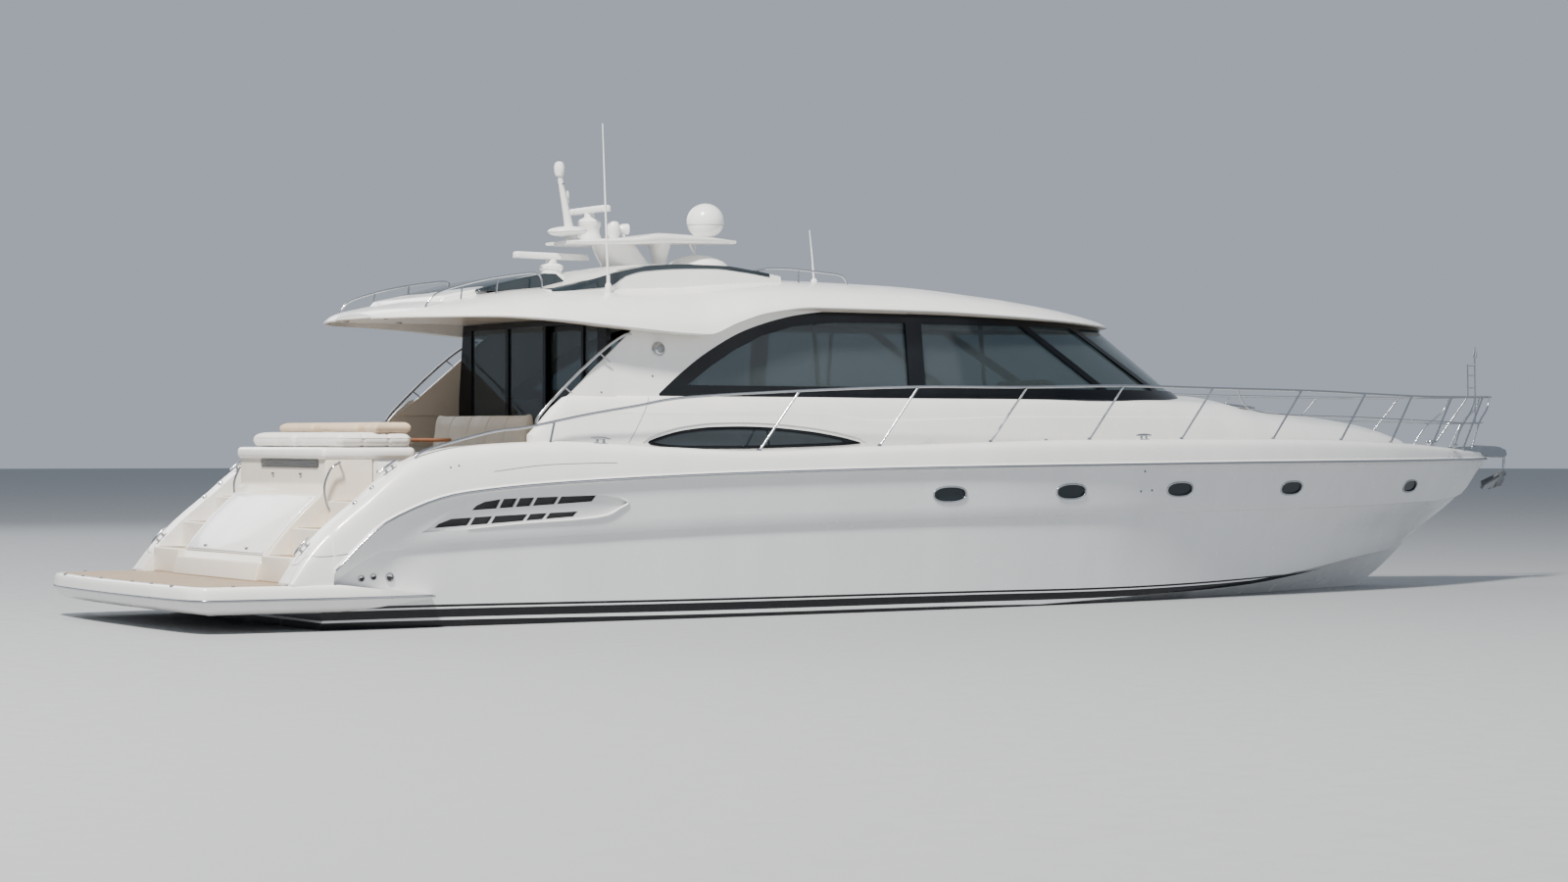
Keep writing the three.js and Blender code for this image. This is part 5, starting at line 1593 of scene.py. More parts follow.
# Cabin
WING_AFT = ((3.1, SILL), (4.33, HOUSE_TOP))
ARCH = ((4.29, 2.59), (4.6, 2.83), (4.98, 3.08), (5.51, 3.34), (6.21, 3.53), (7.0, 3.62))
SIDE_PANE = ((4.68, 2.69), (5.0, 2.905), (5.35, 3.105), (5.75, 3.285), (6.25, 3.415), (6.8, 3.465),
    (7.83, 3.475), (7.83, 2.69))


@dataclass
class Cabin:
    """The wrapped cabin: white wings, black frame and tinted panes under the hardtop."""

    wall: float = 0.034
    low: float = 2.69
    high: float = 3.47
    bars: tuple[tuple[float, float, float], ...] = ((11.1, 9.45, 0.15), (12.26, 10.4, 0.15))
    middle_bar: tuple[float, float] = (7.83, 8.07)
    posts: tuple[float, ...] = (6.54, 9.01)

    def plan(self, z: float, within: float) -> Ring:
        """Returns the wall's plan at height z, set in by a distance, from aft port round to starboard.

        Args:
            z: A height over the water.
            within: How far the plan is set in.

        Returns:
            The plan's points.
        """
        aft, side, nose, reach = house_lines(z)
        aft, side, reach = aft - within, side - within, reach - within
        straight = [(2.4 + (nose - 2.4) * t, aft + (side - aft) * t) for t in spaced(0, 1, 0.05)[:-1]]
        round_nose = [(nose + reach * math.cos(a), side * math.sin(a))
            for a in (math.pi / 2 * (1 - k / 36) for k in range(37))]
        half = straight + round_nose
        return [(x, y, z) for x, y in half] + [(x, -y, z) for x, y in reversed(half[:-1])]

    def shell(self, name: str, within: float, thickness: float, foot: float = SILL) -> Object:
        """Returns a wall of the cabin that starts so far inside its face, cut off under the roof.

        Args:
            name: The piece's name.
            within: How far inside the cabin's face it starts.
            thickness: The wall's thickness.
            foot: The height it starts at.

        Returns:
            The wall.
        """
        levels = spaced(foot, HOUSE_TOP, 0.21)
        piece = skin(name, [self.plan(z, within) for z in levels], closed=False, ends=False)
        apply(piece, "SOLIDIFY", thickness=thickness, offset=self.inward(piece))
        line = [(x, ROOF.at(x)["under_z"] + 0.012) for x in spaced(2, 11.95, 0.5)] + [(14, 3.516)]
        return carve(piece, [side_cut("roof_cut", [*line, (14, 6), (2, 6)])])

    def inward(self, piece: Object) -> float:
        """Returns the offset that makes a wall grow inwards, whichever way its faces look."""
        face = min(piece.data.polygons, key=lambda f: abs(f.center.x - 5) - f.center.y)
        return -1.0 if face.normal.y > 0 else 1.0

    def bar_x(self, bar: int, z: float) -> float:
        """Returns the middle of a slanted bar at height z."""
        sill, roof, _ = self.bars[bar]
        return sill + (roof - sill) * (z - SILL) / (HOUSE_TOP - SILL)

    def openings(self) -> list[Object]:
        """Returns the tools that cut the panes' openings through both sides.

        Returns:
            The tools.
        """
        a, b = self.bars[0][2] / 2, self.bars[1][2] / 2
        low, high = self.low, self.high
        outlines = {"side": list(SIDE_PANE),
            "middle": [(self.middle_bar[1], low), (self.middle_bar[1], high),
            (self.bar_x(0, high) - a, high), (self.bar_x(0, low) - a, low)],
            "quarter": [(self.bar_x(0, low) + a, low), (self.bar_x(0, high) + a, high),
            (self.bar_x(1, high) - b, high), (self.bar_x(1, low) - b, low)]}
        tools = [side_cut(name, line) for name, line in outlines.items()]
        front = [(self.bar_x(1, low) + b, low), (self.bar_x(1, high) + b, high), (14, high), (14, low)]
        return tools + [side_cut("front_port", front, 0.045), side_cut("front_stbd", front, high=-0.045)]

    def arch(self, name: str) -> Object:
        """Returns the tool that keeps what lies aft of the window's arch."""
        line = [*fair(ARCH, 8), (7.0, 5.0), (2.0, 5.0), (2.0, 2.0), (4.0, 2.0), (4.29, SILL - 0.04)]
        return side_cut(name, line)

    def behind(self) -> Object:
        """Returns the tool that trims the wings' aft edge."""
        line = [(1.0, 2.0), (WING_AFT[0][0] - 0.8, 2.0), *WING_AFT, (WING_AFT[1][0], 5.0), (1.0, 5.0)]
        return side_cut("behind", line)

    def halves(self, whole: Object, names: dict[str, str]) -> dict[str, Object]:
        """Splits a piece down the middle and returns the halves by side.

        Args:
            whole: The piece, which is used up.
            names: The halves' names by side.

        Returns:
            The halves by side.
        """
        parts = {}
        for side, name in names.items():
            low, high = (0.0002, 4) if side == "port" else (-4, -0.0002)
            part = copied(whole, name)
            parts[side] = carve(part, [block("half", (0, low, 0), (16, high, 6))], "INTERSECT")
        bpy.data.objects.remove(whole)
        return parts

    def build(self) -> None:
        """Builds wings, frame and panes."""
        frame = self.shell("cabin_frame", 0.0, self.wall)
        wings = self.shell("wings", 0.0, self.wall, SILL - 0.2)
        carve(frame, [self.behind(), self.arch("arch"), *self.openings()])
        fit(smooth(frame), BLACK, "window_frame")
        carve(wings, [self.behind()])
        carve(wings, [self.arch("arch")], "INTERSECT")
        for side, part in self.halves(wings, {s: f"cabin_wing_{s}" for s in SIDES}).items():
            dress(smooth(part), WHITE, CREAM, rule=facing_in)
            fit(part, None, f"side_wing_{side}")
        self.panes()
        for side, sign in SIDES.items():
            for k, x in enumerate(self.posts):
                self.post(f"window_post_{side}_{k + 1}", x, sign)

    def panes(self) -> None:
        """Builds the side panes and the windscreen behind the frame."""
        glass = self.shell("glass", self.wall + 0.0006, 0.008)
        band = [(4.55, self.low - 0.04), (5.05, 3.05), (5.65, 3.33), (6.2, 3.46), (6.7, 3.51), (14, 3.51),
            (14, self.low - 0.04)]
        carve(glass, [side_cut("band", band)], "INTERSECT")
        front_line = [(self.bar_x(0, 2), 2), (self.bar_x(0, 4), 4), (14, 4), (14, 2)]
        screen = carve(copied(glass, "windscreen_pane"), [side_cut("front", front_line)], "INTERSECT")
        fit(smooth(screen), GLASS, "windscreen")
        carve(glass, [side_cut("front", front_line)])
        for side, part in self.halves(glass, {s: f"side_pane_{s}" for s in SIDES}).items():
            fit(smooth(part), GLASS, f"side_glass_{side}")

    def post(self, name: str, x: float, side: float) -> None:
        """Fits one slim upright behind the side panes.

        Args:
            name: The piece's name.
            x: A place along the boat.
            side: 1 for port and -1 for starboard.
        """
        outline = [(x - 0.022, self.low - 0.03), (x + 0.022, self.low - 0.03),
            (x + 0.022, self.high + 0.03), (x - 0.022, self.high + 0.03)]
        piece = let_in(name, outline, house_half, -self.wall - 0.05, -self.wall - 0.012, side)
        fit(soften(piece, 0.004, 2), BLACK)


@dataclass
class Hardtop:
    """The roof with its rounded edge and cream underside, and the pod, visor and dome on it."""

    pod_rows: tuple[tuple[float, float, float], ...] = ((3.15, 1.5, 3.78), (3.4, 1.49, 3.845),
        (3.65, 1.48, 3.905), (4.2, 1.45, 4.04), (4.65, 1.42, 4.105), (5.1, 1.405, 4.125),
        (5.5, 1.395, 4.125), (5.9, 1.38, 4.09), (6.15, 1.36, 4.06), (6.35, 1.34, 4.032))

    def section(self, x: float) -> Ring:
        """Returns the roof's ring at x.

        Args:
            x: A place along the boat.

        Returns:
            The ring.
        """
        r = ROOF.at(x)
        tall = r["crown_z"] - r["edge_z"]
        top = fair([(0.0, r["crown_z"]), (r["half"] * 0.36, r["crown_z"] - tall * 0.05),
            (r["half"] * 0.64, r["crown_z"] - tall * 0.18), (r["half"] * 0.84, r["crown_z"] - tall * 0.42),
            (r["half"] * 0.96, r["edge_z"] + tall * 0.25), (r["half"], r["edge_z"] + 0.018)], 5)
        lip = [(r["half"] - 0.006, r["edge_z"] + 0.004), (r["half"] - 0.03, r["edge_z"])]
        skirt = min(r["edge_z"], r["under_z"])
        inner = [max(0.02, min(r["half"] - 0.06, house_half(x, z) + 0.003)) for z in (skirt, r["under_z"])]
        half = [*top, *lip, (inner[0], skirt), (inner[1] - 0.002, r["under_z"])]
        return both_sides(half, x)

    def build(self) -> None:
        """Builds the roof and what stands on it."""
        xs = [1.35, 1.38, 1.42, 1.48, 1.56, 1.65, *spaced(1.75, 4.7, 0.18), *spaced(4.7, 6.4, 0.1)[1:],
            *spaced(6.4, 10.4, 0.25)[1:], *spaced(10.4, 11.7, 0.13)[1:], 11.78, 11.85, 11.9, 11.95]
        piece = skin("hardtop_moulding", [self.section(x) for x in xs])
        smooth(piece, 30)
        dress(piece, WHITE, CREAM,
            rule=lambda face: int(face.normal.z < -0.4
            and face.center.z > ROOF.at(face.center.x)["under_z"] - 0.3
            and abs(face.center.y) < ROOF.at(face.center.x)["half"] - 0.03))
        fit(piece, None, "hardtop")
        self.pod()
        self.visor()
        self.skylight()
        self.fore_rail()
        self.fittings()

    def pod_half(self, x: float) -> Ring:
        """Returns one side of the pod's section at x, as (y, z).

        Args:
            x: A place along the boat.

        Returns:
            The section's points.
        """
        width = SmoothLine([r[0] for r in self.pod_rows], [r[1] for r in self.pod_rows])(x)
        top = SmoothLine([r[0] for r in self.pod_rows], [r[2] for r in self.pod_rows])(x)
        r = ROOF.at(x)
        low = r["crown_z"] - (r["crown_z"] - r["edge_z"]) * 0.3
        return fair([(width, low), (width * 0.985, top - 0.03), (width * 0.93, top),
            (width * 0.5, top + 0.035), (0.0, top + 0.045)], 4)

    def pod(self) -> None:
        """Builds the pod with its low dome."""
        xs = spaced(3.15, 6.35, 0.08)
        piece = skin("roof_pod_moulding", [both_sides(self.pod_half(x), x) for x in xs])
        profile = [(0.0, 0.0), (0.42, 0.0), (0.415, 0.03), (0.39, 0.075), (0.34, 0.12), (0.26, 0.16),
            (0.15, 0.19), (0.05, 0.2), (0.0, 0.2)]
        dome = turned("roof_dome", profile, (5.96, 0, 4.13))
        carve(piece, [copied(dome, "dome_part", scale=(1, 0.8, 1), centre=(5.96, 0, 4.13))], "UNION")
        bpy.data.objects.remove(dome)
        fit(smooth(piece, 35), WHITE, "roof_pod")

    def side(self, x: float, z: float) -> float:
        """Returns the pod's half breadth at x and height z."""
        return breadth(self.pod_half(x), z)

    def visor(self) -> None:
        """Wraps the dark glass band round the pod's shoulder, on each side."""
        low = SmoothLine([3.16, 3.55, 3.93, 4.16, 4.43, 5.0, 5.4, 5.8, 6.2],
            [3.745, 3.79, 3.835, 3.965, 4.03, 4.075, 4.085, 4.055, 4.005])
        xs = spaced(3.17, 6.18, 0.07)
        for name, sign in SIDES.items():
            rings = []
            for x in xs:
                shoulder = [p for p in self.pod_half(x) if p[1] > low(x) + 0.004 and p[0] > 0.6][:6]
                line = [(self.side(x, low(x)), low(x)), *shoulder]
                line += [line[-1]] * (7 - len(line))
                outer = [(x, sign * (y + 0.007), z + 0.004 * k / 6) for k, (y, z) in enumerate(line)]
                inner = [(x, sign * (y - 0.02), z - 0.004) for y, z in reversed(line)]
                rings.append([*outer, *inner])
            fit(smooth(skin(f"visor_{name}", rings), 40), DARK_GLASS)

    def skylight(self) -> None:
        """Sets the raised dark glass on the aft roof, with its white sill and rail over it."""
        line = [(2.42, 3.76), (2.47, 3.8), (3.0, 3.93), (3.3, 3.99), (3.45, 3.99), (3.6, 3.87), (3.62, 3.8)]
        glass = slab("skylight_glass", line, -1.06, 1.06, Plane.XZ, 0.02, 3)
        fit(smooth(glass), DARK_GLASS)
        sill = slab("skylight_sill", [(1.95, 3.6), (2.05, 3.705), (2.46, 3.79), (2.6, 3.8), (2.6, 3.6)],
            -0.98, 0.98, Plane.XZ, 0.025, 4)
        fit(smooth(sill, 40), WHITE)
        for name, sign in SIDES.items():
            rail = [(1.7, 1.2, 3.54), (1.74, 1.2, 3.62), (1.86, 1.2, 3.72), (2.17, 1.2, 3.82),
                (2.51, 1.2, 3.9), (2.92, 1.2, 3.965), (3.1, 1.2, 3.978), (3.17, 1.2, 3.93),
                (3.18, 1.2, 3.76)]
            bar = pipe(f"roof_rail_aft_{name}", on_side(sign, fair(rail, 6)), 0.0125)
            feet = [pipe("foot", [(x, sign * 1.2, z), (x - 0.03, sign * 1.2, z - 0.22)], 0.01)
                for x, z in ((2.17, 3.82), (2.62, 3.922))]
            fit(joined(f"roof_rail_aft_{name}", [bar, *feet]), STEEL)

    def fore_rail(self) -> None:
        """Lays a low rail on each side of the roof ahead of the pod."""
        for name, sign in SIDES.items():
            rail = [(5.9, 1.3, 3.99), (6.02, 1.3, 4.085), (6.41, 1.3, 4.118), (6.99, 1.28, 4.085),
                (7.26, 1.27, 4.05), (7.34, 1.27, 3.94)]
            bar = pipe(f"roof_rail_fore_{name}", on_side(sign, fair(rail, 8)), 0.0125)
            foot = pipe("foot", [(6.62, sign * 1.295, 4.11), (6.62, sign * 1.295, 3.92)], 0.01)
            fit(joined(f"roof_rail_fore_{name}", [bar, foot]), STEEL)

    def fittings(self) -> None:
        """Puts the whip antennas and the lamps under the overhang."""
        rod = pipe("whip_rod", [(3.84, -1.6, 3.79), (3.802, -1.6, 4.75), (3.764, -1.6, 5.708)],
            [0.015, 0.011, 0.006], detail=4)
        base = smooth(turned("whip_base", [(0, -0.09), (0.042, -0.09), (0.044, -0.03), (0.036, 0.05),
            (0.022, 0.07), (0.02, 0.16), (0.0, 0.16)], (3.84, -1.6, 3.8)))
        fit(joined("whip_long", [rod, base]), PLASTIC, "whip_antenna")
        short = pipe("whip_short", [(7.03, -1.0, 3.96), (7.0, -1.0, 4.3), (6.962, -1.0, 4.62)],
            [0.012, 0.009, 0.005])
        foot = smooth(turned("short_foot", [(0, -0.03), (0.04, -0.03), (0.04, 0.0), (0.02, 0.03),
            (0, 0.03)], (7.03, -1.0, 4.0)))
        fit(joined("whip_short", [short, foot]), PLASTIC)
        lamp = smooth(turned("lamp", [(0, -0.01), (0.034, -0.01), (0.04, -0.004), (0.04, 0.03), (0, 0.03)],
            (1.75, 0, 3.47), sides=24))
        for k, (x, y) in enumerate(((1.75, 1.1), (1.75, 0.0), (1.75, -1.1), (2.55, 1.35), (2.55, -1.35))):
            spot = copied(lamp, f"overhang_lamp_{k + 1}", move=(x - 1.75, y, 0))
            low = spot.bound_box[0][2]
            dress(spot, STEEL, LENS, rule=lambda face,
                low=low: int(face.normal.z < -0.9 and face.center.z < low + 0.002))
            fit(spot, None)
        bpy.data.objects.remove(lamp)


# Stern
@dataclass
class SwimPlatform:
    """The swim platform with its bright strip, teak top and small studs round the edge."""

    half: tuple[Point, ...] = ((-1.59, 0.0005), (-1.575, 1.0), (-1.53, 1.9), (-1.46, 2.23), (-1.29, 2.37),
        (-0.6, 2.44), (0.06, 2.49), (0.7, 2.48), (1.28, 2.425))
    levels: tuple[tuple[float, float], ...] = ((0.5, 0.058), (0.498, 0.046), (0.49, 0.032), (0.47, 0.021),
        (0.44, 0.014), (0.375, 0.012), (0.345, 0.014), (0.335, 0.022), (0.29, 0.04), (0.245, 0.08),
        (0.212, 0.16), (0.19, 0.31))

    def build(self) -> None:
        """Builds the platform."""
        outline = across(fair(self.half, 5))
        rings = [[(x, y, z) for x, y in inset(outline, by)] for z, by in reversed(self.levels)]
        piece = skin("swim_platform_moulding", rings)
        xs = spaced(0.0, 1.6, 0.16)
        rings = [both_sides([(y + 0.003, z) for y, z in hull_half(x)], x) for x in xs]
        plug = skin("hull_plug", rings)
        wedge = side_cut("wedge", [(0.08, 0.506), (0.5, 0.455), (1.34, 0.352), (1.4, 0.9), (0.08, 0.9)])
        under = side_cut("under", [(0.2, 0.05), (0.2, 0.2), (1.3, 0.338), (1.4, 0.338), (1.4, 0.05)])
        carve(piece, [plug, wedge, under, block("under_hull", (-0.001, -2.2, 0), (1.4, 2.2, 0.6))])
        fit(smooth(piece, 38), WHITE, "swim_platform")
        self.strip(outline)
        self.teak(outline)

    def strip(self, outline: Ring) -> None:
        """Lays the bright strip round the edge.

        Args:
            outline: The platform's plan.
        """
        count = len(outline) // 2
        path = [(x, y, 0.356) for x, y in inset(outline, 0.0145)]
        path = [(1.262, path[count - 1][1] - 0.006, 0.352), *reversed(path[: count - 1])]
        path = [*path, *[(x, -y, z) for x, y, z in reversed(path)]]
        radii = [0.006, *[0.0145] * (len(path) - 2), 0.006]
        fit(pipe("platform_strip", path, radii), STEEL)

    def teak(self, outline: Ring) -> None:
        """Lays the teak and the studs outside it.

        Args:
            outline: The platform's plan.
        """
        deck = slab("platform_planks", inset(outline, 0.135), 0.47, 0.5035)
        carve(deck, [block("aft_of_hull", (-0.033, -3, 0), (2, 3, 1))])
        soften(deck, 0.004, 2)
        fit(deck, TEAK, "platform_teak")
        places = [(-1.5, y) for y in (-1.7, -1.1, -0.5, 0.5, 1.1, 1.7)]
        places += [(x, y) for y in (-2.31, 2.31) for x in (-1.05, -0.45, -0.1)]
        stud = smooth(turned("stud", [(0, -0.01), (0.02, -0.01), (0.022, 0.004), (0.014, 0.014),
            (0, 0.015)], (0, 0, 0.499), sides=16))
        studs = [copied(stud, "stud", move=(x, y, 0)) for x, y in places]
        bpy.data.objects.remove(stud)
        fit(joined("platform_studs", studs), GREY)


@dataclass
class Stern:
    """The tender garage with its lid, the stairs beside it and the gates at their heads."""

    profile: tuple[Point, ...] = ((-0.38, 0.5004), (-0.33, 0.7), (-0.235, 0.775), (-0.12, 0.925),
        (0.06, 1.125), (0.23, 1.29), (0.39, 1.43), (0.47, 1.56), (0.47, 1.88), (1.04, 1.88), (1.04, 0.5004))

    def moved(self, inner: float, outer: float, short: float) -> Ring:
        """Returns the lid's outline between two offsets from the garage's slope, drawn in at its ends.

        Args:
            inner: The inner face's distance outside the slope.
            outer: The outer face's distance.
            short: How much shorter it is at each end.

        Returns:
            The outline, as (x, z).
        """
        slope = fair(self.profile[2:7], 6)
        way = Vector((slope[-1][0] - slope[0][0], slope[-1][1] - slope[0][1])).normalized()
        out = (-way.y, way.x)
        inward = [short, *[0.0] * (len(slope) - 2), -short]
        ends = [(x + way.x * by, z + way.y * by) for (x, z), by in zip(slope, inward)]
        return [*[(x + out[0] * inner, z + out[1] * inner) for x, z in ends],
            *[(x + out[0] * outer, z + out[1] * outer) for x, z in reversed(ends)]]

    def build(self) -> None:
        """Builds garage, lid, stairs, gates and the fittings on them."""
        body = slab("garage_moulding", self.profile, -1.25, 1.25, Plane.XZ, 0.022, 4)
        bay = [(-0.18, 0.56), (-0.18, 0.815), (-0.12, 0.893), (0.06, 1.093), (0.23, 1.258), (0.345, 1.36),
            (0.9, 1.36), (0.9, 0.56)]
        carve(body, [slab("lid_bed", self.moved(-0.046, 0.09, 0.0), -1.206, 1.206, Plane.XZ),
            slab("bay", bay, -1.14, 1.14, Plane.XZ),
            block("slot_bed", (0.44, -1.05, 1.745), (0.5, 0.62, 1.835), 0.012)])
        fit(smooth(body, 35), CREAM, "garage")
        lid = slab("garage_lid_moulding", self.moved(-0.0445, 0.012, 0.006), -1.197, 1.197, Plane.XZ, 0.01,
            4)
        fit(smooth(lid, 35), WHITE, "garage_lid", body="garage_lid")
        lip = slab("lid_panel", self.moved(0.008, 0.021, 0.07), -1.12, 1.12, Plane.XZ, 0.0055, 3)
        fit(smooth(lip, 35), WHITE, body="garage_lid")
        # The blades are dark grey as painted shade of the slot under the bench's lip.
        louvres = [block("blade", (0.452, -1.03, z), (0.466, 0.6, z + 0.012), 0.003, 2)
            for z in (1.756, 1.777, 1.798, 1.819)]
        fit(joined("bench_louvres", louvres), GREY)
        for name, sign in SIDES.items():
            self.stairs(name, sign)
            self.gate(name, sign)
            self.grab_rail(name, sign)
        self.latches()

    def stairs(self, name: str, side: float) -> None:
        """Builds one side's stairs with a tread on each.

        Args:
            name: The side's name.
            side: 1 for port and -1 for starboard.
        """
        outline = [(-0.3, 0.5004), (-0.3, 0.79), (0.06, 0.79), (0.06, 1.085), (0.48, 1.085), (0.48, SOLE),
            (1.04, SOLE), (1.04, 0.5004)]
        low, high = (1.2504, 2.0596) if side > 0 else (-2.0596, -1.2504)
        piece = slab(f"stairs_moulding_{name}", outline, low, high, Plane.XZ, 0.018, 4)
        fit(smooth(piece, 35), CREAM, f"stairs_{name}")
        treads = [block("tread", (x0 + 0.05, low + 0.07, z - 0.006), (x1 - 0.045, high - 0.07, z + 0.004),
            0.003, 2) for x0, x1, z in ((-0.3, 0.06, 0.79), (0.06, 0.48, 1.085), (0.48, 1.04, SOLE))]
        fit(joined(f"stair_treads_{name}", treads), TEAK)

    def gate(self, name: str, side: float) -> None:
        """Builds one gate with its steel post, panel and knob.

        Args:
            name: The side's name.
            side: 1 for port and -1 for starboard.
        """
        low, high = (1.262, 2.004) if side > 0 else (-2.004, -1.262)
        panel = block(f"gate_panel_{name}", (1.052, low, SOLE + 0.014), (1.088, high, 1.81), 0.014, 4)
        fit(smooth(panel), WHITE, f"gate_{name}", body=f"gate_{name}")
        post = pipe(f"gate_post_{name}", [(1.07, side * 1.99, SOLE + 0.001), (1.07, side * 1.99, 1.809)],
            0.018)
        knob = smooth(turned("knob", [(0, -0.024), (0.017, -0.022), (0.02, -0.018), (0.02, 0.018),
            (0.017, 0.022), (0, 0.024)], (1.07, side * 1.33, 1.7), (1, 0, 0), 20))
        fit(joined(f"gate_post_{name}", [post, knob]), STEEL, body=f"gate_{name}")

    def grab_rail(self, name: str, side: float) -> None:
        """Bends the grab rail on the garage's side above the stairs.

        Args:
            name: The side's name.
            side: 1 for port and -1 for starboard.
        """
        y = side * 1.325
        path = [(0.5, side * 1.25, 1.22), (0.5, y, 1.24), (0.44, y, 1.36), (0.42, y, 1.55), (0.5, y, 1.74),
            (0.6, y, 1.8), (0.62, side * 1.25, 1.81)]
        fit(pipe(f"stair_rail_{name}", fair(path, 6), 0.0125), STEEL)

    def latches(self) -> None:
        """Puts the small latches and hooks on the panel above the lid and at the lid's foot."""
        small = [block("latch", (0.452, y - 0.03, 1.655), (0.474, y + 0.03, 1.685), 0.007, 3)
            for y in (-0.55, 0.25)]
        fit(smooth(joined("panel_latches", small)), STEEL)
        slope = self.moved(0.02, 0.028, 0.0)
        x, z = slope[3]
        pulls = [block("pull", (x - 0.022, y - 0.035, z - 0.016), (x + 0.004, y + 0.035, z + 0.008), 0.006,
            3) for y in (-0.62, 0.62)]
        fit(smooth(joined("lid_pulls", pulls)), STEEL, body="garage_lid")


def place_on(piece: Object, points: Iterable[Point], out: float) -> Ring:
    """Lays points on a piece's surface, a distance outside it.

    Args:
        piece: The piece.
        points: The points, near its surface.
        out: The distance.

    Returns:
        The points laid on it.
    """
    line = []
    for point in points:
        _, spot, normal, _ = piece.closest_point_on_mesh(Vector(point))
        line.append(tuple(spot + normal * out))
    return line


@dataclass
class Upholstery:
    """Makes padded pieces: a block blown up as cloth, with pressed channels and piping along its edges."""

    voxel: float = 0.016
    cap: float = 0.022
    pressure: float = 4.0
    steps: int = 20
    channel: tuple[float, float] = (0.012, 0.016)
    piping: float = 0.0055

    def blown(self, piece: Object) -> None:
        """Blows a block up as cloth, with no point moving further than the cap.

        Args:
            piece: The block.
        """
        apply(piece, "REMESH", mode="VOXEL", voxel_size=self.voxel)
        before = [vertex.co.copy() for vertex in piece.data.vertices]
        cloth = piece.modifiers.new("cloth", "CLOTH")
        cloth.settings.use_pressure = True
        cloth.settings.uniform_pressure_force = self.pressure
        cloth.settings.effector_weights.gravity = 0.0
        cloth.settings.quality = 4
        cloth.point_cache.frame_start, cloth.point_cache.frame_end = 1, self.steps
        for number in range(1, self.steps + 1):
            bpy.context.scene.frame_set(number)
        pick(piece)
        bpy.ops.object.modifier_apply(modifier=cloth.name)
        bpy.context.scene.frame_set(1)
        for vertex, start in zip(piece.data.vertices, before):
            step = vertex.co - start
            if step.length > self.cap:
                vertex.co = start + step.normalized() * self.cap
        apply(piece, "SMOOTH", factor=0.6, iterations=4)

    def press(self, piece: Object, axis: int, places: Sequence[float], depth: float, width: float) -> None:
        """Presses channels into a piece along planes across an axis.

        Args:
            piece: The piece.
            axis: The axis's number.
            places: Where the channels lie along it.
            depth: The channels' depth.
            width: Their half width.
        """
        normals = [vertex.normal.copy() for vertex in piece.data.vertices]
        for vertex, normal in zip(piece.data.vertices, normals):
            near = min(abs(vertex.co[axis] - place) for place in places)
            vertex.co -= normal * depth * math.exp(-((near / width) ** 2))

    def pad(self, name: str, piece: Object, cover: Finish, nodes: Sequence[str] = (),
            channels: tuple[int, Sequence[float]] | None = None, seam: Ring | None = None) -> Object:
        """Turns a block into a finished cushion.

        Args:
            name: The cushion's name.
            piece: The block it starts from, a little smaller than the cushion.
            cover: Its cover.
            nodes: The CAD nodes it stands for.
            channels: The axis and places of its sewn channels.
            seam: The closed line its piping follows, near its surface.

        Returns:
            The cushion.
        """
        piece.name = piece.data.name = name
        self.blown(piece)
        if channels:
            self.press(piece, *channels, *self.channel)
        apply(piece, "SUBSURF", levels=1, render_levels=1)
        smooth(piece, 60)
        fit(piece, cover, *nodes)
        if seam:
            line = place_on(piece, seam, 0.001)
            fit(pipe(f"{name}_piping", line, self.piping, looped=True), cover)
        return piece


def rounded_plan(low: Point, high: Point, z: float, corner: float, steps: int = 6) -> Ring:
    """Returns a rectangle's outline at height z with rounded corners, in points close together.

    Args:
        low: The lowest corner.
        high: The highest corner.
        z: The height.
        corner: The corners' radius.
        steps: How many spans each corner has.

    Returns:
        The outline.
    """
    (x0, y0), (x1, y1) = low, high
    line = []
    for cx, cy, start in ((x1 - corner, y1 - corner, 0), (x0 + corner, y1 - corner, 90),
            (x0 + corner, y0 + corner, 180), (x1 - corner, y0 + corner, 270)):
        for k in range(steps + 1):
            a = math.radians(start + 90 * k / steps)
            line.append((cx + corner * math.cos(a), cy + corner * math.sin(a), z))
    dense = []
    for a, b in zip(line, [*line[1:], line[0]]):
        count = max(1, round(math.dist(a, b) / 0.12))
        dense += [tuple(p + (q - p) * k / count for p, q in zip(a, b)) for k in range(count)]
    return dense


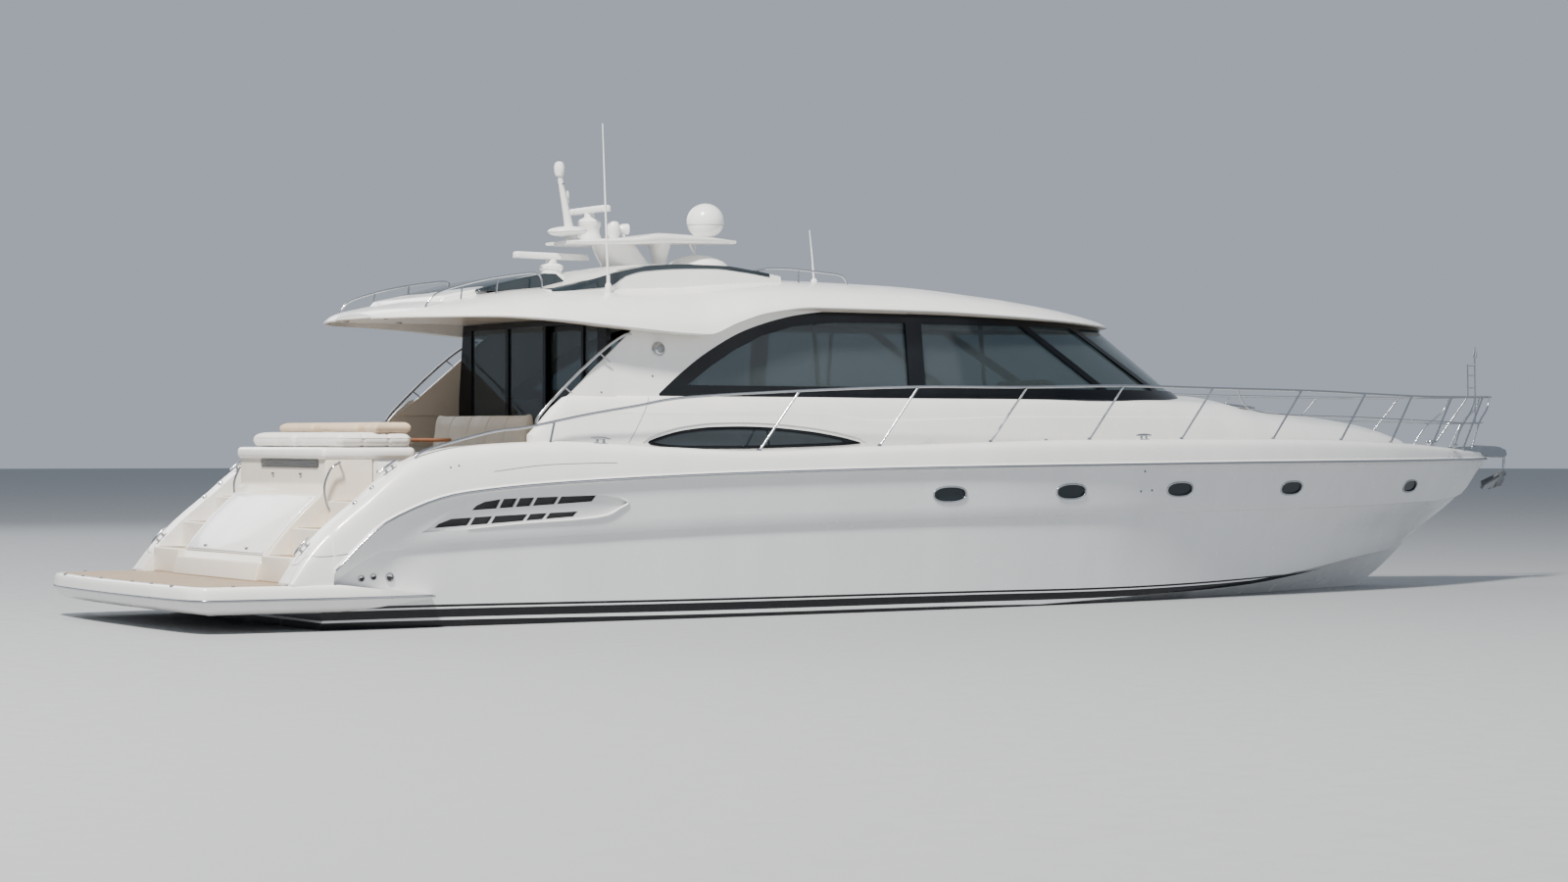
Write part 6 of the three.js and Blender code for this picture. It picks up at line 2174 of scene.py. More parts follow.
# Cockpit
@dataclass
class Cockpit:
    """The cockpit with its teak floor, sun lounge, settee, table and handrails."""

    upholstery: Upholstery = field(default_factory=Upholstery)

    def build(self) -> None:
        """Builds the cockpit."""
        self.floors()
        self.lounge()
        self.settee()
        self.table()
        self.handrails()

    def floors(self) -> None:
        """Builds the liner with the cockpit's teak and the saloon's carpet on it."""
        half = [(1.0404, 2.0596), (3.5, 2.0596), (3.7, 1.7796), (10.0, 1.7796), (12.0, 1.2996)]
        inner = [(0.9, 2.02), (3.5, 2.02), (3.7, 1.74), (10.0, 1.74), (12.0, 1.26)]
        liner = slab("cockpit_liner", across(half), 1.32, 1.78)
        carve(liner, [slab("inside", across([*inner[:-1], (11.96, 1.26)]), 1.372, 3)])
        fit(smooth(liner), CREAM, "sole")
        teak = slab("cockpit_planks", across([(1.1, 2.0), (3.5, 2.0), (3.64, 1.8)]), 1.366, 1.3795)
        fit(teak, TEAK)
        carpet = slab("saloon_floor", across([(3.77, 1.73), (10.0, 1.73), (11.9, 1.25)]), 1.366, 1.3795)
        fit(carpet, CARPET)

    def lounge(self) -> None:
        """Builds the sun lounge over the garage and its two pads."""
        over = block("bench_top", (0.425, -1.27, 1.838), (1.56, 1.27, 1.972), 0.055, 6)
        front = block("bench_front", (1.048, -1.24, ON_SOLE), (1.56, 1.24, 1.89), 0.02, 3)
        bench = joined("sun_lounge_bench", [over, front])
        fit(smooth(bench, 35), WHITE, "lounge_base")
        for name, sign in SIDES.items():
            low, high = sorted((sign * 0.012, sign * 1.292))
            start = block("pad", (0.6, low + 0.01, 1.982), (1.53, high - 0.01, 2.122), 0.068, 6)
            seam = rounded_plan((0.6, low), (1.53, high), 2.09, 0.06)
            self.upholstery.pad(f"sun_pad_{name}", start, WHITE_VINYL, ["sunpad"] if name == "port"
                else [], (0, (0.92, 1.23)), seam)
        for k, (aft, low, high) in enumerate(((0.93, 0.24, 1.27), (0.99, -0.86, 0.2), (1.04, -1.27, -0.9))):
            start = block("roll", (aft, low + 0.01, 2.148), (aft + 0.5, high - 0.01, 2.232), 0.04, 5)
            self.upholstery.pad(f"head_cushion_{k + 1}", start, TAN)

    def settee(self) -> None:
        """Builds the settee with its seat pads and channelled back."""
        plinth = block("settee_plinth", (2.53, -1.13, ON_SOLE), (3.12, 1.37, 1.79), 0.02, 4)
        fit(smooth(plinth, 35), WHITE, "settee")
        for name, (low, high) in {"stbd": (-1.135, 0.112), "port": (0.122, 1.375)}.items():
            start = block("pad", (2.5, low + 0.012, 1.8), (3.0, high - 0.012, 1.885), 0.035, 4)
            seam = rounded_plan((2.488, low), (3.01, high), 1.875, 0.04)
            self.upholstery.pad(f"settee_seat_{name}", start, CREAM_VINYL, seam=seam)
        outline = [(2.985, 1.8), (3.0, 2.06), (3.03, 2.27), (3.055, 2.345), (3.095, 2.372), (3.125, 2.35),
            (3.135, 2.25), (3.132, 1.8)]
        start = slab("back", outline, -1.115, 1.355, Plane.XZ, 0.02, 3)
        self.upholstery.pad("settee_back", start, CREAM_VINYL, channels=(1, (-0.62, -0.13, 0.36, 0.85)))

    def table(self) -> None:
        """Builds the table on its pedestal."""
        top = block("table_top", (1.8, -0.56, 2.031), (2.35, 0.76, 2.074))
        soften(soften(top, 0.07, 6, 80), 0.008, 3, 60)
        fit(smooth(top, 35), JOINERY, "cockpit_table")
        leg = turned("table_leg", [(0, 0), (0.19, 0), (0.192, 0.006), (0.17, 0.016), (0.06, 0.036),
            (0.05, 0.06), (0.05, 0.62), (0.06, 0.64), (0.12, 0.65), (0.12, 0.658), (0, 0.658)],
            (2.075, 0.1, ON_SOLE))
        fit(smooth(leg), STEEL)

    def handrails(self) -> None:
        """Bends a handrail up each wing, held by two stand-offs."""
        for name, sign in SIDES.items():
            y = 2.03
            path = [(2.7, y + 0.02, 2.17), (2.685, y, 2.26), (2.79, y, 2.405), (3.183, y - 0.01, 2.775),
                (3.569, y - 0.02, 3.093), (3.82, y - 0.04, 3.245), (3.93, y - 0.055, 3.27)]
            rail = pipe(f"handrail_{name}", on_side(sign, fair(path, 8)), 0.0165)
            holds = [pipe("hold", [(x, sign * (y - 0.012), z), (x + 0.14, sign * (y - 0.02), z - 0.1)],
                0.009) for x, z in ((3.05, 2.652), (3.5, 3.041))]
            fit(joined(f"handrail_{name}", [rail, *holds]), STEEL)


# Bulkhead and saloon
@dataclass
class Bulkhead:
    """The glass wall between cockpit and saloon with its sliding leaf."""

    x: float = 3.66
    bays: tuple[tuple[float, float], ...] = ((0.69, 1.62), (-0.29, 0.61), (-1.26, -0.37), (-1.66, -1.32))
    door_bay: int = 2

    def build(self) -> None:
        """Builds frame, panes and leaf."""
        half = [(1.99, ON_SOLE), (house_half(self.x, SILL) - 0.038, SILL),
            (house_half(self.x, 3.47) - 0.038, 3.47)]
        outline = [*half, *[(-y, z) for y, z in reversed(half)]]
        frame = slab("bulkhead_frame", outline, self.x, self.x + 0.056, Plane.YZ)
        carve(frame, [block("bay", (self.x - 0.1, y0, SOLE + 0.07), (self.x + 0.1, y1, 3.4))
            for y0, y1 in self.bays])
        soften(frame, 0.005, 2)
        runner = block("door_runner", (self.x + 0.04, -1.3, ON_SOLE),
            (self.x + 0.104, 0.59, SOLE + 0.0136), 0.002, 2)
        fit(joined("bulkhead_frame", [frame, runner]), BLACK, "bulkhead")
        for k, (y0, y1) in enumerate(self.bays):
            if k == self.door_bay:
                continue
            pane = block(f"bulkhead_pane_{k + 1}", (self.x + 0.022, y0 - 0.008, SOLE + 0.062),
                (self.x + 0.032, y1 + 0.008, 3.408), 0.002, 2)
            fit(pane, GLASS)
        leaf = block("door_leaf", (3.724, -1.29, 1.394), (3.758, -0.33, 3.4))
        carve(leaf, [block("light", (3.6, -1.23, 1.484), (3.9, -0.39, 3.33))])
        soften(leaf, 0.005, 2)
        fit(leaf, BLACK, "saloon_door", body="saloon_door")
        pane = block("door_pane", (3.737, -1.236, 1.478), (3.745, -0.384, 3.336), 0.002, 2)
        fit(pane, GLASS, body="saloon_door")
        pull = pipe("door_pull",
            fair([(3.724, -0.365, 2.15), (3.719, -0.365, 2.16), (3.7175, -0.365, 2.3),
            (3.719, -0.365, 2.44), (3.724, -0.365, 2.45)], 4), 0.004)
        fit(pull, STEEL, body="saloon_door")


@dataclass
class Saloon:
    """The helm, sofa and galley that show through the glass."""

    upholstery: Upholstery = field(default_factory=Upholstery)

    def build(self) -> None:
        """Builds the saloon's pieces."""
        self.helm()
        self.seat()
        self.sofa()
        self.galley()

    def helm(self) -> None:
        """Builds the console with its dash, instrument hoods and wheel."""
        outline = [(9.65, ON_SOLE), (9.65, 2.12), (9.9, 2.38), (10.35, 2.48), (10.9, 2.48), (10.9, ON_SOLE)]
        console = slab("helm_console_unit", outline, -1.3, -0.25, Plane.XZ, 0.03, 4)
        dress(smooth(console, 35), JOINERY, TAN,
            rule=lambda face: int(face.center.z > 2.36 and face.normal.z > 0.5))
        fit(console, None, "helm_console")
        dash = slab("helm_dash", [(9.648, 2.11), (9.7, 2.175), (9.9, 2.372), (9.93, 2.35), (9.72, 2.1)],
            -1.22, -0.33, Plane.XZ, 0.006, 3)
        fit(smooth(dash), GREY)
        for k, low in enumerate((-1.26, -0.72)):
            hood = slab(f"instrument_hood_{k + 1}",
                [(10.18, 2.46), (10.22, 2.74), (10.27, 2.8), (10.36, 2.82), (10.5, 2.78), (10.6, 2.46)],
                low, low + 0.42, Plane.XZ, 0.03, 4)
            fit(smooth(hood, 40), TAN)
        radius, rake = 0.19, 0.5
        wheel = [(9.64 - radius * math.sin(rake) * math.sin(a), -0.8 + radius * math.cos(a),
            2.3 + radius * math.cos(rake) * math.sin(a)) for a in turns(48)]
        rim = pipe("helm_wheel", wheel, 0.016, looped=True, detail=4)
        spokes = [pipe("spoke", [(9.645, -0.8, 2.3), wheel[k]], [0.012, 0.008]) for k in (4, 20, 36)]
        column = pipe("column", [(9.8, -0.8, 2.22), (9.65, -0.8, 2.298)], [0.035, 0.028])
        fit(joined("helm_wheel", [rim, *spokes, column]), RUBBER)

    def seat(self) -> None:
        """Builds the helm seat."""
        base = block("helm_seat_base", (8.86, -1.14, ON_SOLE), (9.14, -0.46, 1.75), 0.03, 4)
        fit(smooth(base), CREAM, "helm_seat")
        start = block("pad", (8.8, -1.26, 1.765), (9.23, -0.34, 1.88), 0.04, 4)
        self.upholstery.pad("helm_seat_pad", start, TAN, channels=(1, (-0.8,)))
        outline = [(8.8, 1.84), (8.715, 2.53), (8.735, 2.555), (8.775, 2.555), (8.8, 2.53), (8.885, 1.84)]
        start = slab("back", outline, -1.26, -0.34, Plane.XZ, 0.015, 3)
        self.upholstery.pad("helm_seat_back", start, TAN, channels=(1, (-0.8,)))

    def sofa(self) -> None:
        """Builds the long sofa on the port side."""
        plinth = block("sofa_plinth", (4.61, 1.03, ON_SOLE), (7.59, 1.69, 1.7), 0.015, 3)
        fit(smooth(plinth), JOINERY, "saloon_sofa")
        for k in range(3):
            x0, x1 = 4.62 + 0.94 * k, 4.62 + 0.94 * (k + 1) - 0.012
            start = block("pad", (x0 + 0.012, 1.022, 1.712), (x1 - 0.012, 1.5, 1.818), 0.035, 4)
            self.upholstery.pad(f"sofa_seat_{k + 1}", start, TAN)
            outline = [(1.545, 1.83), (1.56, 2.22), (1.58, 2.26), (1.66, 2.26), (1.685, 2.22),
                (1.685, 1.72), (1.545, 1.72)]
            start = slab("back", outline, x0 + 0.012, x1 - 0.012, Plane.YZ, 0.02, 3)
            self.upholstery.pad(f"sofa_back_{k + 1}", start, TAN)
        end = block("sofa_end", (7.452, 1.012, 1.71), (7.59, 1.69, 2.27), 0.03, 4)
        fit(smooth(end), TAN)

    def galley(self) -> None:
        """Builds the galley block with its worktop, sink and doors."""
        body = block("galley_unit", (4.31, -1.69, ON_SOLE), (6.49, -1.07, 2.262), 0.004, 2)
        carve(body, [block("sink", (4.7, -1.6, 2.15), (5.4, -1.2, 2.4))])
        fronts = [block("front", (4.34 + 0.54 * k, -1.071, 1.47), (4.34 + 0.54 * k + 0.52, -1.062, 2.22),
            0.003, 2) for k in range(4)]
        whole = joined("galley_unit", [body, *fronts])
        fit(whole, JOINERY, "galley")
        top = block("galley_top", (4.3, -1.7, 2.263), (6.5, -1.06, 2.299), 0.006, 3)
        carve(top, [block("sink", (4.7, -1.6, 2.15), (5.4, -1.2, 2.4), 0.03, 4)])
        fit(smooth(top), CREAM)


# Mast
@dataclass
class Mast:
    """The roof mast with its wing, pole, lamps, radars and satellite dome."""

    wing_rows: tuple[tuple[float, float, float, float], ...] = ((4.02, 0.33, 4.395, 4.44),
        (4.3, 0.43, 4.39, 4.46), (4.9, 0.44, 4.41, 4.51), (5.2, 0.42, 4.43, 4.56),
        (5.9, 0.33, 4.455, 4.545), (6.43, 0.15, 4.475, 4.52))

    def build(self) -> None:
        """Builds the mast and all it carries."""
        self.structure()
        self.radar("upper", (4.514, 0.12, 4.76), 4.4, 0.47, 0.0)
        self.radar("aft", (3.93, 0.0, 4.18), 3.94, 0.55, -80.0)
        self.dome()
        self.lamps()

    def structure(self) -> None:
        """Builds wing, trunk, prop and pole."""
        columns = list(zip(*self.wing_rows))
        half, low, high = (SmoothLine(columns[0], column) for column in columns[1:])
        rings = []
        for x in spaced(4.02, 6.43, 0.09):
            h, b, t = half(x), low(x), high(x)
            middle = (b + t) / 2 + 0.006
            upper = fair([(h, middle), (h * 0.97, t - 0.012), (h * 0.88, t - 0.003), (0.0, t)], 3)
            lower = fair([(h, middle), (h * 0.95, b + 0.018), (h * 0.8, b + 0.006), (0.0, b)], 3)
            rings.append(both_sides([*reversed(upper), *lower[1:]], x))
        wing = smooth(skin("mast_wing", rings), 40)
        rows = [(4.45, 5.01, 0.23, 4.47), (4.5, 5.07, 0.247, 4.4), (4.54, 5.13, 0.262, 4.32),
            (4.59, 5.2, 0.276, 4.24), (4.62, 5.25, 0.285, 4.19), (4.65, 5.262, 0.28, 4.13),
            (4.68, 5.25, 0.262, 4.08)]
        trunk = smooth(skin("trunk", [self.egg(*row) for row in rows]), 40)
        prop = smooth(turned("prop", [(0, 0), (0.12, 0), (0.1, 0.06), (0.088, 0.12), (0.1, 0.22),
            (0.15, 0.39), (0.15, 0.4), (0, 0.4)], (5.42, 0, 4.08)))
        pole = pipe("pole",
            fair([(4.156, -0.12, 4.42), (4.116, -0.12, 4.56), (4.046, -0.12, 4.9), (3.976, -0.12, 5.24)],
            4), [r for r, in fair([(0.11,), (0.06,), (0.04,), (0.03,)], 4)], detail=6)
        struts = [pipe("strut", [(5.88 + 0.1 * s, 0.1 * s, 4.47), (5.92, 0.03 * s, 4.31)], 0.012)
            for s in (1, -1)]
        whole = joined("mast_structure", [wing, trunk, prop, pole, *struts])
        fit(whole, WHITE, "mast")

    def egg(self, aft: float, fore: float, half: float, z: float) -> Ring:
        """Returns an ellipse of the mast's trunk at height z."""
        middle, reach = (aft + fore) / 2, (fore - aft) / 2
        return [(middle + reach * math.cos(a), half * math.sin(a), z) for a in turns(40)]

    def radar(self, name: str, bed: tuple[float, float, float], foot: float, half: float,
            turn: float) -> None:
        """Builds one open scanner: its pedestal and the bar that turns on it.

        Args:
            name: The scanner's name.
            bed: Where the bar turns on the drum.
            foot: The height of the drum's foot.
            half: Half the bar's length.
            turn: How far the bar is turned, in degrees.
        """
        x, y, z = bed
        tall = z - foot
        profile = [(0, 0), (0.15, 0), (0.152, tall * 0.12), (0.146, tall * 0.3), (0.126, tall * 0.42),
            (0.124, tall * 0.6), (0.14, tall * 0.68), (0.142, tall * 0.82), (0.12, tall * 0.9),
            (0.066, tall * 0.97), (0.064, tall), (0, tall)]
        piece = smooth(turned(f"radar_drum_{name}", profile, (x, y, foot)))
        fit(piece, PLASTIC, f"radar_pedestal_{name}")
        bar = []
        for along in (*[-half + d for d in (0, 0.004, 0.014, 0.03, 0.06)], 0,
                *[half - d for d in (0.06, 0.03, 0.014, 0.004, 0)]):
            near = half - abs(along)
            k = min(1.0, math.sqrt(max(0.0, 1 - (1 - min(near, 0.03) / 0.03) ** 2)) * 0.4 + 0.6)
            section = [(-0.05 * k, 0.052), (-0.049 * k, 0.044), (-0.04 * k, 0.04), (0.04 * k, 0.04),
                (0.049 * k, 0.044), (0.05 * k, 0.052), (0.043 * k, 0.052 + 0.05 * k),
                (0.03 * k, 0.052 + 0.064 * k), (-0.03 * k, 0.052 + 0.064 * k),
                (-0.043 * k, 0.052 + 0.05 * k)]
            bar.append([(x + a, y + along, z + b) for a, b in section])
        body = smooth(skin("bar", bar), 40)
        if turn:
            straight, body = body, copied(body, "bar_turned", turn=turn, centre=bed)
            bpy.data.objects.remove(straight)
        neck = smooth(turned("neck", [(0, 0.001), (0.068, 0.001), (0.062, 0.012), (0.056, 0.045),
            (0, 0.045)], bed))
        whole = joined(f"radar_scanner_{name}", [body, neck])
        fit(whole, PLASTIC, f"radar_bar_{name}", body=f"radar_bar_{name}")

    def dome(self) -> None:
        """Builds the satellite dome with its joint line and foot."""
        profile = [(0.0, 0.0), (0.072, 0.0), (0.074, 0.055), (0.125, 0.06)]
        for k in range(19):
            a = -0.98 + k / 18 * (math.pi / 2 + 0.98)
            profile.append((max(0.0, 0.2315 * math.cos(a)), 0.25 + 0.222 * math.sin(a)))
        shell = smooth(turned("dome_shell", profile, (6.07, 0, 4.5), sides=56), 50)
        fit(shell, PLASTIC, "satellite_dome")
        ring = [(6.07 + 0.2255 * math.cos(a), 0.2255 * math.sin(a), 4.7) for a in turns(64)]
        fit(pipe("dome_joint", ring, 0.0022, looped=True), GREY)

    def lamps(self) -> None:
        """Puts the lamps, the ball, the searchlight and the small antennas on the mast."""
        head = smooth(turned("head", [(0, -0.02), (0.048, -0.015), (0.062, 0.04), (0.062, 0.1),
            (0.05, 0.14), (0.02, 0.158), (0.018, 0.172), (0, 0.172)], (3.976, -0.12, 5.23)))
        dress(head, PLASTIC, GREY, rule=lambda face: int(face.center.z > 5.385))
        fit(head, None)
        plate = [[(3.834 + (4.34 - 3.834) * t,
            -0.12 + math.sqrt(max(0.0002, 1 - (2 * t - 1) ** 2)) * 0.2 * math.cos(a), 4.545 + 0.02 * t
            + math.sqrt(max(0.0002, 1 - (2 * t - 1) ** 2)) * 0.062 * math.sin(a)) for a in turns(20)]
            for t in spaced(0, 1, 0.07)]
        fit(smooth(skin("lamp_plate", plate), 50), PLASTIC)
        ball = smooth(turned("ball", [(0, -0.06), (0.05, -0.06), (0.075, 0.0), (0.083, 0.06),
            (0.076, 0.11), (0.05, 0.15), (0, 0.163)], (4.64, -0.26, 4.53)))
        fit(ball, PLASTIC)
        light = smooth(turned("searchlight", [(0, -0.06), (0.042, -0.055), (0.062, -0.02), (0.066, 0.05),
            (0.06, 0.06), (0.056, 0.052), (0, 0.05)], (4.8, -0.22, 4.6), (1, -0.25, 0)))
        dress(light, PLASTIC, LENS,
            rule=lambda face: int(Vector(face.normal).dot(Vector((0.97, -0.24, 0))) > 0.95
            and face.area > 0.0005))
        fit(light, None)
        foot = pipe("searchlight_foot", [(4.79, -0.22, 4.5), (4.79, -0.22, 4.56)], [0.03, 0.022])
        fit(foot, PLASTIC)
        stub = smooth(turned("stub", [(0, 0), (0.022, 0), (0.022, 0.06), (0.027, 0.065), (0.027, 0.13),
            (0.02, 0.15), (0, 0.15)], (4.12, -0.05, 4.9), (-0.05, 0, 1), 20))
        arm = pipe("arm", [(4.05, -0.12, 4.92), (4.12, -0.05, 4.92)], 0.01)
        fit(joined("pole_lamp", [stub, arm]), PLASTIC)
        cross = pipe("cross", [(4.0, -0.2, 5.12), (4.0, -0.04, 5.12)], 0.008)
        tip = pipe("tip", [(4.3, 0.3, 4.44), (4.29, 0.3, 4.98)], [0.008, 0.006])
        flag = smooth(turned("flag", [(0, 0), (0.014, 0), (0.016, 0.06), (0.01, 0.12), (0, 0.12)],
            (4.29, 0.3, 4.96)))
        fit(joined("mast_antennas", [cross, tip, flag]), GREY)


# Rails and bow
RAIL_TOP = ((1.06, 2.285, 1.868), (1.16, 2.292, 1.928), (1.42, 2.3, 2.01), (2.02, 2.31, 2.15),
    (2.44, 2.32, 2.2), (3.17, 2.34, 2.34), (3.79, 2.36, 2.44), (4.43, 2.375, 2.54), (5.97, 2.38, 2.63),
    (7.59, 2.375, 2.69), (9.2, 2.35, 2.7), (10.81, 2.27, 2.73), (12.43, 2.09, 2.715), (14.36, 1.74, 2.7),
    (15.66, 1.39, 2.675), (17.08, 0.9, 2.655), (18.3, 0.43, 2.66), (19.0, 0.15, 2.668))
STANCHION_FEET = ((5.4, 2.385), (7.08, 2.375), (8.71, 2.35), (10.26, 2.29), (11.84, 2.14), (13.59, 1.865),
    (15.05, 1.54), (16.28, 1.17), (17.45, 0.73), (18.42, 0.33))


def rail_point(x: float) -> Point:
    """Returns the place on the port guard rail's top bar at x.

    Args:
        x: A place along the boat.

    Returns:
        The point.
    """
    line = fair(RAIL_TOP, 6)
    k = next(i for i, point in enumerate(line) if point[0] >= x)
    a, b = line[max(0, k - 1)], line[max(1, k)]
    t = (x - a[0]) / (b[0] - a[0])
    return tuple(p + (q - p) * t for p, q in zip(a, b))


@dataclass
class GuardRail:
    """The guard rail of bright tube with raked stanchions, from cockpit to pulpit."""

    radius: float = 0.0165
    post_radius: float = 0.0135
    wire: float = 0.01
    parting: float = 15.4

    def post(self, x: float, y: float) -> tuple[Point, Point]:
        """Returns the foot and head of the stanchion that stands at x and y."""
        return (x, y, DECK.at(x)["z"] - 0.006), rail_point(x + 0.56)

    def build(self) -> None:
        """Builds both side rails and the pulpit."""
        top = fair(RAIL_TOP, 6)
        middles = [tuple((a + b) / 2 for a, b in zip(*self.post(x, y))) for x, y in STANCHION_FEET[5:]]
        middle = fair([rail_point(12.85), (13.15, 1.905, 2.46), *middles, (19.13, 0.0, 2.3)], 6)
        for name, sign in SIDES.items():
            whole = [self.bent([p for p in top if p[0] < self.parting] + [rail_point(self.parting)], sign,
                self.radius), self.bent([p for p in middle if p[0] < self.parting], sign, self.wire)]
            for x, y in STANCHION_FEET[:7]:
                whole += self.stanchion(x, y, sign)
            whole.append(self.bent([(2.7, 2.33, 2.0), (2.76, 2.33, 2.262)], sign, 0.014))
            fit(joined(f"guard_rail_{name}", whole), STEEL, f"side_rail_{name}")
        rest = [rail_point(self.parting), *[p for p in top if p[0] > self.parting], (19.2, 0.075, 2.67),
            (19.288, 0.0, 2.67)]
        whole = []
        for sign in SIDES.values():
            whole += [self.bent(rest, sign, self.radius),
                self.bent([p for p in middle if p[0] > self.parting - 0.1], sign, self.wire)]
            for x, y in STANCHION_FEET[7:]:
                whole += self.stanchion(x, y, sign)
            for brace in ([(19.16, 0.1, 2.668), (19.1, 0.12, 2.5), (18.88, 0.18, 2.28),
                    (18.7, 0.225, 1.925)], [(18.72, 0.26, 2.662), (18.62, 0.29, 2.46), (18.33, 0.38, 2.2),
                    (18.16, 0.43, 1.935)]):
                whole.append(self.bent(fair(brace, 6), sign, 0.0125))
        fit(joined("pulpit_rail", whole), STEEL, "pulpit")

    def bent(self, path: Sequence[Point], side: float, radius: float) -> Object:
        """Bends a tube along a path given on the port side."""
        return pipe("tube", on_side(side, path), radius)

    def stanchion(self, x: float, y: float, side: float) -> list[Object]:
        """Builds one stanchion with the flange at its foot.

        Args:
            x: Its place along the boat.
            y: Its half breadth.
            side: 1 for port and -1 for starboard.

        Returns:
            Tube and flange.
        """
        foot, head = self.post(x, y)
        flange = smooth(turned("flange", [(0, -0.012), (0.036, -0.012), (0.038, 0.002), (0.022, 0.01),
            (0.019, 0.03), (0, 0.03)], (x, side * y, foot[2] + 0.004), sides=20))
        return [self.bent([foot, head], side, self.post_radius), flange]


@dataclass
class BowGear:
    """The anchor roller, anchor, windlass, hatch, bow staff and cleats."""

    cleats: tuple[tuple[float, float, float], ...] = ((18.0, 0.62, 30), (11.15, 2.25, 6), (3.34, 2.335, 2),
        (0.833, 2.15, 0), (-0.17, 2.15, 0))

    def build(self) -> None:
        """Builds the gear of the foredeck."""
        self.roller()
        self.anchor()
        self.windlass()
        self.hatch()
        self.staff()
        for k, (x, y, turn) in enumerate(self.cleats):
            for name, sign in SIDES.items():
                rise = math.degrees(math.atan2(DECK.at(x + 0.08)["z"] - DECK.at(x - 0.08)["z"], 0.16))
                self.cleat(f"cleat_{name}_{k + 1}", (x, sign * y, DECK.at(x)["z"]), -sign * turn, rise)

    def roller(self) -> None:
        """Builds the stem fitting with its roller."""
        outline = [(18.5, 1.94), (19.18, 1.96), (19.4, 1.945), (19.52, 1.9), (19.54, 1.83), (19.49, 1.795),
            (19.4, 1.79), (18.5, 1.88)]
        cheeks = [slab("cheek", outline, y - 0.007, y + 0.007, Plane.XZ, 0.003, 2) for y in (-0.07, 0.07)]
        floor = block("floor", (18.4, -0.07, 1.905), (19.3, 0.07, 1.925), 0.003, 2)
        pin = pipe("pin", [(19.44, -0.076, 1.85), (19.44, 0.076, 1.85)], 0.01)
        fit(joined("stem_fitting", [*cheeks, floor, pin]), STEEL, "bow_roller")
        wheel = turned("stem_roller", [(0, -0.06), (0.04, -0.06), (0.04, -0.05), (0.024, -0.02),
            (0.022, 0.0), (0.024, 0.02), (0.04, 0.05), (0.04, 0.06), (0, 0.06)], (19.44, 0, 1.85),
            (0, 1, 0))
        fit(smooth(wheel), RUBBER)

    def anchor(self) -> None:
        """Builds the anchor as it hangs on its roller."""
        shank = pipe("shank",
            fair([(18.91, 0, 1.958), (19.2, 0, 1.945), (19.44, 0, 1.925), (19.545, 0, 1.8),
            (19.52, 0, 1.56)], 6), 0.019)
        crown = block("crown", (19.45, -0.028, 1.525), (19.57, 0.028, 1.595), 0.012, 3)
        flukes = []
        for sign in SIDES.values():
            rows = [[(19.56, 0, 1.555), (19.48, 0, 1.565), (19.5, 0, 1.6)],
                [(19.46, sign * 0.1, 1.46), (19.35, sign * 0.085, 1.45), (19.38, sign * 0.1, 1.52)],
                [(19.33, sign * 0.168, 1.38), (19.205, sign * 0.13, 1.345), (19.245, sign * 0.158, 1.455)],
                [(19.19, sign * 0.06, 1.333), (19.172, sign * 0.042, 1.323), (19.182, sign * 0.06, 1.345)]]
            flukes.append(soften(skin("fluke", rows), 0.006, 2))
        whole = smooth(joined("anchor_forging", [shank, crown, *flukes]), 40)
        dress(whole, STEEL, GREY, rule=lambda face: int(face.center.z < 1.62 and face.center.x < 19.58))
        fit(whole, None, "anchor")

    def windlass(self) -> None:
        """Builds the windlass."""
        base = block("plate", (18.045, -0.078, 1.9), (18.195, 0.078, 1.925), 0.008, 3)
        drum = turned("drum", [(0, 0.0), (0.07, 0.0), (0.078, 0.012), (0.078, 0.03), (0.05, 0.045),
            (0.044, 0.07), (0.056, 0.1), (0.078, 0.115), (0.078, 0.135), (0.066, 0.15), (0.03, 0.156),
            (0, 0.156)], (18.12, 0, 1.893))
        fit(smooth(joined("windlass_drum", [base, drum]), 40), STEEL, "windlass")

    def hatch(self) -> None:
        """Builds the foredeck hatch with its dark lid and frame."""
        high = [TRUNK.at(x)["crown_z"] for x in (14.05, 14.62)]
        outline = [(14.052, high[0] + 0.009), (14.052, high[0] + 0.04), (14.618, high[1] + 0.04),
            (14.618, high[1] + 0.009)]
        frame = slab("hatch_frame", outline, -0.288, 0.288, Plane.XZ, 0.008, 3)
        fit(smooth(frame), STEEL, "foredeck_hatch", body="foredeck_hatch")
        lid = [(14.09, high[0] + 0.032), (14.09, high[0] + 0.0445), (14.58, high[1] + 0.0505),
            (14.58, high[1] + 0.036)]
        glass = slab("hatch_pane", lid, -0.25, 0.25, Plane.XZ, 0.003, 2)
        fit(smooth(glass), DARK_GLASS, body="foredeck_hatch")
        edge = [(14.101, 2.175), (14.101, high[0] + 0.007), (14.569, high[1] + 0.007), (14.569, 2.175)]
        coaming = slab("hatch_coaming", edge, -0.239, 0.239, Plane.XZ)
        carve(coaming, [block("way_down", (14.125, -0.215, 2.0), (14.545, 0.215, 2.9))])
        fit(coaming, CREAM)
        fit(block("hatch_well", (14.102, -0.238, 2.151), (14.568, 0.238, 2.174)), GREY)

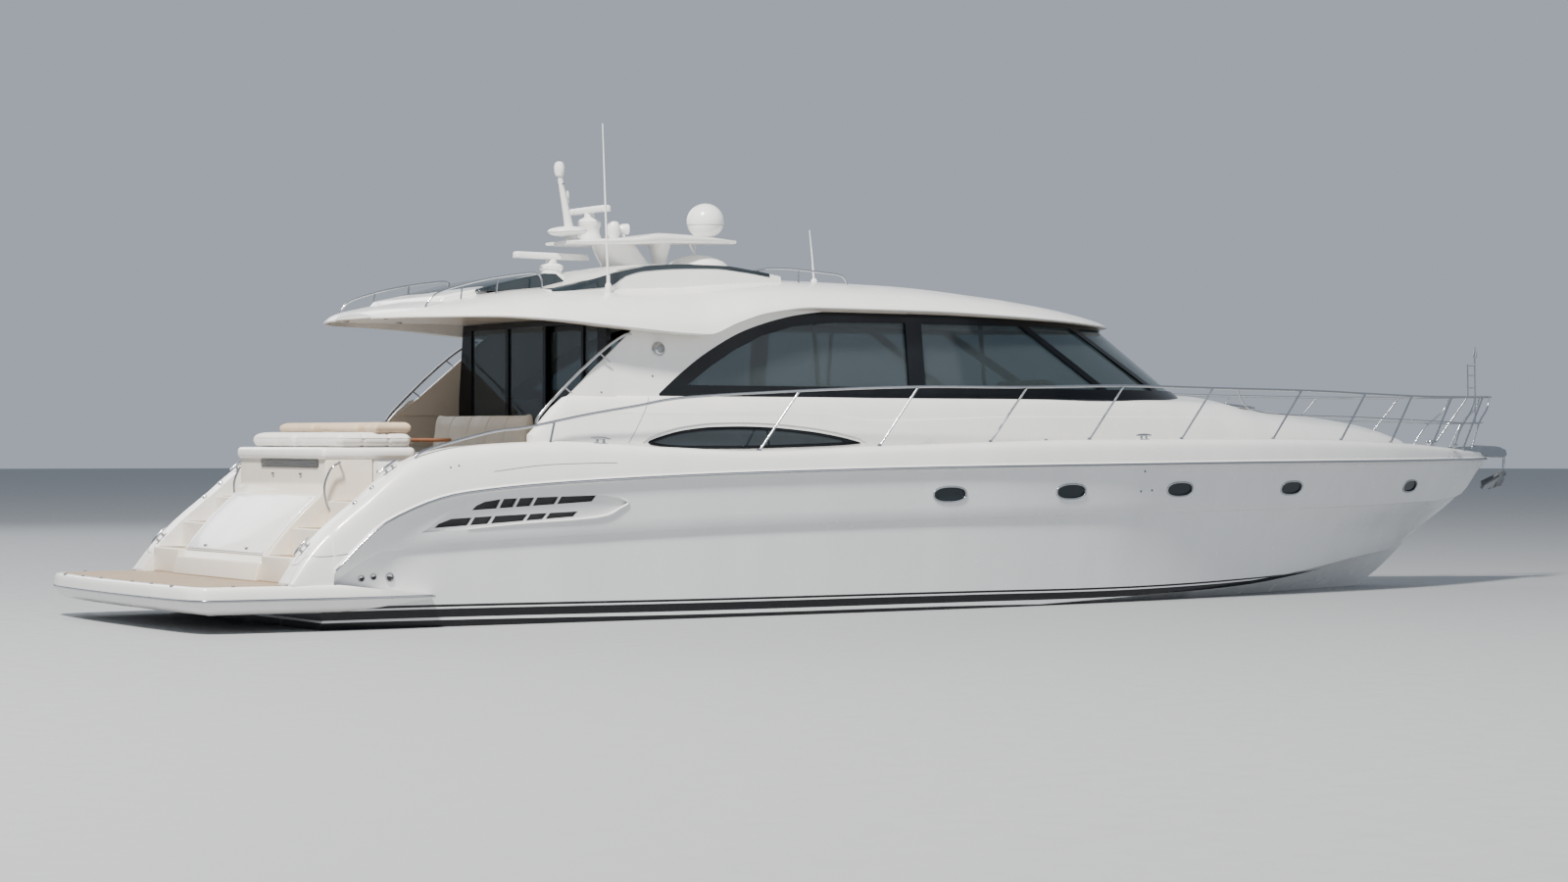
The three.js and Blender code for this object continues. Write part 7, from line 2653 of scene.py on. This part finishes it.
    def staff(self) -> None:
        """Stands the bow staff with its lamp on the pulpit."""
        poles = [pipe("staff", [(x, 0, 2.3 if x > 18.9 else 2.65), (x, 0, 2.69), (x - 0.01, 0, top)],
            0.011) for x, top in ((18.985, 3.24), (18.845, 3.14))]
        ties = [pipe("tie", [(18.84, 0, z), (18.985, 0, z)], 0.007) for z in (2.8, 2.98, 3.12)]
        braces = [pipe("brace", [(x, -y, 2.662), (x, 0, 2.668), (x, y, 2.662)], 0.011)
            for x, y in ((18.985, 0.158), (18.845, 0.208))]
        lamp = smooth(turned("lamp", [(0, 0), (0.028, 0), (0.034, 0.012), (0.03, 0.05), (0.02, 0.1),
            (0.006, 0.17), (0, 0.172)], (18.975, 0, 3.235), sides=24))
        fit(joined("bow_staff", [*poles, *ties, *braces, lamp]), STEEL)

    def cleat(self, name: str, place: Point, turn: float, rise: float) -> None:
        """Builds one cleat with two horns on the deck's edge, turned and laid on its slope.

        Args:
            name: The piece's name.
            place: Its foot's middle.
            turn: Its turn about the upright axis, in degrees.
            rise: The deck's slope, in degrees.
        """
        x, y, z = place
        horns = pipe("horns",
            fair([(x - 0.13, y, z + 0.05), (x - 0.06, y, z + 0.056), (x, y, z + 0.056),
            (x + 0.06, y, z + 0.056), (x + 0.13, y, z + 0.05)], 3),
            [r for r, in fair([(0.008,), (0.015,), (0.017,), (0.015,), (0.008,)], 3)])
        legs = [pipe("leg", [(x + d, y, z - 0.012), (x + d * 0.9, y, z + 0.056)], [0.018, 0.012])
            for d in (-0.045, 0.045)]
        bed = block("bed", (x - 0.085, y - 0.024, z - 0.014), (x + 0.085, y + 0.024, z + 0.004), 0.005, 2)
        whole = joined("cleat", [horns, *legs, bed])
        made = copied(whole, name, turn=turn, tilt=rise, centre=place)
        bpy.data.objects.remove(whole)
        fit(made, STEEL)


@dataclass
class SmallFittings:
    """Eyes, drains, lights and joint lines on the mouldings."""

    # The first eye keeps 2 mm off the bulwark's edge, so that both sides take the same face.
    eyes: tuple[Point, ...] = ((9.5725, 2.2886, 2.042), (14.67, 1.57, 2.06), (0.578, 2.2, 1.554),
        (0.358, 2.2, 1.418))
    drains: tuple[Point, ...] = ((1.435, 2.36, 1.739), (1.533, 2.36, 1.756), (17.79, 0.72, 1.812),
        (17.97, 0.63, 1.811))
    outlets: tuple[Point, ...] = ((11.06, 2.38, 1.389), (11.25, 2.36, 1.401), (11.07, 2.38, 1.657))
    studs: tuple[Point, ...] = ((4.217, 2.02, 2.797), (3.526, 2.02, 2.6))
    joints: tuple[tuple[Point, ...], ...] = (((-0.385, 2.12, 0.765), (-0.345, 2.28, 0.771),
        (-0.13, 2.34, 0.795), (0.12, 2.41, 0.818), (0.4, 2.45, 0.865)),
        ((1.946, 2.35, 1.691), (2.545, 2.37, 1.759), (3.155, 2.38, 1.778), (3.47, 2.38, 1.777)),
        ((4.14, 2.02, 2.56), (4.053, 2.1, 2.426), (3.874, 2.2, 2.176), (3.76, 2.24, 2.02)))
    slot: tuple[Point, ...] = ((1.205, 2.4, 1.425), (1.34, 2.41, 1.452), (1.474, 2.41, 1.47))
    light: Point = (4.317, 1.97, 3.108)

    def build(self) -> None:
        """Builds the fittings on both sides."""
        deck, hull = bpy.data.objects["deck_moulding"], bpy.data.objects["hull_shell"]
        for name, sign in SIDES.items():
            wing = bpy.data.objects[f"cabin_wing_{name}"]
            for kind, piece, places, size, finish in (("deck_eyes", deck, self.eyes, (0.03, 0.022), STEEL),
                    ("deck_drains", deck, self.drains, (0.011, 0.003), GREY),
                    ("side_drains", hull, self.outlets, (0.014, 0.005), GREY),
                    ("wing_studs", wing, self.studs, (0.012, 0.006), GREY)):
                made = [self.stud(piece, (x, sign * y, z), *size) for x, y, z in places]
                fit(joined(f"{kind}_{name}", made), finish)
            lines = [pipe("joint", place_on(deck, on_side(sign, fair(line, 8)), 0.0005), 0.003)
                for line in self.joints[:2]]
            house = bpy.data.objects["deckhouse_moulding"]
            lines.append(pipe("joint", place_on(house, on_side(sign, fair(self.joints[2], 8)), 0.0005),
                0.003))
            fit(joined(f"joint_lines_{name}", lines), GREY)
            slot = place_on(deck, on_side(sign, fair(self.slot, 5)), 0.0)
            fit(pipe(f"side_slot_{name}", slot, 0.008), RUBBER)
            self.wing_light(name, wing, sign)

    def stud(self, piece: Object, near: Point, radius: float, height: float) -> Object:
        """Returns a low round stud on a piece's surface.

        Args:
            piece: The piece it sits on.
            near: A point near it.
            radius: Its radius.
            height: Its height.

        Returns:
            The stud.
        """
        _, spot, normal, _ = piece.closest_point_on_mesh(Vector(near))
        profile = [(0, -0.004), (radius, -0.004), (radius, height * 0.6), (radius * 0.75, height),
            (0, height)]
        return smooth(turned("stud", profile, tuple(spot), tuple(normal), 20))

    def wing_light(self, name: str, wing: Object, side: float) -> None:
        """Fits the round bright light on the wing.

        Args:
            name: The side's name.
            wing: The wing it sits on.
            side: 1 for port and -1 for starboard.
        """
        x, y, z = self.light
        _, spot, normal, _ = wing.closest_point_on_mesh(Vector((x, side * y, z)))
        profile = [(0, -0.004), (0.088, -0.004), (0.088, 0.006), (0.08, 0.014), (0.072, 0.016),
            (0.07, 0.034), (0.06, 0.052), (0.048, 0.06), (0.046, 0.052), (0.03, 0.058), (0.014, 0.062),
            (0, 0.062)]
        piece = smooth(turned(f"wing_light_{name}", profile, tuple(spot), tuple(normal), 36), 50)
        dress(piece, STEEL, LENS,
            rule=lambda face: int((Vector(face.center) - spot).cross(normal).length < 0.04))
        fit(piece, None)


# Gear under water
@dataclass
class RunningGear:
    """The engines, shafts, propellers, rudders and trim tabs."""

    drive_y: float = 0.9
    propeller: tuple[float, float] = (0.62, -0.885)
    shaft_end: tuple[float, float] = (2.9, -0.56)
    blade_rows: tuple[tuple[float, float, float], ...] = ((0.04, 0.12, 0.03), (0.075, 0.165, 0.026),
        (0.11, 0.2, 0.022), (0.15, 0.232, 0.019), (0.19, 0.25, 0.016), (0.225, 0.24, 0.013),
        (0.26, 0.205, 0.011), (0.285, 0.155, 0.009), (0.302, 0.1, 0.007), (0.31, 0.062, 0.006))
    pitch: float = 0.62

    def build(self) -> None:
        """Builds both sides' gear."""
        for name, sign in SIDES.items():
            self.shaft(name, sign)
            self.screw(name, sign)
            self.rudder(name, sign)
            self.tab(name, sign)
            self.engine(name, sign)

    def height(self, x: float) -> float:
        """Returns the shaft's height at x."""
        (x0, z0), (x1, z1) = self.propeller, self.shaft_end
        return z0 + (z1 - z0) * (x - x0) / (x1 - x0)

    def axes(self) -> tuple[Vector, Vector]:
        """Returns the way along the raked shaft, and the way square to it that points up."""
        slope = math.atan2(self.shaft_end[1] - self.propeller[1], self.shaft_end[0] - self.propeller[0])
        return Vector((math.cos(slope), 0, math.sin(slope))), Vector((-math.sin(slope), 0, math.cos(slope)))

    def shaft(self, name: str, side: float) -> None:
        """Builds the shaft with its bearing, strut and stern tube.

        Args:
            name: The side's name.
            side: 1 for port and -1 for starboard.
        """
        y, start = side * self.drive_y, self.propeller[0] + 0.099
        rod = pipe("rod", [(start, y, self.height(start)), (2.9, y, -0.56)], 0.036, detail=6)
        bearing = pipe("bearing",
            [(start, y, self.height(start)), (start + 0.03, y, self.height(start + 0.03)),
            (start + 0.2, y, self.height(start + 0.2)), (start + 0.23, y, self.height(start + 0.23))],
            [0.05, 0.062, 0.062, 0.05], detail=6)
        outline = fair([(start + 0.02, y), (start + 0.06, y - 0.014), (start + 0.12, y - 0.016),
            (start + 0.2, y)], 4)
        mirror = [(x, 2 * y - w) for x, w in reversed(outline[1:-1])]
        strut = slab("strut", [*outline, *mirror], self.height(start + 0.1), -0.45)
        tube = pipe("stern_tube", [(2.2, y, self.height(2.2)), (2.25, y, self.height(2.25)),
            (2.8, y, self.height(2.8))], [0.045, 0.07, 0.07], detail=6)
        whole = smooth(joined(f"shaft_line_{name}", [rod, bearing, strut, tube]), 40)
        fit(whole, BRONZE, f"shaft_{name}")

    def screw(self, name: str, side: float) -> None:
        """Builds one propeller: four skewed blades on a hub, along the raked shaft.

        Args:
            name: The side's name.
            side: 1 for port and -1 for starboard.
        """
        centre = Vector((self.propeller[0], side * self.drive_y, self.propeller[1]))
        along, up = self.axes()
        hub = smooth(turned("hub", [(0, -0.1), (0.02, -0.098), (0.034, -0.09), (0.05, -0.066),
            (0.057, -0.05), (0.062, 0.05), (0.058, 0.09), (0.05, 0.0975), (0, 0.0975)], tuple(centre),
            tuple(along)), 40)
        section = [(-0.5, 0.0), (-0.42, 0.28), (-0.17, 0.5), (0.12, 0.55), (0.33, 0.42), (0.46, 0.2),
            (0.5, 0.0), (0.4, -0.2), (0.25, -0.3), (0.0, -0.35), (-0.25, -0.32), (-0.42, -0.2)]
        blades, beam = [], Vector((0, 1, 0))
        for k in range(4):
            turn_c, turn_s = math.cos(math.pi / 2 * k), math.sin(math.pi / 2 * k)
            rings = []
            for r, chord, thick in self.blade_rows:
                angle = math.atan(self.pitch / (2 * math.pi * max(r, 0.07))) * side
                c, q = math.cos(angle), math.sin(angle)
                skew = (r / self.blade_rows[-1][0]) ** 2 * 0.034 * side
                ring = []
                for u, v in section:
                    tangent, axial = skew + u * chord * c - v * thick * q, u * chord * q + v * thick * c
                    ring.append(tuple(centre + along * axial
                        + (beam * (r * turn_c - tangent * turn_s) - up * (r * turn_s + tangent * turn_c))))
                rings.append(ring)
            blades.append(smooth(skin("blade", rings), 50))
        whole = joined(f"screw_{name}", [hub, *blades])
        fit(whole, BRONZE, f"propeller_{name}", body=f"propeller_{name}")

    def rudder(self, name: str, side: float) -> None:
        """Builds one rudder with its stock.

        Args:
            name: The side's name.
            side: 1 for port and -1 for starboard.
        """
        y, axis = side * self.drive_y, 0.17
        rows = ((-1.23, 0.068, -0.188, 0.01), (-1.222, 0.072, -0.196, 0.014),
            (-1.05, 0.092, -0.225, 0.017), (-0.9, 0.11, -0.25, 0.02), (-0.72, 0.122, -0.265, 0.022),
            (-0.58, 0.13, -0.275, 0.024), (-0.573, 0.128, -0.272, 0.02))
        rings = []
        for z, fore, aft, thick in rows:
            span = fore - aft
            wave = [(fore, 0.0), (fore - span * 0.04, 0.55), (fore - span * 0.14, 0.9),
                (fore - span * 0.3, 1.0), (fore - span * 0.6, 0.75), (aft + 0.01, 0.22), (aft, 0.12)]
            port = [(axis + x, y + thick * w, z) for x, w in wave]
            rings.append([*port, *[(x, 2 * y - w, h) for x, w, h in reversed(port[1:])]])
        blade = smooth(skin("blade", rings), 40)
        stock = pipe("stock", [(axis, y, -0.86), (axis, y, -0.5286)], 0.029, detail=6)
        whole = joined(f"rudder_blade_{name}", [blade, stock])
        fit(whole, BRONZE, f"rudder_{name}", body=f"rudder_{name}")

    def bottom(self, y: float) -> float:
        """Returns the height of the hull's bottom at the transom, at a breadth y.

        Args:
            y: The half breadth.

        Returns:
            The height.
        """
        foot = HULL.at(0)
        slope = (foot["chine_z"] - 0.014 - foot["keel_z"]) / (foot["chine_y"] - 0.11 - 0.028)
        return foot["keel_z"] + (y - 0.028) * slope

    def plate(self, side: float, breadths: Point, places: Point, heights: Point) -> Object:
        """Returns a plate that follows the hull's bottom.

        Args:
            side: 1 for port and -1 for starboard.
            breadths: Its inner and outer half breadth.
            places: Where it starts and ends along the boat.
            heights: Its lower and upper face over the bottom's line.

        Returns:
            The plate.
        """
        (low, high), (under, over) = breadths, heights
        corners = ((low, under), (high, under), (high, over), (low, over))
        return skin("plate", [[(x, side * y, self.bottom(y) + up) for y, up in corners] for x in places])

    def tab(self, name: str, side: float) -> None:
        """Builds one trim tab with its hinge and ribs.

        Args:
            name: The side's name.
            side: 1 for port and -1 for starboard.
        """
        base = soften(self.plate(side, (1.28, 1.96), (-0.012, -0.319), (0.006, 0.016)), 0.002, 2)
        ribs = [self.plate(side, (y, y + 0.012), (-0.02, -0.3), (0.0155, 0.0218))
            for y in (1.34, 1.56, 1.68, 1.89)]
        hinge = pipe("hinge", [(-0.012, side * y, self.bottom(y) + 0.014) for y in (1.3, 1.94)], 0.011)
        fit(joined(f"trim_plate_{name}", [base, *ribs, hinge]), STEEL, f"trim_tab_{name}",
            body=f"trim_tab_{name}")

    def engine(self, name: str, side: float) -> None:
        """Rounds the plain engine block, with its heads and sump.

        Args:
            name: The side's name.
            side: 1 for port and -1 for starboard.
        """
        y = side * self.drive_y
        low, high = sorted((y - side * 0.45, y + side * 0.25))
        core = block("core", (2.46, low + 0.13, -0.3), (4.39, high - 0.13, 0.45), 0.03, 4)
        heads = [block("head", (2.62, y0, 0.2), (4.25, y0 + 0.2, 0.6), 0.04, 4)
            for y0 in (low + 0.02, high - 0.22)]
        sump = block("sump", (2.7, low + 0.2, -0.42), (4.1, high - 0.2, -0.25), 0.03, 3)
        whole = smooth(joined(f"engine_block_{name}", [core, *heads, sump]), 35)
        fit(whole, MACHINE, f"engine_{name}")


# Studio
@dataclass
class Studio:
    """Pale floor and world, soft light from the starboard quarter, and the photograph's camera."""

    place: tuple[float, float, float] = (-13.72, -33.92, 2.08)
    heading: float = 31.68
    pitch: float = -0.06
    lens: float = 72.94
    sky: Point = (0.78, 0.87, 1.0)
    brightness: float = 0.5

    def build(self) -> None:
        """Makes floor, world, lights and camera."""
        self.floor()
        self.world()
        self.light("key_light", (-17, -17, 38), (8, -1, 2), 50000, 6, (1.0, 0.965, 0.91))
        self.light("side_fill", (22, -34, 10), (9, 0, 2), 1200, 20, (0.94, 0.97, 1.0))
        self.light("port_fill", (4, 34, 18), (8, 0, 2), 3500, 20, (0.96, 0.98, 1.0))
        self.camera()

    def floor(self) -> None:
        """Lays the floor at the waterline."""
        piece = turned("floor", [(0.0, -0.05), (180.0, -0.05), (180.0, 0.0), (0.0, 0.0)], (9, 0, 0),
            sides=96)
        dress(piece, FLOOR_PAINT)

    def world(self) -> None:
        """Sets the pale world."""
        world = bpy.data.worlds.new("studio")
        world.use_nodes = True
        world.node_tree.nodes["Background"].inputs["Color"].default_value = (*self.sky, 1)
        world.node_tree.nodes["Background"].inputs["Strength"].default_value = self.brightness
        bpy.context.scene.world = world

    def light(self, name: str, place: Point, aim: Point, power: float, size: float, colour: Point) -> None:
        """Hangs a large soft lamp that looks at a point.

        Args:
            name: The lamp's name.
            place: Where it hangs.
            aim: The point it looks at.
            power: Its power in watts.
            size: Its width.
            colour: Its colour.
        """
        deselect()
        bpy.ops.object.light_add(type="AREA", location=place)
        lamp = bpy.context.object
        lamp.name = name
        lamp.rotation_euler = (Vector(aim) - Vector(place)).to_track_quat("-Z", "Y").to_euler()
        lamp.data.shape = "DISK"
        lamp.data.energy, lamp.data.size, lamp.data.color = power, size, colour

    def camera(self) -> None:
        """Sets the camera where the photograph was taken from."""
        a, p = math.radians(self.heading), math.radians(self.pitch)
        look = Vector((math.sin(a) * math.cos(p), math.cos(a) * math.cos(p), math.sin(p)))
        bpy.ops.object.camera_add(location=self.place, rotation=look.to_track_quat("-Z", "Y").to_euler())
        camera = bpy.context.object
        camera.data.lens, camera.data.sensor_width = self.lens, 36
        camera.data.clip_start, camera.data.clip_end = 0.5, 800
        bpy.context.scene.camera = camera


def main() -> None:
    """Builds the yacht on the CAD frame."""
    logging.basicConfig(level=logging.INFO, format="%(name)s: %(message)s", stream=sys.stdout)
    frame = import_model()
    for part in (Studio, HullShell, RubRail, DeckMoulding, Deckhouse, Cabin, Hardtop, SwimPlatform, Stern,
            Cockpit, Bulkhead, Saloon, Mast, GuardRail, BowGear, SmallFittings, RunningGear):
        part().build()


if __name__ == "__main__":
    main()
